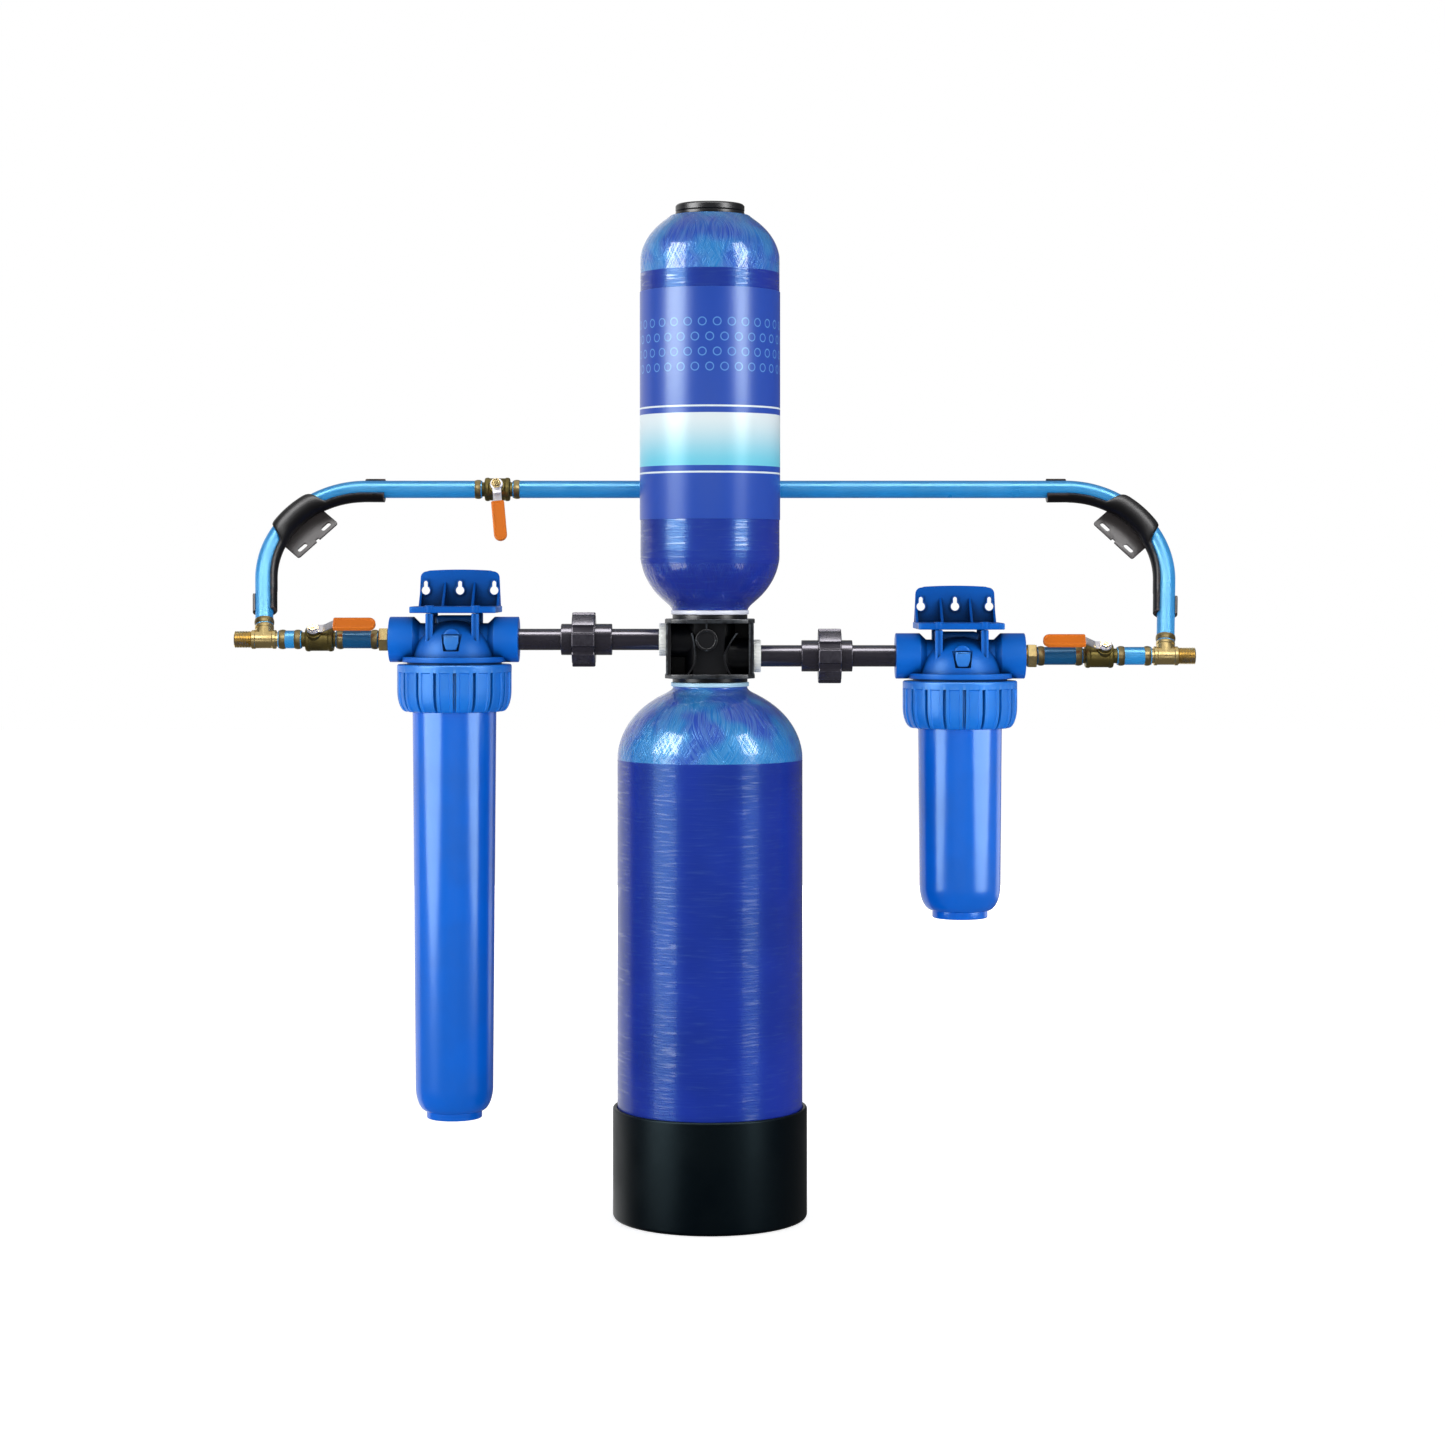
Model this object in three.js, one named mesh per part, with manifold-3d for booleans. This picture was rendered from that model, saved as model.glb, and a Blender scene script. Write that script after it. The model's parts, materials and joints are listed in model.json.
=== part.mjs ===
// Whole house water filter: two stacked media tanks in a boot, an in and out manifold between them, a filter
// housing on each side, isolating valves, and a bypass pipe that runs behind the upper tank.
// Millimetres, +Z up, and the front faces -Y.
// The origin is the middle of the boot's underside, on the tanks' axis.

import * as THREE from 'three';
import { mergeVertices } from 'three/addons/utils/BufferGeometryUtils.js';
import Module from 'manifold-3d';

const wasm = await Module();
wasm.setup();

// Clearances and counts that every piece shares
const fitGap = 0.3;
const cutOverrun = 1;
const tankSides = 28;
const mediaSides = 14;
const housingSides = 20;
const pipeSides = 12;
const ringNutSides = 16;
const fittingSides = 10;
const pexSides = 10;
const smallSides = 8;

// Boot
const bootWall = 5.4;
const bootHeight = 136.8;
const bootFloor = 5;
const bootLipRadius = 5;

// Lower tank
const lowerTankRadius = 114.6;
const lowerTankSeamZ = 566;
const lowerDomeRise = 93;
const lowerKnuckleRadius = 45;
const tankWall = 5;
const tankNeckRadius = 45;
const tankNeckBore = 38.5;
const lowerNeckLength = 5.07;
const lowerMediaHeadroom = 46;

// Riser tubes and their baskets
const riserRadius = 13.35;
const riserWall = 2;
const basketRadius = 24;
const basketHeight = 60;

// Gaskets, manifold
const gasketThickness = 5.4;
const gasketRadius = 48.3;
const gasketBore = 40;
const manifoldCollarRadius = 46.5;
const manifoldCollarHeight = 5;
const manifoldHeight = 78;
const manifoldPlateThickness = 5.2;
const manifoldPlateWidth = 110.6;
const manifoldPlateCorner = 26.8;
const manifoldBodyWidth = 108;
const manifoldWallThickness = 6;
const manifoldWallDepth = 76;
const manifoldCoreRadius = 31;
const manifoldColumnWidth = 38;
const manifoldColumnReach = 49;
const manifoldBossRadius = 13.4;
const manifoldBossReach = 53;
const manifoldBossOffset = -4;
const manifoldNeckRadius = 37.6;
const manifoldNeckBore = 33;
const manifoldNeckLength = 14;
const manifoldPortSleeve = 22;
const manifoldSocketDepth = 20;
const waterwayRadius = 9;
const transferRadius = 5.5;
const transferOffset = 17.5;
const webThickness = 2.4;

// Upper tank, its label and its top
const upperTankRadius = 86.2;
const upperNeckLength = 4.5;
const upperLowerDomeRise = 79;
const upperCylinderHeight = 358;
const upperTopDomeRise = 68;
const upperTopNeckRadius = 45;
const upperTopBore = 35.5;
const upperMediaHeadroom = 58;
const mediaFootRadius = 58;
const mediaFootGap = 3;
const labelFoot = 39.52;
const labelHeight = 282;
const labelThickness = 0.5;
const neckRingRadius = 42.8;
const neckRingBore = 34.6;
const neckRingHeight = 14;
const neckRingChamfer = 2;
const plugLength = 26;
const plugRecess = 4;
const plugRecessRadius = 20;

// Pipes to the housings, measured outwards from the tanks' axis, and up from the manifold's underside
const inletRise = 52.3;
const outletRise = 31.9;
const pvcRadius = 13.35;
const pvcWall = 3.9;
const collarRadius = 20.2;
const collarThickness = 8.6;
const inletUnionStart = 121.3;
const outletUnionStart = 113.2;
const unionBarrelRadius = 19.5;
const unionBodyBarrel = 20.5;
const unionThreadRadius = 28.5;
const unionThreadLength = 17;
const unionNutRadius = 32;
const unionLugRadius = 34.5;
const unionLugCount = 8;
const unionLugTopShare = 0.25;
const unionLugFootShare = 0.4;
const unionNutLength = 28.3;
const unionNutEndWall = 4.6;
const unionFlangeRadius = 26;
const unionTailBarrel = 14;
const pipeInsertion = 16;

// Filter housings: heights are measured from the port axis
const inletHousingX = 316.8;
const outletHousingX = 309.8;
const portHalfLength = 80;
const portRadius = 28.2;
const portStraight = 30;
const portChamfer = 8;
const portNeckRadius = 20.4;
const portBoreDepth = 20;
const headDomeRadius = 52;
const headDomeTop = 23.7;
const headDomeBase = -21;
const headFlangeRadius = 65;
const headFlangeThickness = 7;
const headSkirtRadius = 58.5;
const headSkirtBottom = -60.3;
const headCavityRadius = 47;
const headCavityTop = -22;
const headBossRadius = 15;
const headBossBottom = -38;
const headPassageRadius = 8;
const headBackWidth = 48;
const headBackTop = 29.8;
const headBackReach = 44;
const headPostWidth = 9.6;
const headPostOffset = 28.2;
const headPostDepth = 30;
const headPostFoot = -10;
const sealHeight = 3;
const sealInnerRadius = 51;
const sealOuterRadius = 55;
const sumpFlangeRadius = 58.5;
const sumpFlangeThickness = 7.8;
const sumpTopRadius = 52;
const sumpWall = 3.8;
const inletSumpBottom = -592;
const outletSumpBottom = -324;
const inletSumpFootRadius = 48;
const outletSumpFootRadius = 50;
const sumpKnuckleRise = 30;
const footRingRadius = 34.3;
const footRingWall = 4;
const footRingHeight = 9;
const cartridgeRadius = 31.5;
const cartridgeBore = 14;
const inletCartridgeBottom = -548;
const outletCartridgeBottom = -299;
const seatRadius = 20;
const seatNubRadius = 12;
const seatNubHeight = 9;
const ringNutRadius = 70.8;
const ringNutTop = -30.4;
const ringNutBottom = -88.8;
const ringNutTopChamfer = 2.3;
const ringNutStraight = 32;
const ringNutFootRadius = 60;

// Relief button in the head's dome
const reliefZ = -3.3;
const reliefRecessWidth = 25.3;
const reliefRecessHeight = 21;
const reliefRecessReach = 38;
const buttonWidth = 18.2;
const buttonHeight = 18.2;
const buttonTaperShare = 0.75;
const buttonReach = 50;
const buttonThickness = 8.6;
const buttonStemRadius = 3.4;
const buttonStemLength = 9;

// Wall bracket
const bracketShelfBottom = 33;
const bracketShelfThickness = 8;
const bracketShelfOverhang = 1;
const bracketShelfFront = 36;
const bracketShelfBow = 6;
const bracketPlateRise = 26.4;
const bracketPlateThickness = 4;
const bracketPlateCorner = 8;
const bracketBackY = 82;
const keyholeSpacing = 43.3;
const keyholeEdge = 8.7;
const keyholeZ = 60.6;
const keyholeRadius = 5.4;
const keyholeSlotWidth = 5.2;
const keyholeSlotRise = 12.1;
const bracketRibOffset = 18.5;
const bracketRibThickness = 3;
const bracketRibTop = 70;
const bracketRibReach = 26;
const bracketGussetInset = 3;
const bracketGussetReach = 18;

// Brass and PEX line, measured outwards from a housing's outer port face
const pexRadius = 11.1;
const barbRadius = 7.1;
const barbLength = 9;
const brassBore = 5.2;
const crimpRadius = 12.3;
const crimpLength = 8;
const crimpEndGap = 1;
const adapterHexWidth = 27.6;
const adapterHexLength = 11.5;
const adapterThreadRadius = 13;
const adapterThreadLength = 14;
const inletAdapterGap = 1.5;
const outletAdapterGap = 3;
const stubGap = 0.8;
const inletLongStub = 52.5;
const outletLongStub = 56.5;
const valveInnerShoulder = 3.3;
const valveOuterShoulder = 4.8;
const inletShortStub = 29;
const outletShortStub = 42.6;
const teeGap = 2.7;
const teeInnerReach = 14.8;
const teeOuterReach = 15.5;
const teeRadius = 11.8;
const teeThreadRadius = 10.5;
const teeThreadLength = 21.2;
const teeBore = 8;
const teeBranchReach = 18.7;
const shoulderRadius = 9.2;

// Ball valves
const valveInnerReach = 23.3;
const valveOuterReach = 11.4;
const bypassValveReach = 16;
const valveRadius = 15;
const valveChamfer = 2.5;
const ballRadius = 8.6;
const ballGap = 1.2;
const stemRadius = 3.6;
const bonnetRadius = 8;
const bonnetReach = 20.4;
const leverThickness = 2;
const leverWidth = 11;
const leverEyeRadius = 8.2;
const leverFlat = 12;
const leverRamp = 13;
const leverStep = 9;
const leverLength = 74;
const leverNutRadius = 6.6;
const leverNutThickness = 4.6;
const gripStart = 25.4;
const gripLength = 52.3;
const gripWidth = 16.4;
const gripThickness = 7;
const isolatingTilt = 39;
const bypassTilt = 16;
const bypassLeverLean = 6;

// Bypass pipe and its bend supports
const bypassRise = 189.1;
const bypassTankGap = 3;
const bypassValveX = -271;
const bendRadius = 120;
const bendSteps = 6;
const legTilt = 4.5;
const supportWall = 4;
const supportFrontAngle = 55;
const supportBackAngle = -90;
const supportClipAngle = -205;
const supportSaddleAngle = 165;
const supportSectionStep = 37;
const supportLegReach = 46;
const supportRunReach = 25;
const supportClipLength = 28;
const saddleFirstStep = 2;
const saddleLastStep = 4;
const mountPlateDistance = 77.6;
const mountPlateWidth = 69;
const mountPlateThickness = 3;
const mountSlotOffset = 20.6;
const mountSlotInset = 7.6;
const mountSlotLength = 14.6;
const mountSlotWidth = 5.7;
const mountNotchWidth = 5;
const mountNotchDepth = 3;

// Heights and places that follow from the sizes above
const bootRadius = lowerTankRadius + fitGap + bootWall;
const lowerTankFloorZ = bootFloor + fitGap;
const lowerNeckTopZ = lowerTankSeamZ + lowerNeckLength
  + lowerDomeRise * Math.sin(Math.acos(tankNeckRadius / lowerTankRadius));
const manifoldBottomZ = lowerNeckTopZ + gasketThickness + 2 * fitGap;
const inletZ = manifoldBottomZ + inletRise;
const outletZ = manifoldBottomZ + outletRise;
const bypassZ = inletZ + bypassRise;
const manifoldTopZ = manifoldBottomZ + manifoldCollarHeight + manifoldHeight;
const lowerPlateZ = manifoldBottomZ + manifoldCollarHeight;
const upperPlateZ = manifoldTopZ - manifoldCollarHeight;
const upperTankBottomZ = manifoldTopZ + gasketThickness + 2 * fitGap;
const upperBeltZ = upperTankBottomZ + upperNeckLength
  + upperLowerDomeRise * Math.sin(Math.acos(tankNeckRadius / upperTankRadius));
const upperShoulderZ = upperBeltZ + upperCylinderHeight;
const upperTankTopZ = upperShoulderZ
  + upperTopDomeRise * Math.sin(Math.acos(upperTopNeckRadius / upperTankRadius));
const labelBottomZ = upperBeltZ + labelFoot;
const labelTopZ = labelBottomZ + labelHeight;
const bypassY = upperTankRadius + fitGap + labelThickness + bypassTankGap + pexRadius;
const leverPlane = bonnetReach + fitGap;
const bracketPlateWidth = 2 * (keyholeSpacing + keyholeEdge);
const bracketPlateTop = keyholeZ + bracketPlateRise;
const bracketWidth = bracketPlateWidth + 2 * bracketShelfOverhang;
const bracketGussetOffset = bracketPlateWidth / 2 - bracketGussetInset;
const keyholeSlotTop = keyholeZ + keyholeSlotRise;

const degree = Math.PI / 180;
const finishes = {
  boot: [0x070b14, 0.55, 0],
  tank: [0x2b3698, 0.3, 0],
  media: [0x4a4640, 0.95, 0],
  black: [0x0c0f12, 0.45, 0],
  gasket: [0xbccaee, 0.5, 0],
  label: [0x2038a4, 0.3, 0],
  pvc: [0x3c3841, 0.4, 0],
  union: [0x555a62, 0.5, 0],
  collar: [0xc8d2c8, 0.5, 0],
  head: [0x145abe, 0.4, 0],
  ringNut: [0x3c8ceb, 0.4, 0],
  sump: [0x186ad6, 0.15, 0],
  seal: [0x101010, 0.7, 0],
  cartridge: [0xe8e6dc, 0.9, 0],
  pex: [0x3c96d7, 0.3, 0],
  brass: [0x96824a, 0.35, 1],
  steel: [0xb8bcc0, 0.3, 1],
  vinyl: [0xdc7632, 0.5, 0],
  support: [0x17151a, 0.55, 0],
};

// A closed geometry as a solid: shared corners are merged and the faces turned to point out
function solid(geometry) {
  const bare = geometry.clone();
  bare.deleteAttribute('normal');
  bare.deleteAttribute('uv');
  const merged = mergeVertices(bare);
  const corners = Array.from(merged.index.array);
  const faces = [];
  for (let i = 0; i < corners.length; i += 3) {
    const [a, b, c] = corners.slice(i, i + 3);
    if (a !== b && b !== c && c !== a) faces.push([a, b, c]);
  }
  const places = merged.attributes.position;
  const at = (index) => new THREE.Vector3().fromBufferAttribute(places, index);
  const volume = faces.reduce((sum, [a, b, c]) => sum + at(a).dot(at(b).cross(at(c))), 0);
  const outward = volume < 0 ? faces.map(([a, b, c]) => [a, c, b]) : faces;
  return new wasm.Manifold(new wasm.Mesh({
    numProp: 3,
    vertProperties: new Float32Array(places.array),
    triVerts: new Uint32Array(outward.flat()),
  }));
}

function join(...pieces) {
  return pieces.map(asSolid).reduce((whole, piece) => whole.add(piece));
}

function cut(base, ...tools) {
  return tools.map(asSolid).reduce((rest, tool) => rest.subtract(tool), asSolid(base));
}

function asSolid(piece) {
  return piece.isBufferGeometry ? solid(piece) : piece;
}

// A named mesh with a material of its own
function addPart(parent, name, shape, finish) {
  const cutMesh = asSolid(shape).getMesh();
  const geometry = new THREE.BufferGeometry();
  geometry.setAttribute('position', new THREE.BufferAttribute(Float32Array.from(cutMesh.vertProperties), 3));
  geometry.setIndex(new THREE.BufferAttribute(Uint32Array.from(cutMesh.triVerts), 1));
  geometry.computeVertexNormals();
  const [color, roughness, metalness] = finishes[finish];
  const mesh = new THREE.Mesh(geometry, new THREE.MeshStandardMaterial({ color, roughness, metalness }));
  mesh.name = name;
  parent.add(mesh);
  return mesh;
}

// A profile of [radius, height] points turned about the Z axis
function turned(profile, sides) {
  const points = profile.map(([radius, height]) => new THREE.Vector2(radius, height));
  return new THREE.LatheGeometry(points, sides).rotateX(90 * degree);
}

// A closed ring profile, which ends where it starts
function turnedRing(profile, sides) {
  return turned([...profile, profile[0]], sides);
}

// A plain rod along +Z, from one height to another
function rod(radius, from, to, sides) {
  return turned([[0, from], [radius, from], [radius, to], [0, to]], sides);
}

// Turns a shape that points along +Z so that it points outwards along X, to the left for -1
function outwards(geometry, side) {
  return geometry.rotateY(side * 90 * degree);
}

function block(width, depth, height, x, y, z) {
  return new THREE.BoxGeometry(width, depth, height).translate(x, y, z);
}

function prism(shape, depth, curveSegments = 3) {
  return new THREE.ExtrudeGeometry(shape, { depth, bevelEnabled: false, curveSegments });
}

// The radius a faceted bore needs for a round piece of the given radius to fit with the usual gap
function boreFor(radius, sides, gap = fitGap) {
  return (radius + gap) / Math.cos(Math.PI / sides);
}

// Points of a quarter ellipse, from the belt to the neck; a negative rise goes down
function dome(beltRadius, beltZ, rise, neckRadius, steps) {
  const last = Math.acos(neckRadius / beltRadius);
  return Array.from({ length: steps + 1 }, (_, i) => [
    beltRadius * Math.cos((last * i) / steps),
    beltZ + rise * Math.sin((last * i) / steps),
  ]);
}

// Points of an arc, from one angle to another in degrees
function arc(centreX, centreY, radius, from, to, steps) {
  return Array.from({ length: steps + 1 }, (_, i) => {
    const angle = (from + ((to - from) * i) / steps) * degree;
    return [centreX + radius * Math.cos(angle), centreY + radius * Math.sin(angle)];
  });
}

function outline(points) {
  return new THREE.Shape(points.map(([x, y]) => new THREE.Vector2(x, y)));
}

// A rectangle with round corners, given by its four sides
function roundedRectangle(left, right, bottom, top, corner) {
  return outline([
    ...arc(right - corner, bottom + corner, corner, -90, 0, 3),
    ...arc(right - corner, top - corner, corner, 0, 90, 3),
    ...arc(left + corner, top - corner, corner, 90, 180, 3),
    ...arc(left + corner, bottom + corner, corner, 180, 270, 3),
  ]);
}

// A slot with round ends along its first axis
function slotOutline(centreX, centreY, length, width) {
  const reach = (length - width) / 2;
  return outline([
    ...arc(centreX + reach, centreY, width / 2, -90, 90, 4),
    ...arc(centreX - reach, centreY, width / 2, 90, 270, 4),
  ]);
}

function makeBoot() {
  const innerRadius = boreFor(lowerTankRadius, tankSides);
  return turned([
    [0, 0],
    [bootRadius, 0],
    ...arc(bootRadius - bootLipRadius, bootHeight - bootLipRadius, bootLipRadius, 0, 90, 2),
    [innerRadius, bootHeight],
    [innerRadius, bootFloor],
    [0, bootFloor],
  ], tankSides);
}

function makeLowerTank() {
  const innerRadius = lowerTankRadius - tankWall;
  const centre = lowerTankRadius - lowerKnuckleRadius;
  const knuckleZ = lowerTankFloorZ + lowerKnuckleRadius;
  return turned([
    [0, lowerTankFloorZ],
    ...arc(centre, knuckleZ, lowerKnuckleRadius, -90, 0, 3),
    ...dome(lowerTankRadius, lowerTankSeamZ, lowerDomeRise, tankNeckRadius, 5),
    [tankNeckRadius, lowerNeckTopZ],
    [tankNeckBore, lowerNeckTopZ],
    ...dome(innerRadius, lowerTankSeamZ, lowerDomeRise - tankWall, tankNeckBore, 3).reverse(),
    ...arc(centre, knuckleZ, lowerKnuckleRadius - tankWall, 0, -90, 3),
    [0, lowerTankFloorZ + tankWall],
  ], tankSides);
}

function makeLowerMedia() {
  const floorZ = lowerTankFloorZ + tankWall + fitGap;
  const radius = lowerTankRadius - tankWall - fitGap;
  const corner = lowerKnuckleRadius - tankWall;
  const basketBore = boreFor(basketRadius, mediaSides);
  const basketTop = floorZ + basketHeight + fitGap;
  const mediaTop = lowerTankSeamZ - lowerMediaHeadroom;
  return turnedRing([
    [basketBore, floorZ],
    ...arc(radius - corner, floorZ + corner, corner, -90, 0, 3),
    [radius, mediaTop],
    [boreFor(riserRadius, mediaSides), mediaTop],
    [boreFor(riserRadius, mediaSides), basketTop],
    [basketBore, basketTop],
  ], mediaSides);
}

function makeLowerRiser() {
  const floorZ = lowerTankFloorZ + tankWall + fitGap;
  const topZ = lowerPlateZ + manifoldPlateThickness;
  const bore = riserRadius - riserWall;
  return turned([
    [0, floorZ],
    [basketRadius, floorZ],
    [basketRadius, floorZ + basketHeight],
    [riserRadius, floorZ + basketHeight],
    [riserRadius, topZ],
    [bore, topZ],
    [bore, floorZ + riserWall],
    [0, floorZ + riserWall],
  ], fittingSides);
}

function makeGasket(bottomZ) {
  return turnedRing([
    [gasketBore, bottomZ],
    [gasketRadius, bottomZ],
    [gasketRadius, bottomZ + gasketThickness],
    [gasketBore, bottomZ + gasketThickness],
  ], housingSides);
}

// The manifold's collar and threaded neck, which point away from its plate; up is 1 or -1
function manifoldNeck(plateZ, up) {
  const faceZ = plateZ + up * manifoldCollarHeight;
  const tipZ = faceZ + up * (gasketThickness + manifoldNeckLength);
  return turnedRing([
    [manifoldNeckBore, plateZ - up * cutOverrun],
    [manifoldCollarRadius, plateZ - up * cutOverrun],
    [manifoldCollarRadius, faceZ],
    [manifoldNeckRadius, faceZ],
    [manifoldNeckRadius, tipZ],
    [manifoldNeckBore, tipZ],
  ], housingSides);
}

function manifoldPlate(bottomZ) {
  const half = manifoldPlateWidth / 2;
  return prism(roundedRectangle(-half, half, -half, half, manifoldPlateCorner), manifoldPlateThickness)
    .translate(0, 0, bottomZ);
}

// A port's sleeve from the core to the side wall
function manifoldSleeve(side, z) {
  return outwards(rod(manifoldPortSleeve, 0, manifoldBodyWidth / 2, pipeSides), side).translate(0, 0, z);
}

// A port's socket for the pipe, and the waterway from it to the core
function manifoldPortBore(side, z) {
  const half = manifoldBodyWidth / 2;
  const socket = rod(boreFor(pvcRadius, pipeSides), half - manifoldSocketDepth, half + cutOverrun, pipeSides);
  const waterway = rod(waterwayRadius, 0, half, fittingSides);
  return join(outwards(socket, side), outwards(waterway, side)).translate([0, 0, z]);
}

function makeManifold() {
  const bodyBottom = lowerPlateZ + manifoldPlateThickness;
  const bodyTop = upperPlateZ - manifoldPlateThickness;
  const bodyHeight = bodyTop - bodyBottom + 2 * cutOverrun;
  const middleZ = (bodyBottom + bodyTop) / 2;
  const wallX = (manifoldBodyWidth - manifoldWallThickness) / 2;
  const walls = [-1, 1].map((side) => (
    block(manifoldWallThickness, manifoldWallDepth, bodyHeight, side * wallX, 0, middleZ)));
  const column = block(
    manifoldColumnWidth, manifoldColumnReach, bodyHeight, 0, -manifoldColumnReach / 2, middleZ);
  const boss = rod(manifoldBossRadius, 0, manifoldBossReach, pipeSides)
    .rotateX(90 * degree).translate(manifoldBossOffset, 0, inletZ);
  const body = join(
    manifoldPlate(lowerPlateZ),
    manifoldPlate(bodyTop),
    ...walls,
    rod(manifoldCoreRadius, lowerPlateZ, upperPlateZ, pipeSides),
    column,
    boss,
    manifoldSleeve(-1, inletZ),
    manifoldSleeve(1, outletZ),
    manifoldNeck(lowerPlateZ, -1),
    manifoldNeck(upperPlateZ, 1),
  );
  const webZ = (inletZ + outletZ) / 2;
  const riserBore = boreFor(riserRadius, fittingSides);
  const transfers = [[-1, -1], [-1, 1], [1, -1], [1, 1]].map(([x, y]) => (
    rod(transferRadius, lowerPlateZ - cutOverrun, upperPlateZ + cutOverrun, smallSides)
      .translate(x * transferOffset, y * transferOffset, 0)));
  return cut(
    body,
    rod(riserBore, lowerPlateZ - cutOverrun, webZ - webThickness / 2, fittingSides),
    rod(riserBore, webZ + webThickness / 2, upperPlateZ + cutOverrun, fittingSides),
    manifoldPortBore(-1, inletZ),
    manifoldPortBore(1, outletZ),
    ...transfers,
  );
}

function makeUpperTank() {
  const innerRadius = upperTankRadius - tankWall;
  return turnedRing([
    [tankNeckBore, upperTankBottomZ],
    [tankNeckRadius, upperTankBottomZ],
    ...dome(upperTankRadius, upperBeltZ, -upperLowerDomeRise, tankNeckRadius, 5).reverse(),
    ...dome(upperTankRadius, upperShoulderZ, upperTopDomeRise, upperTopNeckRadius, 5),
    [upperTopBore, upperTankTopZ],
    ...dome(innerRadius, upperShoulderZ, upperTopDomeRise - tankWall, upperTopBore, 3).reverse(),
    ...dome(innerRadius, upperBeltZ, tankWall - upperLowerDomeRise, tankNeckBore, 3),
  ], tankSides);
}

function makeUpperMedia() {
  const radius = upperTankRadius - tankWall - fitGap;
  const bore = boreFor(riserRadius, mediaSides);
  const footShare = mediaFootRadius / radius;
  const footDrop = (upperLowerDomeRise - tankWall) * Math.sqrt(1 - footShare * footShare);
  const mediaTop = upperShoulderZ - upperMediaHeadroom;
  const footZ = upperBeltZ - footDrop + mediaFootGap;
  return turnedRing([
    [bore, footZ],
    [mediaFootRadius, footZ],
    [radius, upperBeltZ],
    [radius, mediaTop],
    [bore, mediaTop],
  ], mediaSides);
}

function makeUpperRiser() {
  const bottomZ = upperPlateZ - manifoldPlateThickness;
  const topZ = upperTankTopZ - plugLength + neckRingHeight - fitGap;
  const bore = riserRadius - riserWall;
  return turned([
    [0, topZ],
    [basketRadius, topZ],
    [basketRadius, topZ - basketHeight],
    [riserRadius, topZ - basketHeight],
    [riserRadius, bottomZ],
    [bore, bottomZ],
    [bore, topZ - riserWall],
    [0, topZ - riserWall],
  ], fittingSides);
}

function makeNeckRing() {
  const bottomZ = upperTankTopZ + fitGap;
  const topZ = bottomZ + neckRingHeight;
  return turnedRing([
    [neckRingBore, bottomZ],
    [neckRingRadius, bottomZ],
    [neckRingRadius, topZ - neckRingChamfer],
    [neckRingRadius - neckRingChamfer, topZ],
    [neckRingBore, topZ],
  ], housingSides);
}

function makeTopPlug() {
  const topZ = upperTankTopZ + neckRingHeight - neckRingChamfer;
  const radius = neckRingBore * Math.cos(Math.PI / housingSides) - fitGap;
  return turned([
    [0, topZ - plugLength + neckRingChamfer],
    [radius, topZ - plugLength + neckRingChamfer],
    [radius, topZ],
    [plugRecessRadius, topZ],
    [plugRecessRadius, topZ - plugRecess],
    [0, topZ - plugRecess],
  ], housingSides);
}

function makeLabel() {
  const innerRadius = upperTankRadius + fitGap;
  return turnedRing([
    [innerRadius, labelBottomZ],
    [innerRadius + labelThickness, labelBottomZ],
    [innerRadius + labelThickness, labelTopZ],
    [innerRadius, labelTopZ],
  ], tankSides);
}

// The pale collar round the pipe, against the manifold's side
function makeCollar(side) {
  const start = manifoldBodyWidth / 2 + fitGap;
  const bore = boreFor(pvcRadius, pipeSides);
  return outwards(turnedRing([
    [bore, start],
    [collarRadius, start],
    [collarRadius, start + collarThickness],
    [bore, start + collarThickness],
  ], pipeSides), side);
}

// The pipe out of the manifold with the union's threaded body on its end
function makeUnionBody(side, unionStart) {
  const bore = pvcRadius - pvcWall;
  const pipeStart = manifoldBodyWidth / 2 - manifoldSocketDepth + fitGap;
  const barrelEnd = unionStart + unionBodyBarrel;
  return outwards(turnedRing([
    [bore, pipeStart],
    [pvcRadius, pipeStart],
    [pvcRadius, unionStart],
    [unionBarrelRadius, unionStart],
    [unionBarrelRadius, barrelEnd],
    [unionThreadRadius, barrelEnd],
    [unionThreadRadius, barrelEnd + unionThreadLength],
    [bore, barrelEnd + unionThreadLength],
  ], pipeSides), side);
}

// The union's tail with its flange inside the nut, and the pipe into the housing
function makeUnionTail(side, unionStart, housingX) {
  const bore = pvcRadius - pvcWall;
  const flangeStart = unionStart + unionBodyBarrel + unionThreadLength + fitGap;
  const nutEnd = unionStart + unionBodyBarrel + fitGap + unionNutLength;
  const flangeEnd = nutEnd - unionNutEndWall - fitGap;
  const pipeEnd = housingX - portHalfLength + pipeInsertion;
  return outwards(turnedRing([
    [bore, flangeStart],
    [unionFlangeRadius, flangeStart],
    [unionFlangeRadius, flangeEnd],
    [unionBarrelRadius, flangeEnd],
    [unionBarrelRadius, nutEnd + unionTailBarrel],
    [pvcRadius, nutEnd + unionTailBarrel],
    [pvcRadius, pipeEnd],
    [bore, pipeEnd],
  ], pipeSides), side);
}

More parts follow.
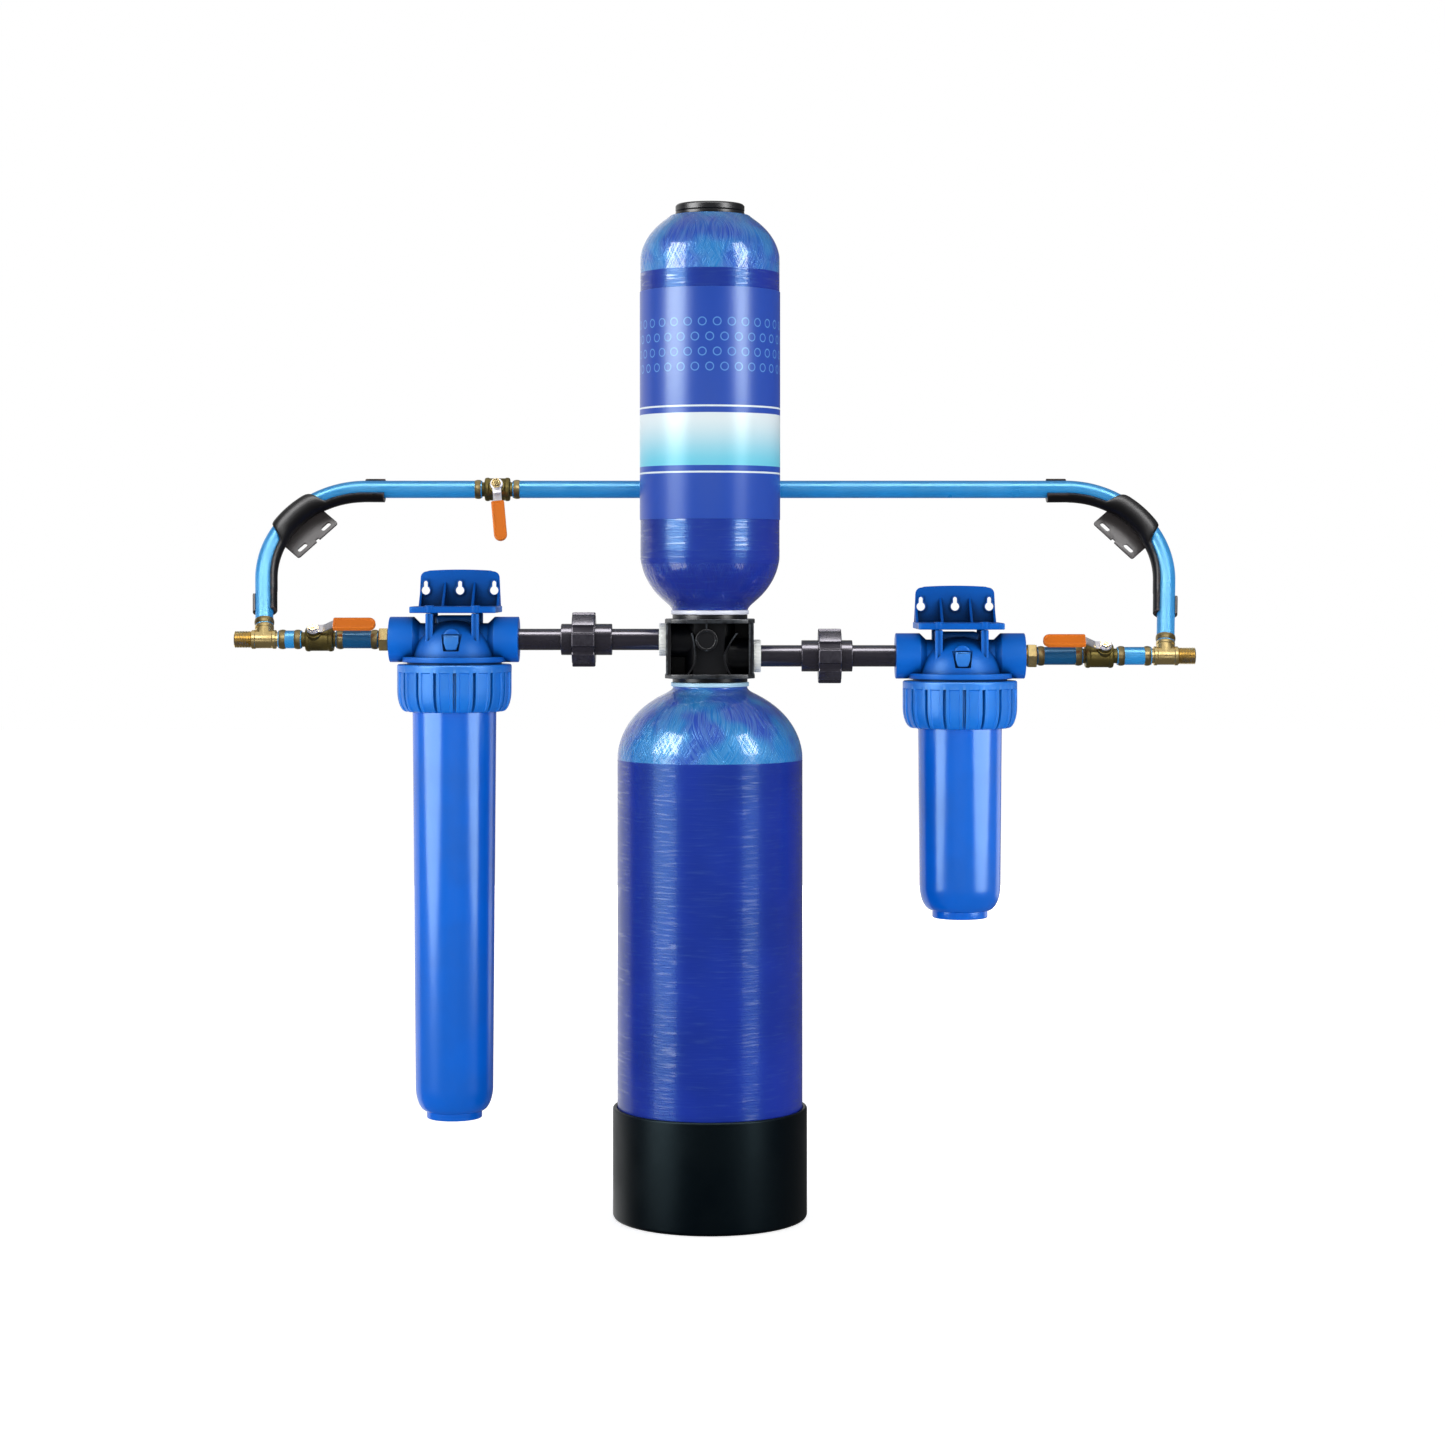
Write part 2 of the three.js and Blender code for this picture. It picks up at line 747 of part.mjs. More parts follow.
// The union's nut, with grip lugs round its rim
function makeUnionNut(side, unionStart) {
  const start = unionStart + unionBodyBarrel + fitGap;
  const end = start + unionNutLength;
  const rim = [];
  for (let lug = 0; lug < unionLugCount; lug += 1) {
    const pitch = 360 / unionLugCount;
    for (const [share, radius] of [
      [-unionLugFootShare, unionNutRadius],
      [-unionLugTopShare, unionLugRadius],
      [unionLugTopShare, unionLugRadius],
      [unionLugFootShare, unionNutRadius],
    ]) {
      const turn = (lug + share) * pitch * degree;
      rim.push([radius * Math.cos(turn), radius * Math.sin(turn)]);
    }
  }
  const threadBore = boreFor(unionThreadRadius, pipeSides);
  const barrelBore = boreFor(unionBarrelRadius, pipeSides);
  return cut(
    outwards(prism(outline(rim), unionNutLength).translate(0, 0, start), side),
    outwards(rod(threadBore, start - cutOverrun, end - unionNutEndWall, pipeSides), side),
    outwards(rod(barrelBore, start, end + cutOverrun, pipeSides), side),
  );
}

// A housing's port, from the head's middle outwards
function headPort(side) {
  const shoulder = portHalfLength - portStraight;
  return outwards(turned([
    [0, 0],
    [portNeckRadius, 0],
    [portNeckRadius, shoulder - portChamfer],
    [portRadius, shoulder],
    [portRadius, portHalfLength],
    [0, portHalfLength],
  ], pipeSides), side);
}

// The socket in a port's end
function headPortBore(side) {
  const bore = boreFor(pvcRadius, pipeSides);
  return outwards(rod(bore, portHalfLength - portBoreDepth, portHalfLength + cutOverrun, pipeSides), side);
}

// A waterway from a port inwards, to the given distance from the head's middle
function headPassage(side, reach) {
  return outwards(rod(headPassageRadius, reach, portHalfLength, smallSides), side);
}

function makeHead(side) {
  const flangeBottom = headDomeBase - headFlangeThickness;
  const body = turned([
    [0, headBossBottom],
    [headBossRadius, headBossBottom],
    [headBossRadius, headCavityTop],
    [headCavityRadius, headCavityTop],
    [headCavityRadius, headSkirtBottom],
    [headSkirtRadius, headSkirtBottom],
    [headSkirtRadius, flangeBottom],
    [headFlangeRadius, flangeBottom],
    [headFlangeRadius, headDomeBase],
    ...dome(headDomeRadius, headDomeBase, headDomeTop - headDomeBase, 0, 5),
  ], housingSides);
  const backBlock = block(
    headBackWidth, headBackReach, headBackTop, 0, headBackReach / 2, headBackTop / 2);
  const postHeight = bracketShelfBottom - fitGap - headPostFoot;
  const posts = [[-1, -1], [-1, 1], [1, -1], [1, 1]].map(([x, y]) => block(
    headPostWidth, headPostWidth, postHeight,
    x * headPostOffset, y * headPostDepth, headPostFoot + postHeight / 2));
  const recess = block(
    reliefRecessWidth, headDomeRadius, reliefRecessHeight,
    0, -reliefRecessReach - headDomeRadius / 2, reliefZ);
  const stemBore = rod(boreFor(buttonStemRadius, smallSides), 0, buttonStemLength, smallSides)
    .rotateX(90 * degree).translate(0, -reliefRecessReach + buttonStemLength - fitGap, reliefZ);
  const inletDrop = (headBossRadius + headCavityRadius) / 2;
  return cut(
    join(body, headPort(-1), headPort(1), backBlock, ...posts),
    headPortBore(-1),
    headPortBore(1),
    headPassage(side, inletDrop - headPassageRadius),
    headPassage(-side, 0),
    rod(headPassageRadius, headBossBottom - cutOverrun, 0, smallSides),
    rod(headPassageRadius, headCavityTop - cutOverrun, 0, smallSides).translate(side * inletDrop, 0, 0),
    recess,
    stemBore,
  );
}

// The relief button's cap and its stem, which slides in the head
function makeReliefButton() {
  const back = buttonReach - buttonThickness;
  const half = buttonWidth / 2;
  const top = reliefZ + buttonHeight / 2;
  const bottom = reliefZ - buttonHeight / 2;
  const cap = prism(outline([
    [-half, top],
    [-half * buttonTaperShare, bottom],
    [half * buttonTaperShare, bottom],
    [half, top],
  ]), buttonThickness).rotateX(90 * degree).translate(0, -back, 0);
  const stem = rod(buttonStemRadius, -cutOverrun, buttonStemLength - cutOverrun, smallSides)
    .rotateX(-90 * degree).translate(0, -back, reliefZ);
  return join(cap, stem);
}

function makeSeal() {
  const bottomZ = headSkirtBottom - sealHeight;
  return turnedRing([
    [sealInnerRadius, bottomZ],
    [sealOuterRadius, bottomZ],
    [sealOuterRadius, headSkirtBottom - fitGap],
    [sealInnerRadius, headSkirtBottom - fitGap],
  ], housingSides);
}

// The tapered bowl with its flange, round bottom, foot ring and the seat for the cartridge
function makeSump(bottom, footRadius, cartridgeBottom) {
  const flangeTop = headSkirtBottom - sealHeight - fitGap;
  const flangeBottom = flangeTop - sumpFlangeThickness;
  const knuckleZ = bottom + footRingHeight + sumpKnuckleRise;
  const floorZ = bottom + footRingHeight;
  const knuckle = dome(footRadius, knuckleZ, -sumpKnuckleRise, footRingRadius, 3);
  const innerRise = sumpKnuckleRise - sumpWall;
  const inner = dome(footRadius - sumpWall, knuckleZ, -innerRise, footRingRadius, 3).reverse();
  const seatZ = cartridgeBottom - fitGap;
  return turned([
    [0, floorZ],
    [footRingRadius - footRingWall, floorZ],
    [footRingRadius - footRingWall, bottom],
    [footRingRadius, bottom],
    ...knuckle.reverse(),
    [sumpTopRadius, flangeBottom],
    [sumpFlangeRadius, flangeBottom],
    [sumpFlangeRadius, flangeTop],
    [sumpTopRadius - sumpWall, flangeTop],
    ...inner.reverse(),
    [seatRadius, inner.at(-1)[1]],
    [seatRadius, seatZ],
    [seatNubRadius, seatZ],
    [seatNubRadius, seatZ + seatNubHeight],
    [0, seatZ + seatNubHeight],
  ], housingSides);
}

function makeCartridge(bottom) {
  const top = headBossBottom - fitGap;
  return turnedRing([
    [cartridgeBore, bottom],
    [cartridgeRadius, bottom],
    [cartridgeRadius, top],
    [cartridgeBore, top],
  ], fittingSides);
}

// The ring nut: a straight side that curves in to its foot, with one flat for each of its grip pads
function makeRingNut() {
  const flangeBottom = headSkirtBottom - sealHeight - fitGap - sumpFlangeThickness;
  const seat = flangeBottom - fitGap;
  const threadBore = boreFor(sumpFlangeRadius, ringNutSides);
  const neckBore = boreFor(sumpTopRadius, ringNutSides);
  const straightEnd = ringNutTop - ringNutStraight;
  const footShare = ringNutFootRadius / ringNutRadius;
  const rise = (ringNutBottom - straightEnd) / Math.sqrt(1 - footShare * footShare);
  return turnedRing([
    [threadBore, ringNutTop],
    [ringNutRadius - ringNutTopChamfer, ringNutTop],
    [ringNutRadius, ringNutTop - ringNutTopChamfer],
    ...dome(ringNutRadius, straightEnd, rise, ringNutFootRadius, 3),
    [neckBore, ringNutBottom],
    [neckBore, seat],
    [threadBore, seat],
  ], ringNutSides);
}

function keyhole(x) {
  const slotHalf = keyholeSlotWidth / 2;
  const mouth = Math.asin(slotHalf / keyholeRadius) / degree;
  return outline([
    ...arc(x, keyholeZ, keyholeRadius, 90 + mouth, 450 - mouth, 8),
    ...arc(x, keyholeSlotTop - slotHalf, slotHalf, 0, 180, 3),
  ]);
}

// The wall bracket: a back plate with keyholes, a bowed shelf over the posts, and ribs between them
function makeBracket() {
  const half = bracketPlateWidth / 2;
  const shelfTop = bracketShelfBottom + bracketShelfThickness;
  const plateFront = bracketBackY - bracketPlateThickness;
  const plate = roundedRectangle(
    -half, half, bracketShelfBottom, bracketPlateTop, bracketPlateCorner);
  plate.holes = [-1, 0, 1].map((step) => keyhole(step * keyholeSpacing));
  const shelfHalf = bracketWidth / 2;
  const shelf = outline([
    [shelfHalf, bracketBackY],
    [-shelfHalf, bracketBackY],
    [-shelfHalf, bracketShelfBow - bracketShelfFront],
    [-headPostOffset, -bracketShelfFront],
    [headPostOffset, -bracketShelfFront],
    [shelfHalf, bracketShelfBow - bracketShelfFront],
  ]);
  const rib = (reach, top) => outline([
    [plateFront + fitGap, shelfTop - fitGap],
    [plateFront + fitGap, top],
    [plateFront - fitGap, top],
    [plateFront - reach, shelfTop - fitGap],
  ]);
  const ribs = [
    [-bracketRibOffset, bracketRibReach, bracketRibTop],
    [bracketRibOffset, bracketRibReach, bracketRibTop],
    [-bracketGussetOffset, bracketGussetReach, keyholeZ],
    [bracketGussetOffset, bracketGussetReach, keyholeZ],
  ].map(([x, reach, top]) => prism(rib(reach, top), bracketRibThickness)
    .rotateY(90 * degree)
    .rotateX(90 * degree)
    .translate(x - bracketRibThickness / 2, 0, 0));
  return join(
    prism(plate, bracketPlateThickness).rotateX(90 * degree).translate(0, bracketBackY, 0),
    prism(shelf, bracketShelfThickness).translate(0, 0, bracketShelfBottom),
    ...ribs,
  );
}

// The brass adapter: thread into the port, hexagon, and barb into the PEX
function makeAdapter(side, start) {
  const hexRadius = adapterHexWidth / 2 / Math.cos(30 * degree);
  const hexEnd = start + adapterHexLength;
  const thread = rod(adapterThreadRadius, start - adapterThreadLength, start + cutOverrun, fittingSides);
  const hexagon = rod(hexRadius, start, hexEnd, 6);
  const barb = rod(barbRadius, start, hexEnd + stubGap + barbLength, fittingSides);
  const bore = rod(brassBore, start - 2 * adapterThreadLength, hexEnd + 2 * barbLength, fittingSides);
  return cut(
    join(outwards(thread, side), outwards(hexagon, side), outwards(barb, side)),
    outwards(bore, side),
  );
}

// A straight PEX stub with a crimp ring near each end
function makeStub(side, start, length) {
  const bore = boreFor(barbRadius, fittingSides);
  const end = start + length;
  const ringFrom = start + crimpEndGap;
  const ringTo = end - crimpEndGap;
  return outwards(turnedRing([
    [bore, start],
    [pexRadius, start],
    [pexRadius, ringFrom],
    [crimpRadius, ringFrom],
    [crimpRadius, ringFrom + crimpLength],
    [pexRadius, ringFrom + crimpLength],
    [pexRadius, ringTo - crimpLength],
    [crimpRadius, ringTo - crimpLength],
    [crimpRadius, ringTo],
    [pexRadius, ringTo],
    [pexRadius, end],
    [bore, end],
  ], fittingSides), side);
}

// A valve's body about its stem: reaches go to the left (-X) and to the right (+X)
function makeValveBody(leftReach, rightReach, leftShoulder, rightShoulder) {
  const leftTip = -leftReach - leftShoulder;
  const rightTip = rightReach + rightShoulder;
  const body = turned([
    [0, leftTip - barbLength],
    [barbRadius, leftTip - barbLength],
    [barbRadius, leftTip],
    [shoulderRadius, leftTip + fitGap],
    [shoulderRadius, -leftReach],
    [valveRadius - valveChamfer, -leftReach],
    [valveRadius, valveChamfer - leftReach],
    [valveRadius, rightReach - valveChamfer],
    [valveRadius - valveChamfer, rightReach],
    [shoulderRadius, rightReach],
    [shoulderRadius, rightTip - fitGap],
    [barbRadius, rightTip],
    [barbRadius, rightTip + barbLength],
    [0, rightTip + barbLength],
  ], fittingSides);
  const bonnet = rod(bonnetRadius, 0, bonnetReach, fittingSides).rotateX(90 * degree);
  const bore = rod(brassBore, leftTip - 2 * barbLength, rightTip + 2 * barbLength, smallSides);
  const chamber = new THREE.SphereGeometry(ballRadius + ballGap, smallSides, 6);
  const stemBore = rod(boreFor(stemRadius, smallSides), 0, bonnetReach + cutOverrun, smallSides);
  return cut(
    join(outwards(body, 1), bonnet),
    outwards(bore, 1),
    chamber,
    stemBore.rotateX(90 * degree),
  );
}

// The ball with its waterway, its stem, and the nut that holds the lever; the waterway lies along the lever
function makeValveBall() {
  const nutStart = leverPlane + leverThickness + fitGap;
  const ball = new THREE.SphereGeometry(ballRadius, smallSides, 6);
  const stem = rod(stemRadius, 0, nutStart + leverNutThickness + cutOverrun, smallSides).rotateX(90 * degree);
  const nut = rod(leverNutRadius, nutStart, nutStart + leverNutThickness, 6).rotateX(90 * degree);
  const waterway = rod(brassBore, -2 * ballRadius, 2 * ballRadius, smallSides);
  return join(cut(ball, outwards(waterway, 1)), cut(stem, outwards(waterway.clone(), 1)), nut);
}

// A strip that steps outwards between the nut and the grip, along +X from the stem
function leverStrip(width, thickness, start, end) {
  const inner = leverPlane + (leverThickness - thickness) / 2;
  const outer = inner + thickness;
  const rampEnd = leverFlat + leverRamp;
  const farEnd = [[end, inner + leverStep], [end, outer + leverStep]];
  const points = start < leverFlat
    ? [[start, inner], [leverFlat, inner], [rampEnd, inner + leverStep], ...farEnd,
      [rampEnd, outer + leverStep], [leverFlat, outer], [start, outer]]
    : [[start, inner + leverStep], ...farEnd, [start, outer + leverStep]];
  return prism(outline(points.map(([x, y]) => [x, -y])), width).translate(0, 0, -width / 2);
}

function makeLever() {
  const eye = rod(leverEyeRadius, leverPlane, leverPlane + leverThickness, fittingSides).rotateX(90 * degree);
  const bore = rod(boreFor(stemRadius, smallSides), 0, leverPlane + 2 * leverThickness, smallSides);
  return cut(join(eye, leverStrip(leverWidth, leverThickness, 0, leverLength)), bore.rotateX(90 * degree));
}

// The vinyl grip, a sleeve over the lever's end
function makeGrip() {
  const end = gripStart + gripLength;
  const middleY = -(leverPlane + leverThickness / 2 + leverStep);
  const half = gripWidth / 2;
  const sleeve = prism(outline([
    [gripStart, -half],
    ...arc(end - half, 0, half, -90, 90, 4),
    [gripStart, half],
  ]), gripThickness).rotateX(90 * degree).translate(0, middleY + gripThickness / 2, 0);
  const pocket = leverStrip(
    leverWidth + 2 * fitGap, leverThickness + 2 * fitGap, gripStart - cutOverrun, leverLength + fitGap);
  return cut(sleeve, pocket);
}

// The bypass leg's plane: it passes through the tee's middle and leans back to reach the bypass pipe
function bypassFrame(side, teeX, teeZ) {
  const rise = bypassZ - teeZ;
  const lean = Math.atan2(bypassY, rise);
  const height = Math.hypot(bypassY, rise);
  const tilt = legTilt * degree;
  const legLength = (height - bendRadius * (1 + Math.sin(tilt))) / Math.cos(tilt);
  return {
    side,
    origin: new THREE.Vector3(side * teeX, 0, teeZ),
    across: new THREE.Vector3(-side, 0, 0),
    up: new THREE.Vector3(0, Math.sin(lean), Math.cos(lean)),
    front: new THREE.Vector3(0, -Math.cos(lean), Math.sin(lean)),
    lean,
    legLength,
    centreAcross: bendRadius * Math.cos(tilt) - legLength * Math.sin(tilt),
    centreUp: legLength * Math.cos(tilt) + bendRadius * Math.sin(tilt),
  };
}

// A station of the bypass path: its place in the plane, the path's direction and the way to the bend's centre
function station(frame, across, up, angle) {
  const inPlane = (a, b) => frame.across.clone().multiplyScalar(a).addScaledVector(frame.up, b);
  return {
    point: frame.origin.clone().add(inPlane(across, up)),
    tangent: inPlane(Math.cos(angle), Math.sin(angle)),
    inward: inPlane(Math.sin(angle), -Math.cos(angle)),
  };
}

function legStation(frame, distance) {
  const tilt = legTilt * degree;
  return station(frame, -distance * Math.sin(tilt), distance * Math.cos(tilt), Math.PI / 2 + tilt);
}

function bendStation(frame, step) {
  const whole = Math.PI / 2 + legTilt * degree;
  const angle = whole * (1 - step / bendSteps);
  return station(
    frame,
    frame.centreAcross - bendRadius * Math.sin(angle),
    frame.centreUp + bendRadius * Math.cos(angle),
    angle,
  );
}

function runStation(frame, distance) {
  return station(frame, frame.centreAcross + distance, frame.centreUp + bendRadius, 0);
}

function bendStations(frame, first, last) {
  return Array.from({ length: last - first + 1 }, (_, i) => bendStation(frame, first + i));
}

// A flat path through stations; a section's X faces the front and its Y faces the bend's centre
class StationPath extends THREE.Curve {
  constructor(frame, stations) {
    super();
    this.front = frame.front;
    this.stations = stations;
  }

  getPointAt(share) {
    return this.stations[Math.round(share * (this.stations.length - 1))].point.clone();
  }

  computeFrenetFrames() {
    return {
      tangents: this.stations.map((place) => place.tangent),
      normals: this.stations.map(() => this.front),
      binormals: this.stations.map((place) => place.inward),
    };
  }
}

function sweep(section, frame, stations) {
  return new THREE.ExtrudeGeometry(section, {
    steps: stations.length - 1,
    extrudePath: new StationPath(frame, stations),
    bevelEnabled: false,
  });
}

function circleOutline(radius, sides) {
  return outline(arc(0, 0, radius, 0, 360 - 360 / sides, sides - 1));
}

// The PEX pipe from a tee, round its bend and along to the bypass valve, with a crimp ring at each end
function makeBypassPipe(frame, runLength) {
  const start = teeBranchReach + fitGap;
  const bore = boreFor(barbRadius, pexSides);
  const tube = circleOutline(pexRadius, pexSides);
  tube.holes = [circleOutline(bore, pexSides)];
  const band = circleOutline(crimpRadius, pexSides);
  band.holes = [circleOutline((bore + pexRadius) / 2, pexSides)];
  const lowRing = start + crimpEndGap;
  const highRing = runLength - crimpEndGap;
  return join(
    sweep(tube, frame, [
      legStation(frame, start),
      ...bendStations(frame, 0, bendSteps),
      runStation(frame, runLength),
    ]),
    sweep(band, frame, [legStation(frame, lowRing), legStation(frame, lowRing + crimpLength)]),
    sweep(band, frame, [runStation(frame, highRing - crimpLength), runStation(frame, highRing)]),
  );
}

// A part ring round the pipe; the angle runs from the bend's centre towards the front
function channelOutline(from, to) {
  const steps = Math.ceil((to - from) / supportSectionStep);
  const inner = (pexRadius + 2 * fitGap) / Math.cos(((to - from) / steps / 2) * degree);
  const outer = inner + supportWall;
  return outline([
    ...arc(0, 0, inner, 90 - from, 90 - to, steps),
    ...arc(0, 0, outer, 90 - to, 90 - from, steps),
  ]);
}

// The support's flat plate, inside the bend and behind the pipe, with its slots and notch
function mountPlate(frame) {
  const half = mountPlateWidth / 2;
  const chord = mountPlateDistance;
  const notch = mountNotchWidth / 2;
  const shape = outline([
    [-half, chord],
    [-notch, chord],
    [-notch, chord + mountNotchDepth],
    [notch, chord + mountNotchDepth],
    [notch, chord],
    [half, chord],
    [half, bendRadius],
    [-half, bendRadius],
  ]);
  shape.holes = [-1, 1].map((end) => slotOutline(
    end * mountSlotOffset, chord + mountSlotInset, mountSlotLength, mountSlotWidth));
  const middle = bendStation(frame, bendSteps / 2);
  const outward = middle.inward.clone().negate();
  const centre = middle.point.clone().addScaledVector(middle.inward, bendRadius);
  const back = -(pexRadius + fitGap + supportWall);
  const place = new THREE.Matrix4()
    .makeBasis(middle.tangent, outward, frame.front)
    .setPosition(centre.addScaledVector(frame.front, back));
  return prism(shape, mountPlateThickness).applyMatrix4(place);
}

// The black support that holds a bend: an inner channel, an end clip each side, a saddle and a plate
function makeBendSupport(frame) {
  const channel = channelOutline(supportBackAngle, supportFrontAngle);
  const clip = channelOutline(supportClipAngle, supportFrontAngle);
  const saddle = channelOutline(supportBackAngle, supportSaddleAngle);
  const legEnd = frame.legLength - supportLegReach;
  const runEnd = supportRunReach;
  return join(
    sweep(channel, frame, [
      legStation(frame, legEnd),
      ...bendStations(frame, 0, bendSteps),
      runStation(frame, runEnd),
    ]),
    sweep(clip, frame, [legStation(frame, legEnd), legStation(frame, legEnd + supportClipLength)]),
    sweep(clip, frame, [runStation(frame, runEnd - supportClipLength), runStation(frame, runEnd)]),
    sweep(saddle, frame, bendStations(frame, saddleFirstStep, saddleLastStep)),
    mountPlate(frame),
  );
}

// The brass tee: barb to the stub, thread outwards, and a branch along the bypass leg
function makeTee(frame) {
  const { side } = frame;
  const run = turned([
    [0, -teeInnerReach - teeGap - barbLength],
    [barbRadius, -teeInnerReach - teeGap - barbLength],
    [barbRadius, -teeInnerReach - teeGap],
    [shoulderRadius, -teeInnerReach - teeGap + fitGap],
    [shoulderRadius, -teeInnerReach],
    [teeRadius, -teeInnerReach],
    [teeRadius, teeOuterReach],
    [teeThreadRadius, teeOuterReach],
    [teeThreadRadius, teeOuterReach + teeThreadLength],
    [0, teeOuterReach + teeThreadLength],
  ], fittingSides);
  const branchTip = teeBranchReach + barbLength;
  const turnToLeg = (geometry) => geometry.rotateY(side * legTilt * degree).rotateX(-frame.lean);
  const branch = turned([
    [0, 0],
    [teeRadius, 0],
    [teeRadius, teeBranchReach],
    [barbRadius, teeBranchReach],
    [barbRadius, branchTip],
    [0, branchTip],
  ], fittingSides);
  const innerEnd = teeInnerReach + teeGap + 2 * barbLength;
  const boreThread = rod(teeBore, 0, teeOuterReach + teeThreadLength + cutOverrun, fittingSides);
  const boreBarb = rod(brassBore, -innerEnd, 0, fittingSides);
  const boreBranch = rod(brassBore, 0, branchTip + cutOverrun, fittingSides);
  return cut(
    join(outwards(run, side), turnToLeg(branch)),
    outwards(boreThread, side),
    outwards(boreBarb, side),
    turnToLeg(boreBranch),
  );
}

// A valve's moving pieces; the swing turns the lever about the stem, from +X towards the front's underside
function addHandle(parent, name, swing) {
  const handle = new THREE.Group();
  handle.rotation.y = swing * degree;
  parent.add(handle);
  addPart(handle, `${name}_valve_ball`, makeValveBall(), 'brass');
  addPart(handle, `${name}_lever`, makeLever(), 'steel');
  addPart(handle, `${name}_grip`, makeGrip(), 'vinyl');
}

// A valve whose stem leans up from the front by its tilt
function addValve(parent, name, x, y, z, tilt, swing, body) {
  const valve = new THREE.Group();
  valve.position.set(x, y, z);
  valve.rotation.x = -tilt * degree;
  parent.add(valve);
  addPart(valve, `${name}_valve_body`, body, 'brass');
  addHandle(valve, name, swing);
}

function addTanks(parent) {
  addPart(parent, 'boot', makeBoot(), 'boot');
  addPart(parent, 'lower_tank', makeLowerTank(), 'tank');
  addPart(parent, 'lower_media', makeLowerMedia(), 'media');
  addPart(parent, 'lower_riser', makeLowerRiser(), 'pvc');
  addPart(parent, 'lower_gasket', makeGasket(lowerNeckTopZ + fitGap), 'gasket');
  addPart(parent, 'manifold', makeManifold(), 'black');
  addPart(parent, 'upper_gasket', makeGasket(manifoldTopZ + fitGap), 'gasket');
  addPart(parent, 'upper_tank', makeUpperTank(), 'tank');
  addPart(parent, 'upper_media', makeUpperMedia(), 'media');
  addPart(parent, 'upper_riser', makeUpperRiser(), 'pvc');
  addPart(parent, 'neck_ring', makeNeckRing(), 'black');
  addPart(parent, 'top_plug', makeTopPlug(), 'black');
  addPart(parent, 'tank_label', makeLabel(), 'label');
}

function addHousing(parent, name, run) {
  const housing = new THREE.Group();
  housing.position.set(run.side * run.housingX, 0, run.z);
  parent.add(housing);
  addPart(housing, `${name}_head`, makeHead(run.side), 'head');
  addPart(housing, `${name}_relief_button`, makeReliefButton(), 'head');
  addPart(housing, `${name}_o_ring`, makeSeal(), 'seal');
  addPart(housing, `${name}_ring_nut`, makeRingNut(), 'ringNut');
  addPart(housing, `${name}_sump`, makeSump(run.sumpBottom, run.sumpFootRadius, run.cartridgeBottom), 'sump');
  addPart(housing, `${name}_cartridge`, makeCartridge(run.cartridgeBottom), 'cartridge');
  addPart(housing, `${name}_bracket`, makeBracket(), 'head');
}

// The pipe and union between the manifold and a housing
function addUnion(parent, name, run) {
  const line = new THREE.Group();
  line.position.set(0, 0, run.z);
  parent.add(line);
  addPart(line, `${name}_collar`, makeCollar(run.side), 'collar');
  addPart(line, `${name}_union_body`, makeUnionBody(run.side, run.unionStart), 'union');
  addPart(line, `${name}_union_nut`, makeUnionNut(run.side, run.unionStart), 'union');
  addPart(line, `${name}_union_tail`, makeUnionTail(run.side, run.unionStart, run.housingX), 'union');
}

// The brass and PEX line from a housing outwards, up to the bend and behind the tank
function addLine(parent, name, run) {
  const line = new THREE.Group();
  line.position.set(0, 0, run.z);
  parent.add(line);
  const hexStart = run.housingX + portHalfLength + run.adapterGap;
  const longStart = hexStart + adapterHexLength + stubGap;
  const valveStart = longStart + run.longStub + valveInnerShoulder;
  const shortStart = valveStart + valveInnerReach + valveOuterReach + valveOuterShoulder;
  const teeX = shortStart + run.shortStub + teeGap + teeInnerReach;
  addPart(line, `${name}_adapter`, makeAdapter(run.side, hexStart), 'brass');
  addPart(line, `${name}_long_stub`, makeStub(run.side, longStart, run.longStub), 'pex');
  addPart(line, `${name}_short_stub`, makeStub(run.side, shortStart, run.shortStub), 'pex');

  const outerFirst = [valveOuterReach, valveInnerReach, valveOuterShoulder, valveInnerShoulder];
  const innerFirst = [valveInnerReach, valveOuterReach, valveInnerShoulder, valveOuterShoulder];
  const body = makeValveBody(...(run.side < 0 ? outerFirst : innerFirst));
  const stemX = run.side * (valveStart + valveInnerReach);
  addValve(parent, name, stemX, 0, run.z, isolatingTilt, run.side < 0 ? 0 : 180, body);

  const frame = bypassFrame(run.side, teeX, run.z);
  const tee = addPart(parent, `${name}_tee`, makeTee(frame), 'brass');
  tee.position.copy(frame.origin);
  const runStart = frame.side * teeX - frame.side * frame.centreAcross;
  const valveEnd = bypassValveX + frame.side * (bypassValveReach + valveInnerShoulder + fitGap);
  addPart(parent, `${name}_bypass_pipe`, makeBypassPipe(frame, Math.abs(valveEnd - runStart)), 'pex');
  addPart(parent, `${name}_bend_support`, makeBendSupport(frame), 'support');
}

const inletRun = {
  side: -1,
  z: inletZ,
  housingX: inletHousingX,
  unionStart: inletUnionStart,
  sumpBottom: inletSumpBottom,
  sumpFootRadius: inletSumpFootRadius,
  cartridgeBottom: inletCartridgeBottom,
  adapterGap: inletAdapterGap,
  longStub: inletLongStub,
  shortStub: inletShortStub,
};

const outletRun = {
  side: 1,
  z: outletZ,
  housingX: outletHousingX,
  unionStart: outletUnionStart,
  sumpBottom: outletSumpBottom,
  sumpFootRadius: outletSumpFootRadius,
  cartridgeBottom: outletCartridgeBottom,
  adapterGap: outletAdapterGap,
  longStub: outletLongStub,
  shortStub: outletShortStub,
};

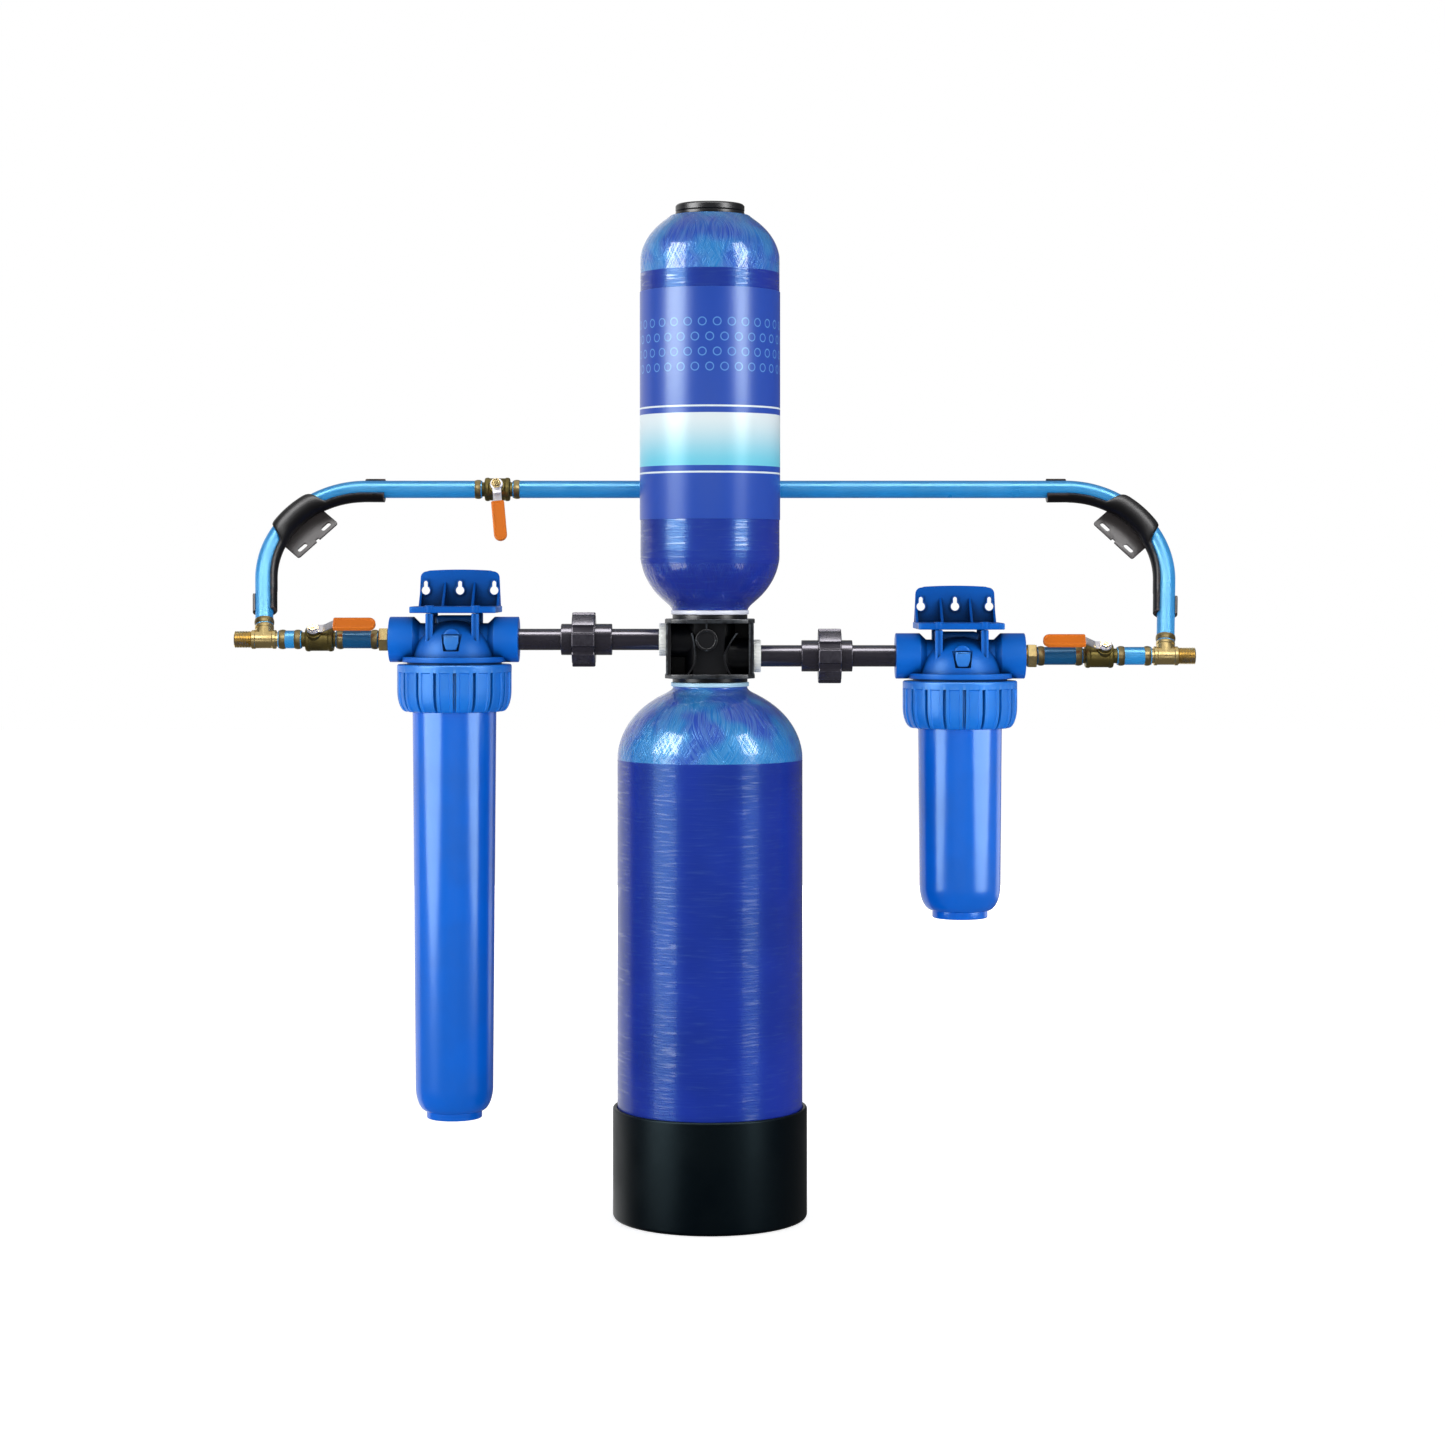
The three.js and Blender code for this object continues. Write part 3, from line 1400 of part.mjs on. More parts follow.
const filter = new THREE.Group();
addTanks(filter);
addHousing(filter, 'pre', inletRun);
addHousing(filter, 'post', outletRun);
addUnion(filter, 'inlet', inletRun);
addUnion(filter, 'outlet', outletRun);
addLine(filter, 'inlet', inletRun);
addLine(filter, 'outlet', outletRun);
addValve(
  filter, 'bypass', bypassValveX, bypassY, bypassZ, bypassTilt, 90 - bypassLeverLean,
  makeValveBody(bypassValveReach, bypassValveReach, valveInnerShoulder, valveInnerShoulder),
);

export default filter;
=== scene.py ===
"""Looks of a whole house water filter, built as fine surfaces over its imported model.

Metres, +Z up, and the front faces -Y. Heights inside a filter housing are measured from its port axis.
Solids that are joined, and the tools that cut them, overlap by LAP.
"""

import json
import logging
import math
from abc import ABC, abstractmethod
from dataclasses import dataclass
from enum import Enum
from typing import Iterable, Sequence

import bmesh
import bpy
import numpy as np
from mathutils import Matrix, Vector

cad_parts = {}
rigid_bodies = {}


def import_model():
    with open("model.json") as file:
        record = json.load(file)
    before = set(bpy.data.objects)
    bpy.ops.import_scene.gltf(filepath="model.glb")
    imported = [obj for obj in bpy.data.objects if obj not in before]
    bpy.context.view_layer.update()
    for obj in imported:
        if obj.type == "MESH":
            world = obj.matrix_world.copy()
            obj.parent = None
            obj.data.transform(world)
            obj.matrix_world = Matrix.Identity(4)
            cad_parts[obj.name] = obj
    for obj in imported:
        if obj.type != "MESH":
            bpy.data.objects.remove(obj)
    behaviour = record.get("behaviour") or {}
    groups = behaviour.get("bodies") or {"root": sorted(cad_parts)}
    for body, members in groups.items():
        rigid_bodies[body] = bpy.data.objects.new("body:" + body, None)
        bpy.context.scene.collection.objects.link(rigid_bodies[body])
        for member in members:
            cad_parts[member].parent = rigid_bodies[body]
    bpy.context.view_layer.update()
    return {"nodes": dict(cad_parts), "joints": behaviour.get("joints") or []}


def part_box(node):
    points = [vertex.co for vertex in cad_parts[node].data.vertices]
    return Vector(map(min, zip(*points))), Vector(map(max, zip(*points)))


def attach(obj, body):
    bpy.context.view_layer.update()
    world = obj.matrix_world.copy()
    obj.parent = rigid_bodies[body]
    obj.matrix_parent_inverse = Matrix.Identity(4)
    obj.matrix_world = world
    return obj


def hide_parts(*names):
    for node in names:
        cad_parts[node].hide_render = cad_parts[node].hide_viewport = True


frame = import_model()

LOG = logging.getLogger("water_filter")
MM = 0.001
DEGREE = math.pi / 180
WELD = 1e-6
LAP = 1 * MM
RGB = tuple[float, float, float]
Socket = bpy.types.NodeSocket
Sockets = bpy.types.bpy_prop_collection


class Slot(Enum):
    """The record's material slots."""

    BOOT = "boot"
    TANK = "tank"
    MEDIA = "media"
    BLACK = "black"
    GASKET = "gasket"
    LABEL = "label"
    PVC = "pvc"
    UNION = "union"
    COLLAR = "collar"
    HEAD = "head"
    RING_NUT = "ring_nut"
    SUMP = "sump"
    SEAL = "seal"
    CARTRIDGE = "cartridge"
    PEX = "pex"
    BRASS = "brass"
    STEEL = "steel"
    VINYL = "vinyl"
    SUPPORT = "support"


class Merge(Enum):
    """How one solid is merged with others."""

    JOIN = "UNION"
    CUT = "DIFFERENCE"


# Places


def place(origin: Sequence[float] = (0, 0, 0), turns: Iterable[tuple[str, float]] = ()) -> np.ndarray:
    """Makes a 4 by 4 matrix that turns a shape about the named axes in order, then moves it.

    Args:
        origin: where the shape's own origin goes, in metres.
        turns: pairs of an axis name and an angle in degrees.

    Returns:
        The matrix.
    """
    whole = np.eye(4)
    for axis, angle in turns:
        c, s = math.cos(angle * DEGREE), math.sin(angle * DEGREE)
        i, j = {"x": (1, 2), "y": (2, 0), "z": (0, 1)}[axis]
        turn = np.eye(4)
        turn[i, i], turn[i, j], turn[j, i], turn[j, j] = c, -s, s, c
        whole = turn @ whole
    whole[:3, 3] = origin
    return whole


def axes(x: np.ndarray, y: np.ndarray, z: np.ndarray, origin: Sequence[float] = (0, 0, 0)) -> np.ndarray:
    """Returns the 4 by 4 matrix that takes a shape's axes to three ways, and its origin to a place."""
    return np.vstack([np.column_stack([x, y, z, origin]), [0, 0, 0, 1.0]])


def outwards(side: int, origin: Sequence[float] = (0, 0, 0)) -> np.ndarray:
    """Lays a shape that points along +Z along the X axis, to the right for 1 and to the left for -1."""
    return place(origin, [("y", 90 * side)])


def to_front(origin: Sequence[float]) -> np.ndarray:
    """Lays a shape that points along +Z so that it points to the front, with its +Y up."""
    return place(origin, [("x", 90)])


# Outlines and profiles, as arrays of points in a plane


def arc(centre: Sequence[float], radius: float, start: float, stop: float, steps: int) -> np.ndarray:
    """Points of an arc: the centre plus the radius times the cosine and sine of evenly spaced angles.

    Args:
        centre: the arc's centre.
        radius: its radius.
        start: its first angle in degrees.
        stop: its last angle in degrees.
        steps: how many pieces it has.

    Returns:
        An array of steps + 1 points.
    """
    angles = np.linspace(start, stop, steps + 1) * DEGREE
    return np.column_stack([centre[0] + radius * np.cos(angles), centre[1] + radius * np.sin(angles)])


def ellipse_arc(belt: float, height: float, rise: float, neck: float, steps: int = 24) -> np.ndarray:
    """Profile of a dome: a quarter ellipse from the belt, cut where its radius is the neck's.

    Args:
        belt: radius at the belt.
        height: the belt's height.
        rise: how far the whole ellipse would rise, negative to go down.
        neck: radius where it ends.
        steps: how many pieces it has.

    Returns:
        Points of radius and height, from the belt to the neck.
    """
    angles = np.linspace(0, math.acos(neck / belt), steps + 1)
    return np.column_stack([belt * np.cos(angles), height + rise * np.sin(angles)])


def softened(points: Sequence[Sequence[float]], closed: bool = False, steps: int = 4) -> np.ndarray:
    """Rounds the corners of a line of points.

    A corner with a third number is replaced by an arc of that radius, which touches both edges. Its centre
    lies on the corner's bisector, at the radius over the sine of half the angle. A plain corner stays.

    Args:
        points: corners, each two numbers and, where it is rounded, a radius.
        closed: whether the last corner joins the first.
        steps: pieces in each rounded corner.

    Returns:
        The points of the rounded line.
    """
    count = len(points)
    corners = np.array([corner[:2] for corner in points], float)
    pieces = []
    for i, corner in enumerate(points):
        radius = corner[2] if len(corner) > 2 else 0
        if radius == 0 or (not closed and i in (0, count - 1)):
            pieces.append(corners[i][None])
            continue
        back, ahead = corners[i - 1] - corners[i], corners[(i + 1) % count] - corners[i]
        reach = min(np.linalg.norm(back), np.linalg.norm(ahead))
        back, ahead = back / np.linalg.norm(back), ahead / np.linalg.norm(ahead)
        half = math.acos(np.clip(back @ ahead, -1, 1)) / 2
        radius = min(radius, reach * math.tan(half) / 2)
        bisector = (back + ahead) / np.linalg.norm(back + ahead)
        centre = corners[i] + bisector * radius / math.sin(half)
        first = corners[i] + back * radius / math.tan(half) - centre
        last = corners[i] + ahead * radius / math.tan(half) - centre
        start = math.atan2(first[1], first[0])
        sweep = math.atan2(first[0] * last[1] - first[1] * last[0], first @ last)
        pieces.append(arc(centre, radius, start / DEGREE, (start + sweep) / DEGREE, steps))
    return np.vstack(pieces)


def box_outline(width: float, height: float, corner: float, centre: Sequence[float] = (0, 0)) -> np.ndarray:
    """Outline of a rectangle with round corners about a centre.

    Args:
        width: its width.
        height: its height.
        corner: radius of its corners.
        centre: its centre.

    Returns:
        The outline, anticlockwise.
    """
    x, y = width / 2, height / 2
    corners = [(x, -y, corner), (x, y, corner), (-x, y, corner), (-x, -y, corner)]
    return softened(corners, closed=True) + np.array(centre)


def slot_outline(length: float, width: float, centre: Sequence[float] = (0, 0)) -> np.ndarray:
    """Outline of a slot with round ends along its first axis.

    Args:
        length: its whole length.
        width: its width.
        centre: its centre.

    Returns:
        The outline, anticlockwise.
    """
    reach, radius = (length - width) / 2, width / 2
    ends = [arc((x, 0), radius, start, start + 180, 10) for x, start in ((reach, -90), (-reach, 90))]
    return np.vstack(ends) + np.array(centre)


def inset(outline: np.ndarray, distance: float) -> np.ndarray:
    """Draws an outline in by a distance.

    Each corner moves along the sum of the two edge normals beside it, over one plus their product. So both
    edges stay parallel to what they were.

    Args:
        outline: corners, anticlockwise.
        distance: how far every edge moves inwards.

    Returns:
        The corners of the smaller outline.
    """
    ahead = np.roll(outline, -1, axis=0) - outline
    ahead /= np.linalg.norm(ahead, axis=1, keepdims=True)
    normal = np.column_stack([-ahead[:, 1], ahead[:, 0]])
    before = np.roll(normal, 1, axis=0)
    share = 1 + np.sum(normal * before, axis=1, keepdims=True)
    return outline + (normal + before) * distance / share


# Surfaces


@dataclass
class Skin:
    """A closed surface: points in metres, and faces as tuples of point numbers."""

    points: np.ndarray
    faces: list[tuple[int, ...]]

    def moved(self, matrix: np.ndarray) -> "Skin":
        """Returns the surface turned and moved by a 4 by 4 matrix."""
        return Skin(self.points @ matrix[:3, :3].T + matrix[:3, 3], self.faces)

    def mesh(self, name: str) -> bpy.types.Mesh:
        """Makes a mesh of the surface, with its doubles merged and its faces pointing outwards.

        Args:
            name: the mesh's name.

        Returns:
            The mesh.
        """
        mesh = bpy.data.meshes.new(name)
        mesh.from_pydata(self.points.tolist(), [], self.faces)
        work = bmesh.new()
        work.from_mesh(mesh)
        bmesh.ops.remove_doubles(work, verts=work.verts, dist=WELD)
        bmesh.ops.recalc_face_normals(work, faces=work.faces)
        work.to_mesh(mesh)
        work.free()
        return mesh


def gathered(skins: Sequence[Skin]) -> Skin:
    """Puts separate surfaces into one, without merging them.

    Args:
        skins: the surfaces.

    Returns:
        One surface.
    """
    starts = np.cumsum([0] + [len(skin.points) for skin in skins])
    faces = [tuple(i + start for i in face) for skin, start in zip(skins, starts) for face in skin.faces]
    return Skin(np.vstack([skin.points for skin in skins]), faces)


def ringed(rings: np.ndarray, closed: bool = False, capped: bool = False) -> Skin:
    """Covers a grid of points with faces: each face joins neighbours on two rings.

    Args:
        rings: an array of ring, point on the ring, and coordinate.
        closed: whether the last ring joins the first.
        capped: whether the first and last rings are closed by a flat face.

    Returns:
        The surface.
    """
    count, around = rings.shape[:2]
    number = np.arange(count * around).reshape(count, around)
    first = number if closed else number[:-1]
    second = np.roll(number, -1, axis=0) if closed else number[1:]
    quads = np.stack([first, np.roll(first, -1, axis=1), np.roll(second, -1, axis=1), second], axis=-1)
    faces = [tuple(quad) for quad in quads.reshape(-1, 4).tolist()]
    if capped:
        faces += [tuple(number[0][::-1].tolist()), tuple(number[-1].tolist())]
    return Skin(rings.reshape(-1, 3), faces)


def swept(radii: np.ndarray, heights: np.ndarray, angles: np.ndarray) -> Skin:
    """Returns a closed surface about Z, whose x and y are the radius times the angle's cosine and sine."""
    grid = np.broadcast_arrays(radii * np.cos(angles), radii * np.sin(angles), heights)
    return ringed(np.stack(grid, axis=-1), closed=True)


def turned(profile: np.ndarray, sides: int = 64, closed: bool = False, phase: float = 0) -> Skin:
    """Turns a profile of radius and height about Z: x and y are the radius times cosine and sine.

    Args:
        profile: points of radius and height, from axis to axis unless it is closed.
        sides: how many sides the surface has.
        closed: whether the profile's end joins its start, as on a ring.
        phase: angle of the first side in degrees.

    Returns:
        The surface.
    """
    angles = phase * DEGREE + np.arange(sides) * 2 * math.pi / sides
    radius, height = profile[:, 0, None], profile[:, 1, None]
    rings = np.stack([radius * np.cos(angles), radius * np.sin(angles), height + 0 * angles], axis=-1)
    return ringed(rings, closed=closed)


def rod(radius: float, low: float, high: float, sides: int = 48, edge: float = 0, phase: float = 0) -> Skin:
    """A rod along Z with rounded edges."""
    profile = softened([(0, low), (radius, low, edge), (radius, high, edge), (0, high)])
    return turned(profile, sides, phase=phase)


def tube(inner: float, outer: float, low: float, high: float, sides: int = 48, edge: float = 0) -> Skin:
    """A ring along Z with rounded edges."""
    corners = [(inner, low, edge), (outer, low, edge), (outer, high, edge), (inner, high, edge)]
    return turned(softened(corners, closed=True, steps=3), sides, closed=True)


def slab(outline: np.ndarray, low: float, high: float, edge: float = 0, panel: float = 0) -> Skin:
    """A flat piece along Z with rounded edges.

    Its rings are the outline, drawn in near both faces by the edge radius times one minus the cosine of an
    angle, while the height follows the sine. With a panel, the upper face is sunk inside a narrow rim.

    Args:
        outline: the piece's outline, anticlockwise.
        low: height of its lower face.
        high: height of its upper face.
        edge: radius of its rounded edges.
        panel: how deep the upper face is sunk.

    Returns:
        The surface.
    """
    turn = np.linspace(0, math.pi / 2, 4) if edge else np.zeros(1)
    draws = edge * (1 - np.cos(turn))
    lifts = edge * np.sin(turn) if edge else np.zeros(1)
    levels = [(draw, low + edge - lift) for draw, lift in zip(draws[::-1], lifts[::-1])]
    levels += [(draw, high - edge + lift) for draw, lift in zip(draws, lifts)]
    if panel:
        levels += [(2 * edge, high), (2 * edge + panel, high - panel)]
    rings = [np.column_stack([inset(outline, draw), np.full(len(outline), level)]) for draw, level in levels]
    return ringed(np.array(rings), capped=True)


def brick(width: float, depth: float, height: float, centre: Sequence[float], edge: float = 0) -> Skin:
    """A block with rounded upright and level edges, about a centre."""
    flat = box_outline(width, depth, max(edge, 2 * WELD))
    return slab(flat, -height / 2, height / 2, edge).moved(place(centre))


def carried(sections: np.ndarray, origins: np.ndarray, across: np.ndarray, along: np.ndarray,
            closed: bool = False) -> Skin:
    """Carries a section through stations: each point is the origin plus its two numbers times two axes.

    Args:
        sections: one section of points, or one for each station.
        origins: where each station lies.
        across: the axis of a section's first number, one or one for each station.
        along: the axis of its second number, one or one for each station.
        closed: whether the last station joins the first.

    Returns:
        The surface, capped unless it is closed.
    """
    stations = len(origins)
    sections = np.broadcast_to(sections, (stations, *sections.shape[-2:]))
    across, along = (np.broadcast_to(axis, (stations, 3))[:, None] for axis in (across, along))
    rings = origins[:, None] + sections[..., :1] * across + sections[..., 1:] * along
    return ringed(rings, closed=closed, capped=not closed)


def merged(base: Skin, others: Sequence[Skin], how: Merge = Merge.JOIN) -> Skin:
    """Joins solids to a base, or cuts them from it, as exact solids.

    Args:
        base: the solid that is kept.
        others: the solids that are joined to it or cut from it.
        how: whether they are joined or cut.

    Returns:
        The new solid.
    """
    scene = bpy.context.scene.collection
    body = bpy.data.objects.new("base", base.mesh("base"))
    scene.objects.link(body)
    tools = []
    for skin in others:
        tool = bpy.data.objects.new("tool", skin.mesh("tool"))
        scene.objects.link(tool)
        modifier = body.modifiers.new("merge", "BOOLEAN")
        modifier.operation = how.value
        modifier.solver = "MANIFOLD"
        modifier.object = tool
        tools.append(tool)
    graph = bpy.context.evaluated_depsgraph_get()
    result = bpy.data.meshes.new_from_object(body.evaluated_get(graph))
    points = np.empty(len(result.vertices) * 3)
    result.vertices.foreach_get("co", points)
    faces = [tuple(polygon.vertices) for polygon in result.polygons]
    for made in (body, *tools):
        bpy.data.objects.remove(made)
    bpy.data.meshes.remove(result)
    return Skin(points.reshape(-1, 3), faces)


# Shader nodes


class Bench:
    """Places and links the nodes of one tree."""

    def __init__(self, tree: bpy.types.NodeTree) -> None:
        """Works on the given tree."""
        self.tree = tree

    def feed(self, socket: Socket, value: object) -> None:
        """Links a socket to another, or sets its constant.

        Args:
            socket: the socket that is fed.
            value: a socket, a number, a colour or a vector; None leaves it alone.
        """
        if isinstance(value, Socket):
            self.tree.links.new(value, socket)
        elif value is not None:
            socket.default_value = (*value[:3], 1) if socket.type == "RGBA" else value

    def node(self, kind: str, *values: object, **settings: object) -> bpy.types.Node:
        """Adds a node.

        Args:
            kind: its kind.
            *values: what its first inputs take.
            **settings: its settings.

        Returns:
            The node.
        """
        made = self.tree.nodes.new(kind)
        for key, value in settings.items():
            setattr(made, key, value)
        for socket, value in zip(made.inputs, values):
            self.feed(socket, value)
        return made

    def fill(self, made: bpy.types.Node, **values: object) -> Sockets:
        """Feeds a node's inputs by their names.

        Args:
            made: the node.
            **values: what its inputs take, with an underscore for a space.

        Returns:
            The node's outputs.
        """
        for key, value in values.items():
            self.feed(made.inputs[key.replace("_", " ").title().replace("Ior", "IOR")], value)
        return made.outputs

    def math(self, operation: str, *values: object, clamp: bool = False) -> Socket:
        """Returns the result of an operation on numbers or sockets."""
        return self.node("ShaderNodeMath", *values, operation=operation, use_clamp=clamp).outputs[0]

    def times(self, first: object, second: object) -> Socket:
        """Returns a product."""
        return self.math("MULTIPLY", first, second)

    def scaled(self, vector: Socket, factors: Sequence[float]) -> Socket:
        """Returns a vector times three factors."""
        return self.node("ShaderNodeVectorMath", vector, factors, operation="MULTIPLY").outputs[0]

    def noise(self, vector: Socket, scale: object, detail: float = 2) -> Socket:
        """Returns smooth noise around a half, at so many lumps a metre."""
        return self.node("ShaderNodeTexNoise", vector, None, scale, detail).outputs["Fac"]

    def ramp(self, value: object, low: object, high: object, start: object = 0.0, stop: object = 1.0,
             kind: str = "SMOOTHSTEP") -> Socket:
        """Returns a value that goes from start to stop while the given one goes from low to high."""
        ends = (low, high, start, stop)
        return self.node("ShaderNodeMapRange", value, *ends, interpolation_type=kind).outputs[0]

    def blend(self, share: Socket, first: object, second: object) -> Socket:
        """Returns a number between two, by a share."""
        return self.ramp(share, 0.0, 1.0, first, second, "LINEAR")

    def mix(self, share: object, first: object, second: object) -> Socket:
        """Returns a colour between two, by a share."""
        return self.node("ShaderNodeMix", share, *[None] * 5, first, second, data_type="RGBA").outputs[2]

    def parts(self, vector: Socket) -> tuple[Socket, ...]:
        """Returns the three numbers of a vector."""
        return tuple(self.node("ShaderNodeSeparateXYZ", vector).outputs)

    def vector(self, *numbers: object) -> Socket:
        """Returns a vector of three numbers."""
        return self.node("ShaderNodeCombineXYZ", *numbers).outputs[0]

    def here(self) -> Socket:
        """Returns the object coordinates."""
        return self.node("ShaderNodeTexCoord").outputs["Object"]

    def bump(self, height: Socket, distance: float, strength: float = 1) -> Socket:
        """Returns the normal of a surface with the given height."""
        made = self.node("ShaderNodeBump")
        return self.fill(made, height=height, distance=distance, strength=strength)["Normal"]


class Effect(ABC):
    """A shader node group, built once and placed in each material with its own values."""

    title: str
    inputs: dict[str, float]
    outputs: tuple[str, ...]

    def tree(self) -> bpy.types.NodeTree:
        """Builds the group's tree, once.

        Returns:
            The tree.
        """
        found = bpy.data.node_groups.get(self.title)
        if found:
            return found
        tree = bpy.data.node_groups.new(self.title, "ShaderNodeTree")
        tree.interface.new_socket("Place", in_out="INPUT", socket_type="NodeSocketVector")
        for name, value in self.inputs.items():
            socket = tree.interface.new_socket(name, in_out="INPUT", socket_type="NodeSocketFloat")
            socket.default_value = value
        for name in self.outputs:
            tree.interface.new_socket(name, in_out="OUTPUT", socket_type="NodeSocketFloat")
        bench = Bench(tree)
        bench.node("NodeGroupOutput", *self.wire(bench, bench.node("NodeGroupInput").outputs))
        return tree

    def put(self, bench: Bench, **values: object) -> Sockets:
        """Places the group in a tree and returns its outputs; the values go to its inputs."""
        return bench.fill(bench.node("ShaderNodeGroup", node_tree=self.tree()), place=bench.here(), **values)

    @abstractmethod
    def wire(self, bench: Bench, given: Sockets) -> Sequence[Socket]:
        """Builds the group's inside and returns what its outputs take."""


class MouldGrain(Effect):
    """Fine grain of a moulded or cast surface, with wide faint patches."""

    title = "mould_grain"
    inputs = {"Grain": 900.0, "Patch": 14.0}
    outputs = ("Height", "Patches")

    def wire(self, bench: Bench, given: Sockets) -> Sequence[Socket]:
        """Height is fine noise plus a little coarser noise; the patches are wide noise.

        Args:
            bench: the group's bench.
            given: its inputs.

        Returns:
            The height and the patches.
        """
        place, grain = given["Place"], given["Grain"]
        coarse = bench.noise(place, bench.times(grain, 0.18), 2)
        height = bench.math("ADD", bench.noise(place, grain, 3), coarse)
        return height, bench.ramp(bench.noise(place, given["Patch"], 2), 0.3, 0.7)


class FilamentWinding(Effect):
    """Wound fibre under resin: level hoops on the belt, crossing strands on the domes."""

    title = "filament_winding"
    inputs = {"Low Belt": 0.0, "High Belt": 1.0, "Neck": 0.045}
    outputs = ("Height", "Strands", "Crown", "Patch", "Glint")

    def wire(self, bench: Bench, given: Sockets) -> Sequence[Socket]:
        """Strands are noise round the axis, turned as far as a taut fibre winds on its way from the neck.

        On a flat disc that angle is the arc cosine of the neck's radius over the fibre's, and the dome's
        height adds a little more. Wide noise along the same paths picks which crossing layer lies on top.

        Args:
            bench: the group's bench.
            given: its inputs.

        Returns:
            The height, the strands, where the upper dome is, its light patches, and where resin glints.
        """
        edge = 0.0012
        place, neck = given["Place"], given["Neck"]
        x, y, z = bench.parts(place)
        square = bench.math("ADD", bench.times(x, x), bench.times(y, y))
        radius = bench.math("MAXIMUM", bench.math("SQRT", square), neck)
        above = bench.math("SUBTRACT", z, given["High Belt"])
        beyond = bench.math("MAXIMUM", bench.math("SUBTRACT", given["Low Belt"], z), above)
        reach = bench.math("MAXIMUM", beyond, 0.0)
        disc = bench.math("ARCCOSINE", bench.math("DIVIDE", neck, radius))
        wound = bench.math("ADD", disc, bench.times(reach, 6.5))
        place_round = bench.vector(bench.math("DIVIDE", x, radius), bench.math("DIVIDE", y, radius),
                                   bench.times(reach, 0.42))
        strands, bands = [], []
        for way in (1.0, -1.0):
            turn = bench.node("ShaderNodeVectorRotate", rotation_type="Z_AXIS")
            path = bench.fill(turn, vector=place_round, angle=bench.times(wound, way))[0]
            strands.append(bench.ramp(bench.noise(path, 80.0, 1), 0.38, 0.62))
            bands.append(bench.noise(path, 9.0, 1))
        on_top = bench.ramp(bench.math("SUBTRACT", *bands), -0.03, 0.03)
        strand = bench.blend(on_top, *strands)
        hoops = bench.noise(bench.scaled(place, (32, 32, 420)), 1.0, 3)
        lines = bench.noise(bench.scaled(place, (8, 8, 700)), 1.0, 2)
        dome = bench.ramp(beyond, 0.0, edge)
        height = bench.blend(dome, bench.math("ADD", hoops, bench.times(lines, 0.3)), strand)
        crown = bench.ramp(above, 0.0, edge)
        light = bench.blend(crown, bench.ramp(hoops, 0.5, 0.9, 0.0, 0.3), strand)
        patch = bench.times(bench.ramp(bench.noise(place, 17.0, 2), 0.42, 0.6), crown)
        hatch = bench.ramp(bench.math("ADD", *strands), 0.4, 1.3)
        glint = bench.blend(dome, bench.ramp(hoops, 0.5, 0.72, 0.05, 0.9), hatch)
        return height, light, crown, patch, glint


class EdgeWearAndHighlight(Effect):
    """A mask that is 1 along raised edges, broken by noise: wear on metal, painted highlight on moulded
    parts.
    """

    title = "worn_edge"
    inputs = {"Start": 0.53, "Stop": 0.6}
    outputs = ("Mask",)

    def wire(self, bench: Bench, given: Sockets) -> Sequence[Socket]:
        """The mask follows how far the surface bends outwards, times noise.

        Args:
            bench: the group's bench.
            given: its inputs.

        Returns:
            The mask.
        """
        bend = bench.node("ShaderNodeNewGeometry").outputs["Pointiness"]
        edge = bench.ramp(bend, given["Start"], given["Stop"])
        return (bench.times(edge, bench.ramp(bench.noise(given["Place"], 160.0, 3), 0.3, 0.6)),)


GRAIN, WINDING, EDGE = MouldGrain(), FilamentWinding(), EdgeWearAndHighlight()


def srgb(*screen: int) -> RGB:
    """Turns a screen colour into a linear one.

    Args:
        *screen: its red, green and blue, from 0 to 255.

    Returns:
        The linear colour.
    """
    shares = np.array(screen) / 255
    linear = np.where(shares <= 0.04045, shares / 12.92, ((shares + 0.055) / 1.055) ** 2.4)
    return tuple(float(value) for value in linear)


# Finishes


@dataclass(frozen=True)
class Finish(ABC):
    """How a surface looks: a colour, how rough it is, and what its kind adds."""

    title: str
    slot: Slot
    color: RGB
    roughness: float

    def shade(self, share: float) -> RGB:
        """Returns the colour times a share."""
        return tuple(share * part for part in self.color)

    def material(self) -> bpy.types.Material:
        """Builds the finish's material, once.

        Returns:
            The material.
        """
        found = bpy.data.materials.get(self.title)
        if found:
            return found
        material = bpy.data.materials.new(self.title)
        material.use_nodes = True
        material.diffuse_color = (*self.color, 1)
        bench = Bench(material.node_tree)
        surface = material.node_tree.nodes["Principled BSDF"]
        bench.fill(surface, base_color=self.color, roughness=self.roughness)
        bench.fill(surface, **self.paint(bench))
        return material

    @abstractmethod
    def paint(self, bench: Bench) -> dict[str, object]:
        """Adds the kind's own nodes and returns what the shader's inputs take."""


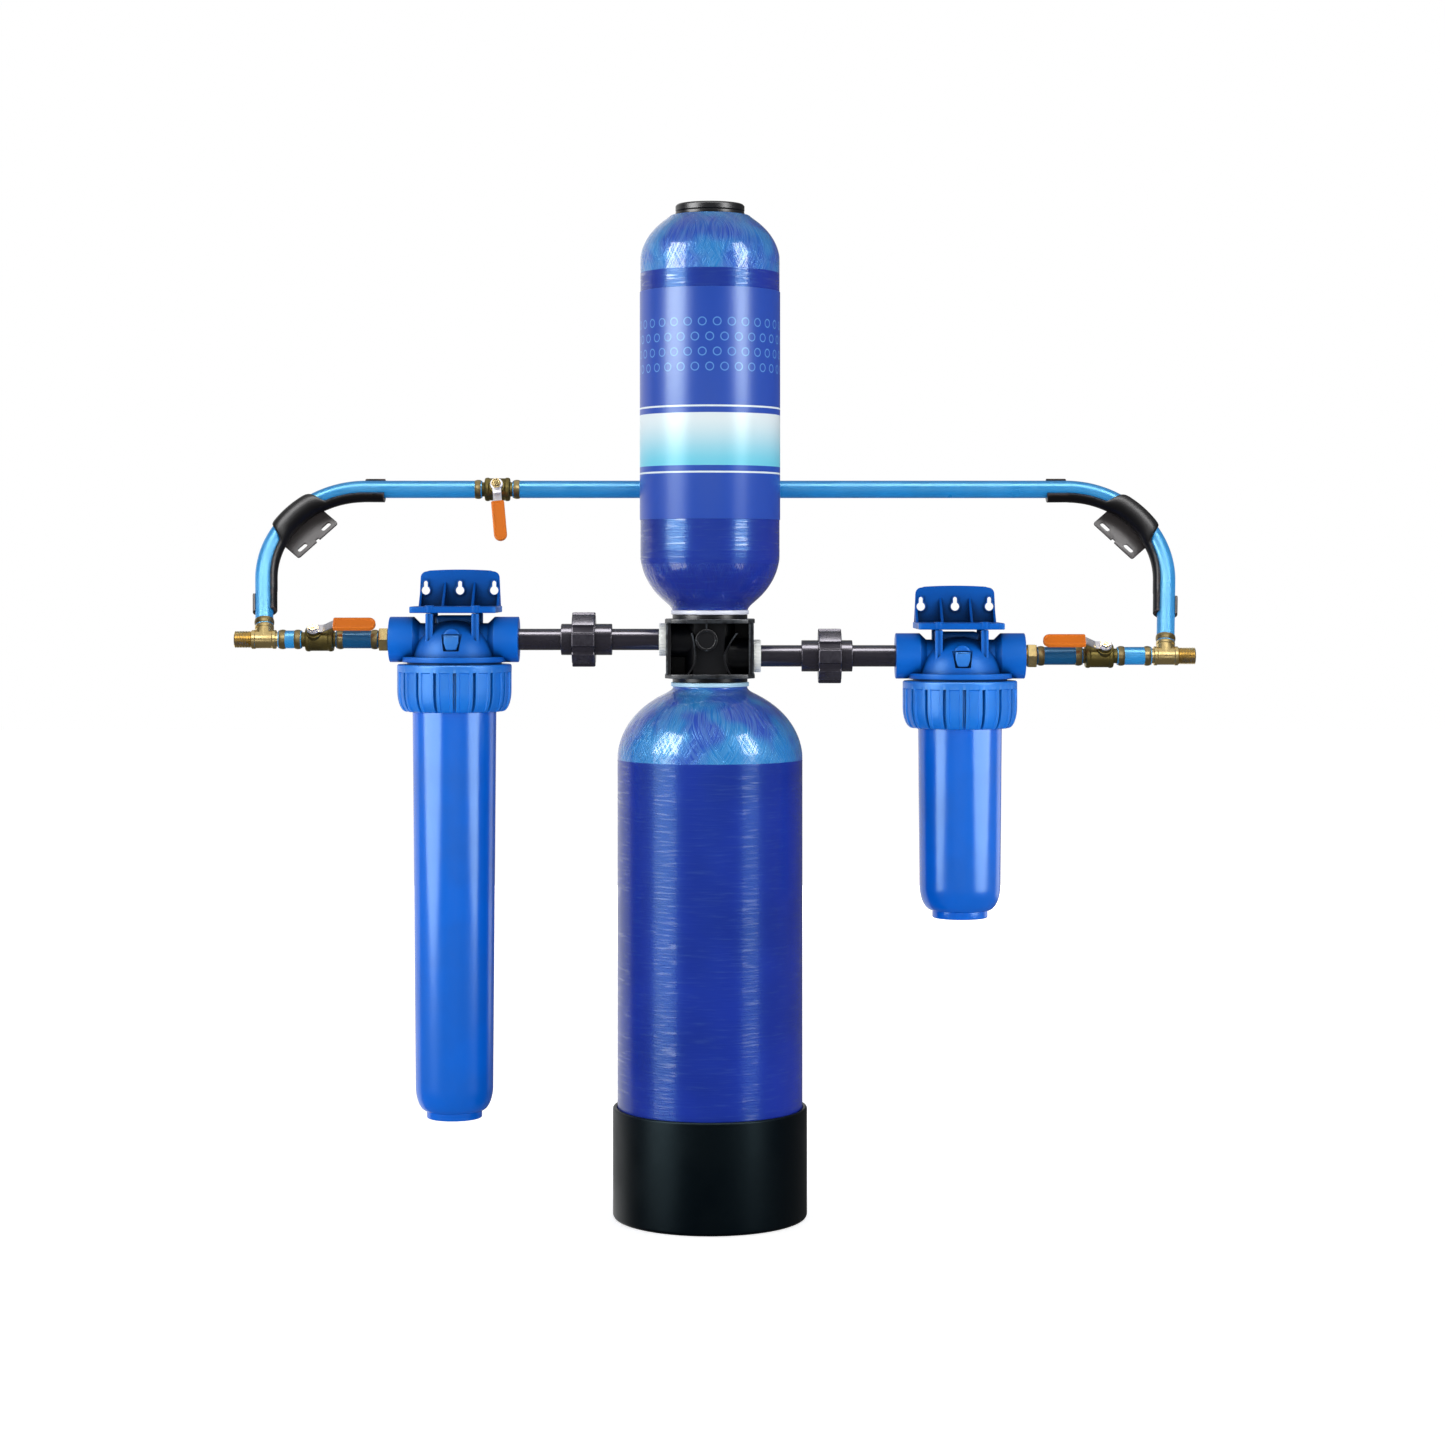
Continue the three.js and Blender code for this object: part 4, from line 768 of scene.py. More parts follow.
@dataclass(frozen=True)
class Moulded(Finish):
    """Moulded plastic or rubber: fine grain, faint patches, painted highlight on edges and painted shade in
    hollows.
    """

    edge_color: RGB = (1, 1, 1)
    edge_share: float = 0.15
    grain: float = 0.04 * MM
    specular: float = 0.5
    gloss_tint: RGB = (1, 1, 1)
    painted_shade: float = 0.0
    painted_shade_reach: float = 25 * MM
    painted_shade_open: float = 0.75

    def paint(self, bench: Bench) -> dict[str, object]:
        """Edges mix in edge colour as painted highlight, hollows get painted shade, patches vary roughness by
        a tenth.

        Args:
            bench: the material's bench.

        Returns:
            What the shader's inputs take.
        """
        grain = GRAIN.put(bench)
        patches = grain["Patches"]
        # Painted highlight: raised edges mix in the edge colour.
        mask = bench.times(EDGE.put(bench)["Mask"], self.edge_share)
        body = bench.mix(mask, bench.mix(patches, self.color, self.shade(0.86)), self.edge_color)
        # Painted shade: where ambient occlusion finds the surface covered, the colour is darkened.
        if self.painted_shade:
            cover = bench.node("ShaderNodeAmbientOcclusion", samples=6)
            open_share = bench.fill(cover, distance=self.painted_shade_reach)["AO"]
            share = bench.ramp(open_share, 0.2 * self.painted_shade_open, self.painted_shade_open, self.painted_shade, 0.0)
            body = bench.mix(share, body, self.shade(0.12))
        rough = bench.ramp(patches, 0.0, 1.0, 0.9 * self.roughness, 1.1 * self.roughness)
        return {"base_color": body, "roughness": rough, "normal": bench.bump(grain["Height"], self.grain),
                "specular_ior_level": self.specular, "specular_tint": self.gloss_tint}


@dataclass(frozen=True)
class WoundTank(Finish):
    """Filament-wound tank under clear resin: a dark belt, and lighter domes of crossing strands."""

    crown: RGB
    sheen: RGB
    strand: RGB
    low_belt: float
    high_belt: float
    clear_belt: float = 0.7
    gloss_tint: RGB = (0.3, 0.75, 1.0)

    def paint(self, bench: Bench) -> dict[str, object]:
        """The winding's height bumps the resin, and its strands and patches mix in lighter blues.

        Args:
            bench: the material's bench.

        Returns:
            What the shader's inputs take.
        """
        wound = WINDING.put(bench, low_belt=self.low_belt, high_belt=self.high_belt)
        patches = GRAIN.put(bench, patch=9.0)["Patches"]
        belt = bench.mix(patches, self.color, self.shade(0.8))
        body = bench.mix(wound["Crown"], belt, bench.mix(wound["Patch"], self.crown, self.sheen))
        clear = bench.blend(wound["Crown"], self.clear_belt, 1.0)
        return {"base_color": bench.mix(bench.times(wound["Strands"], 0.24), body, self.strand),
                "normal": bench.bump(wound["Height"], 0.2 * MM),
                "coat_weight": bench.times(wound["Glint"], clear), "coat_roughness": 0.12,
                "specular_ior_level": 0.45, "specular_tint": self.gloss_tint}


@dataclass(frozen=True)
class PrintedWrap(Finish):
    """Printed film round the upper tank: a pale band between fine lines, under rows of rings."""

    band_low: RGB
    band_high: RGB
    ring_color: RGB
    radius: float = 87.0 * MM
    band_bottom: float = 928.0 * MM
    band_top: float = 992.0 * MM
    line_gap: float = 7.0 * MM
    line_width: float = 2.2 * MM
    rings_around: int = 30
    first_row: int = 57
    last_row: int = 60
    ring_radius: float = 5.4 * MM
    ring_width: float = 1.3 * MM

    def within(self, bench: Bench, value: Socket, low: float, high: float) -> Socket:
        """A mask that is 1 where a value lies between two others, with edges a fifth of a millimetre soft.

        Args:
            bench: the material's bench.
            value: the value.
            low: the lower of the two.
            high: the higher.

        Returns:
            The mask.
        """
        soft = 0.1 * MM
        above = bench.ramp(value, low - soft, low + soft)
        return bench.times(above, bench.ramp(value, high - soft, high + soft, 1.0, 0.0))

    def rings(self, bench: Bench, around: Socket, height: Socket) -> Socket:
        """The ring pattern: in each cell, 1 at a set distance from the cell's middle.

        Args:
            bench: the material's bench.
            around: the length round the tank.
            height: the height.

        Returns:
            The pattern's mask.
        """
        pitch = 2 * math.pi * self.radius / self.rings_around
        level = bench.math("DIVIDE", height, pitch)
        shift = bench.times(bench.math("MODULO", bench.math("FLOOR", level), 2.0), 0.5)
        across = bench.math("ADD", bench.math("DIVIDE", around, pitch), shift)
        dx, dz = (bench.math("SUBTRACT", bench.math("FRACT", part), 0.5) for part in (across, level))
        square = bench.math("ADD", bench.times(dx, dx), bench.times(dz, dz))
        distance = bench.times(bench.math("SQRT", square), pitch)
        ring = self.within(bench, distance, self.ring_radius - self.ring_width, self.ring_radius)
        rows = self.within(bench, height, self.first_row * pitch, (self.last_row + 1) * pitch)
        return bench.times(ring, rows)

    def paint(self, bench: Bench) -> dict[str, object]:
        """Lays the band, the lines beside it and the rings over the blue, by height and by angle.

        Args:
            bench: the material's bench.

        Returns:
            What the shader's inputs take.
        """
        x, y, z = bench.parts(bench.here())
        around = bench.times(bench.math("ARCTAN2", x, bench.times(y, -1.0)), self.radius)
        band = self.within(bench, z, self.band_bottom, self.band_top)
        tone = bench.mix(bench.ramp(z, self.band_bottom, self.band_top), self.band_low, self.band_high)
        starts = self.band_top + self.line_gap, self.band_bottom - self.line_gap - self.line_width
        pair = (self.within(bench, z, start, start + self.line_width) for start in starts)
        lines = bench.math("MAXIMUM", *pair)
        printed = bench.mix(lines, bench.mix(band, self.color, tone), self.band_high)
        printed = bench.mix(bench.times(self.rings(bench, around, z), 0.8), printed, self.ring_color)
        creases = bench.noise(bench.scaled(bench.here(), (5, 5, 220)), 1.0, 2)
        return {"base_color": printed, "normal": bench.bump(creases, 0.12 * MM, 0.6),
                "specular_ior_level": 0.42, "specular_tint": (0.85, 1, 0.8)}


@dataclass(frozen=True)
class Tubing(Finish):
    """Drawn plastic pipe: faint lines along its run."""

    run: RGB = (20, 400, 400)
    specular: float = 0.5
    gloss_tint: RGB = (1, 1, 1)

    def paint(self, bench: Bench) -> dict[str, object]:
        """Noise drawn out along the pipe changes the colour and the roughness a little.

        Args:
            bench: the material's bench.

        Returns:
            What the shader's inputs take.
        """
        lines = bench.noise(bench.scaled(bench.here(), self.run), 1.0, 2)
        patches = GRAIN.put(bench, patch=20.0)["Patches"]
        share = bench.times(bench.math("ADD", lines, patches), 0.5)
        return {"base_color": bench.mix(share, self.color, self.shade(0.85)),
                "roughness": bench.ramp(lines, 0.3, 0.7, 0.8 * self.roughness, 1.2 * self.roughness),
                "normal": bench.bump(lines, 0.008 * MM),
                "specular_ior_level": self.specular, "specular_tint": self.gloss_tint}


@dataclass(frozen=True)
class Metal(Finish):
    """Cast, drawn or plated metal with tarnish in wide patches."""

    tarnish: RGB = (0.1, 0.08, 0.04)
    tarnish_share: float = 0.4
    grain: float = 0.06 * MM

    def paint(self, bench: Bench) -> dict[str, object]:
        """Patches mix in the tarnish and roughen the metal, and edges are rubbed bright.

        Args:
            bench: the material's bench.

        Returns:
            What the shader's inputs take.
        """
        grain = GRAIN.put(bench, grain=700.0, patch=60.0)
        patches = grain["Patches"]
        rubbed = bench.math("SUBTRACT", 1.0, EDGE.put(bench)["Mask"])
        share = bench.times(bench.times(patches, rubbed), self.tarnish_share)
        rough = bench.ramp(patches, 0.0, 1.0, 0.8 * self.roughness, 1.4 * self.roughness)
        return {"base_color": bench.mix(share, self.color, self.tarnish), "roughness": rough,
                "normal": bench.bump(grain["Height"], self.grain), "metallic": 1}


@dataclass(frozen=True)
class Grains(Finish):
    """A bed of grains or a felt, for what lies inside."""

    cell: float = 500.0

    def paint(self, bench: Bench) -> dict[str, object]:
        """Cells of two tones stand out of the surface.

        Args:
            bench: the material's bench.

        Returns:
            What the shader's inputs take.
        """
        cells = bench.node("ShaderNodeTexVoronoi")
        distance = bench.fill(cells, vector=bench.here(), scale=self.cell)["Distance"]
        tone = bench.mix(distance, self.color, self.shade(0.55))
        return {"base_color": tone, "normal": bench.bump(distance, 0.5 * MM)}


# In the moulded finishes below, the edge colour is painted highlight on raised edges, and the last fields set
# painted shade in hollows.
BLUE_GLOSS = (0.45, 0.8, 1.0)
BOOT = Moulded("black_boot", Slot.BOOT, srgb(0, 4, 10), 0.4, edge_share=0.02, specular=0.12,
               gloss_tint=(0.6, 0.9, 1))
LOWER_TANK = WoundTank("lower_tank_winding", Slot.TANK, srgb(26, 46, 160), 0.28, srgb(40, 72, 186),
                       srgb(34, 126, 202), srgb(110, 176, 228), 0.05, 0.566)
UPPER_TANK = WoundTank("upper_tank_winding", Slot.TANK, srgb(28, 46, 156), 0.26, srgb(36, 70, 182),
                       srgb(32, 120, 198), srgb(110, 170, 225), 0.8093, 1.1673, 1.0)
WRAP = PrintedWrap("printed_wrap", Slot.LABEL, srgb(24, 70, 178), 0.3,
                   srgb(108, 206, 232), srgb(224, 236, 242), srgb(96, 160, 226))
BLACK = Moulded("black_manifold", Slot.BLACK, srgb(8, 10, 17), 0.33, srgb(100, 110, 120), 0.35, specular=0.4,
                painted_shade=0.95)
UPPER_GASKET = Moulded("lavender_gasket", Slot.GASKET, srgb(236, 240, 255), 0.45, edge_share=0.1)
LOWER_GASKET = Moulded("pale_blue_gasket", Slot.GASKET, srgb(188, 232, 255), 0.45, edge_share=0.1)
PVC = Tubing("grey_pvc", Slot.PVC, srgb(28, 21, 32), 0.08, gloss_tint=(1, 0.86, 1))
UNION = Moulded("grey_union", Slot.UNION, srgb(38, 36, 45), 0.22, srgb(184, 184, 200), 0.3, specular=0.7,
               gloss_tint=(0.95, 0.9, 1), painted_shade=0.6)
COLLAR = Moulded("pale_collar", Slot.COLLAR, srgb(252, 255, 250), 0.5, edge_share=0.1)
HEAD = Moulded("blue_head", Slot.HEAD, srgb(0, 106, 216), 0.42, srgb(110, 190, 255), 0.35, specular=0.25,
               gloss_tint=BLUE_GLOSS, painted_shade=0.92, painted_shade_reach=50 * MM, painted_shade_open=0.9)
# The bracket is the head's blue made a little darker, with stronger painted shade in its hollows.
BRACKET = Moulded("blue_bracket", Slot.HEAD, srgb(0, 98, 204), 0.42, srgb(90, 170, 250), 0.3, specular=0.12,
                  gloss_tint=BLUE_GLOSS, painted_shade=0.98, painted_shade_reach=85 * MM, painted_shade_open=1.0)
BUTTON = Moulded("light_blue_button", Slot.HEAD, srgb(40, 128, 228), 0.35, srgb(150, 200, 250), 0.3,
                 specular=0.4, gloss_tint=BLUE_GLOSS)
RING_NUT = Moulded("light_blue_nut", Slot.RING_NUT, srgb(14, 122, 232), 0.36, srgb(160, 215, 255), 0.5,
                   gloss_tint=(0.55, 0.9, 1), painted_shade=0.88, painted_shade_reach=8 * MM, painted_shade_open=0.6)
SUMP = Moulded("glossy_blue_bowl", Slot.SUMP, srgb(0, 104, 224), 0.2, edge_share=0.05, grain=0.003 * MM,
               specular=0.6, gloss_tint=(0.7, 1, 1))
SEAL = Moulded("black_seal", Slot.SEAL, srgb(20, 20, 20), 0.6)
CLOTH = Grains("filter_cloth", Slot.CARTRIDGE, srgb(232, 230, 220), 0.9, 1400.0)
BED = Grains("media_bed", Slot.MEDIA, srgb(84, 78, 70), 0.95, 450.0)
PEX = Tubing("light_blue_pex", Slot.PEX, srgb(34, 142, 216), 0.34, (30, 30, 30), 0.7, (0.5, 0.95, 0.95))
# Painted shade: a darker copy of the PEX, for the long stubs.
PEX_PAINTED_SHADE = Tubing("dark_blue_pex", Slot.PEX, srgb(8, 78, 126), 0.34, specular=0.4, gloss_tint=(0.5, 0.8, 1))
BRASS = Metal("cast_brass", Slot.BRASS, srgb(240, 212, 146), 0.3, tarnish_share=0.3, grain=0.03 * MM)
DARK_BRASS = Metal("dull_brass", Slot.BRASS, srgb(150, 134, 76), 0.45, tarnish_share=0.6)
BRONZE = Metal("bronze_crimp", Slot.BRASS, srgb(188, 166, 116), 0.36, tarnish_share=0.6, grain=0.03 * MM)
STEEL = Metal("plated_steel", Slot.STEEL, srgb(240, 238, 244), 0.4, srgb(170, 168, 176), 0.2, 0.004 * MM)
VINYL = Moulded("orange_vinyl", Slot.VINYL, srgb(234, 120, 26), 0.42, srgb(255, 180, 110), 0.35, specular=0.3,
                gloss_tint=(1, 0.8, 0.5))
SUPPORT = Moulded("black_support", Slot.SUPPORT, srgb(10, 8, 12), 0.4, srgb(120, 96, 84), 0.4, specular=0.3)
# Painted light: the plate is the support's material shown as a lighter grey, with its edges darker.
SUPPORT_PLATE = Moulded("grey_plate", Slot.SUPPORT, srgb(60, 56, 56), 0.45, srgb(26, 22, 22), 0.5,
                        specular=0.3)


# Pieces

FRONT = to_front((0, 0, 0))


def dressed(name: str, skin: Skin, finish: Finish, body: str, stands_for: Sequence[str] = (),
            crease: float = 38) -> bpy.types.Object:
    """Makes a piece of the object out of a surface and lets it ride on its body.

    Args:
        name: the piece's name.
        skin: its surface.
        finish: its finish.
        body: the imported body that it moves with.
        stands_for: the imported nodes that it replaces.
        crease: edges that bend by more than this many degrees stay sharp.

    Returns:
        The piece.
    """
    mesh = skin.mesh(name)
    mesh.shade_smooth()
    mesh.set_sharp_from_angle(angle=crease * DEGREE)
    mesh.materials.append(finish.material())
    piece = bpy.data.objects.new(name, mesh)
    bpy.context.scene.collection.objects.link(piece)
    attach(piece, body)
    if stands_for:
        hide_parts(*stands_for)
    LOG.info("%s: %d faces on %s", name, len(mesh.polygons), body)
    return piece


def fine(node: str, skin: Skin, finish: Finish, body: str = "system") -> None:
    """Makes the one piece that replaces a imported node, and is called after it."""
    dressed(f"{node}_fine", skin, finish, body, [node])


def joint_place(child: str) -> np.ndarray:
    """Returns where the joint that carries a body lies."""
    return np.array(next(joint["pos_m"] for joint in frame["joints"] if joint["child"] == child), float)


def finish_node(name: str, finish: Finish) -> None:
    """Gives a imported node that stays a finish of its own.

    Args:
        name: the node's name.
        finish: its finish.
    """
    node = frame["nodes"][name]
    node.data.materials.clear()
    node.data.materials.append(finish.material())


def reach(node: str) -> tuple[float, ...]:
    """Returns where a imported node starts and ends, outwards from the tanks' axis."""
    return tuple(sorted(abs(corner.x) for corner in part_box(node)))


def middle(node: str) -> np.ndarray:
    """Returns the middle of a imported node's box."""
    low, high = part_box(node)
    return (np.array(low) + np.array(high)) / 2


@dataclass
class TankStack:
    """The boot, the two wound tanks, their gaskets, the neck ring with its plug, and the wrap."""

    sides: int = 160
    wall: float = 5 * MM
    neck_radius: float = 45 * MM
    neck_bore: float = 38.5 * MM
    boot_radius: float = 120.3 * MM
    boot_height: float = 136.8 * MM
    boot_floor: float = 5 * MM
    boot_edge: float = 5 * MM
    fit: float = 0.3 * MM
    lower_radius: float = 114.6 * MM
    lower_seam: float = 566 * MM
    lower_rise: float = 93 * MM
    lower_knuckle: float = 45 * MM
    upper_radius: float = 86.2 * MM
    upper_low_rise: float = 79 * MM
    upper_cylinder: float = 358 * MM
    upper_top_rise: float = 68 * MM
    upper_neck_length: float = 4.5 * MM
    upper_bore: float = 35.5 * MM
    gasket_radius: float = 48.3 * MM
    gasket_bore: float = 40 * MM
    ring_bore: float = 34.6 * MM
    plug_radius: float = 34.1 * MM
    plug_recess: float = 20 * MM
    plug_grip: float = 5 * MM
    wrap_thickness: float = 0.5 * MM
    neck_ease: float = 4.5 * MM
    seam_ridge: float = 0.16 * MM

    def dome(self, belt: float, height: float, rise: float, end: float) -> np.ndarray:
        """Profile of a wound dome that eases into the neck.

        The radius is the larger of a quarter ellipse's and the neck's, with the corner between them rounded:
        half the sum of both and of the root of their difference squared plus four times the ease squared.

        Args:
            belt: radius at the belt.
            height: the belt's height.
            rise: how far the whole ellipse would rise.
            end: how far above or below the belt the neck ends.

        Returns:
            Points of radius and height, from the belt to the neck's end.
        """
        levels = abs(end) * np.sin(np.linspace(0, math.pi / 2, 40))
        ellipse = belt * np.sqrt(np.clip(1 - (levels / rise) ** 2, 0, 1))
        gap = np.sqrt((ellipse - self.neck_radius) ** 2 + 4 * self.neck_ease**2)
        radius = np.minimum((ellipse + self.neck_radius + gap) / 2, belt)
        way = math.copysign(1, end)
        ridge = [(belt, height - 2.4 * way * MM), (belt + self.seam_ridge, height - 1.2 * way * MM)]
        return np.vstack([ridge, np.column_stack([radius, height + way * levels])])

    def boot(self) -> Skin:
        """A cup with a round lip and a rounded foot.

        Returns:
            The surface.
        """
        inner, outer, edge = self.lower_radius + self.fit, self.boot_radius, self.boot_edge
        top, floor = self.boot_height, self.boot_floor
        corners = [(0, 0), (outer, 0, edge), (outer, top, edge / 2), (inner, top, edge / 4), (inner, floor),
                   (0, floor)]
        return turned(softened(corners, steps=6), self.sides)

    def lower_tank(self) -> Skin:
        """A round foot, a straight belt and a half-ellipse dome, with an inner wall alike.

        Returns:
            The surface.
        """
        low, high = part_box("lower_tank")
        centre = self.lower_radius - self.lower_knuckle
        foot = low.z + self.lower_knuckle
        inner = self.lower_radius - self.wall
        profile = np.vstack([
            [(0, low.z)],
            arc((centre, foot), self.lower_knuckle, -90, 0, 12),
            self.dome(self.lower_radius, self.lower_seam, self.lower_rise, high.z - self.lower_seam),
            [(self.neck_bore, high.z)],
            ellipse_arc(inner, self.lower_seam, self.lower_rise - self.wall, self.neck_bore)[::-1],
            arc((centre, foot), self.lower_knuckle - self.wall, 0, -90, 12),
            [(0, low.z + self.wall)],
        ])
        return turned(profile, self.sides)

    def upper_tank(self) -> Skin:
        """A dome at each end of a straight belt, open at both necks.

        Returns:
            The surface.
        """
        low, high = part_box("upper_tank")
        neck_share = self.neck_radius / self.upper_radius
        belt = low.z + self.upper_neck_length + self.upper_low_rise * math.sqrt(1 - neck_share**2)
        shoulder = belt + self.upper_cylinder
        inner = self.upper_radius - self.wall
        top_rise, low_rise = self.upper_top_rise, self.upper_low_rise
        profile = np.vstack([
            [(self.neck_bore, low.z)],
            self.dome(self.upper_radius, belt, low_rise, low.z - belt)[::-1],
            self.dome(self.upper_radius, shoulder, top_rise, high.z - shoulder),
            ellipse_arc(inner, shoulder, top_rise - self.wall, self.upper_bore)[::-1],
            ellipse_arc(inner, belt, self.wall - low_rise, self.neck_bore),
        ])
        return turned(profile, self.sides, closed=True)

    def gasket(self, node: str) -> Skin:
        """A flat ring with round edges."""
        low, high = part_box(node)
        return tube(self.gasket_bore, self.gasket_radius, low.z, high.z, 96, 1.2 * MM)

    def neck_ring(self) -> Skin:
        """A ring with a chamfered top and a shallow groove round its side.

        Returns:
            The surface.
        """
        low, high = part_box("neck_ring")
        radius, groove = high.x, 1 * MM
        corners = [
            (self.ring_bore, low.z), (radius, low.z, groove), (radius, low.z + 4 * groove),
            (radius - groove, low.z + 5 * groove), (radius, low.z + 6 * groove),
            (radius, high.z - 2 * groove, groove), (radius - 2 * groove, high.z, groove / 2),
            (self.ring_bore, high.z, groove / 2),
        ]
        return turned(softened(corners, closed=True), 96, closed=True)

    def top_plug(self) -> Skin:
        """A plug with a round recess and a bar across it for a wrench.

        Returns:
            The surface.
        """
        low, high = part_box("top_plug")
        floor = high.z - self.wall
        corners = [
            (0, low.z), (self.plug_radius, low.z), (self.plug_radius, high.z, 1 * MM),
            (self.plug_recess, high.z, 1 * MM), (self.plug_recess, floor, 1 * MM), (0, floor),
        ]
        centre = (0, 0, floor + self.wall / 2 - LAP)
        bar = brick(2 * self.plug_recess, self.plug_grip, self.wall, centre, 1 * MM)
        return merged(turned(softened(corners), 96), [bar])

    def wrap(self) -> Skin:
        """A thin closed ring.

        Returns:
            The surface.
        """
        low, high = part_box("tank_label")
        inner = self.upper_radius + self.fit
        return tube(inner, inner + self.wrap_thickness, low.z, high.z, self.sides, 0.2 * MM)

    def build(self) -> None:
        """Makes and dresses every piece of the stack."""
        pieces = (
            ("boot_shell", self.boot(), BOOT, "boot"),
            ("lower_tank_shell", self.lower_tank(), LOWER_TANK, "lower_tank"),
            ("upper_tank_shell", self.upper_tank(), UPPER_TANK, "upper_tank"),
            ("lower_gasket_ring", self.gasket("lower_gasket"), LOWER_GASKET, "lower_gasket"),
            ("upper_gasket_ring", self.gasket("upper_gasket"), UPPER_GASKET, "upper_gasket"),
            ("neck_ring_turned", self.neck_ring(), BLACK, "neck_ring"),
            ("top_plug_turned", self.top_plug(), BLACK, "top_plug"),
            ("tank_wrap", self.wrap(), WRAP, "tank_label"),
        )
        for name, skin, finish, node in pieces:
            dressed(name, skin, finish, "system", [node])
        for node in ("lower_media", "upper_media"):
            finish_node(node, BED)
        for node in ("lower_riser", "upper_riser"):
            finish_node(node, PVC)


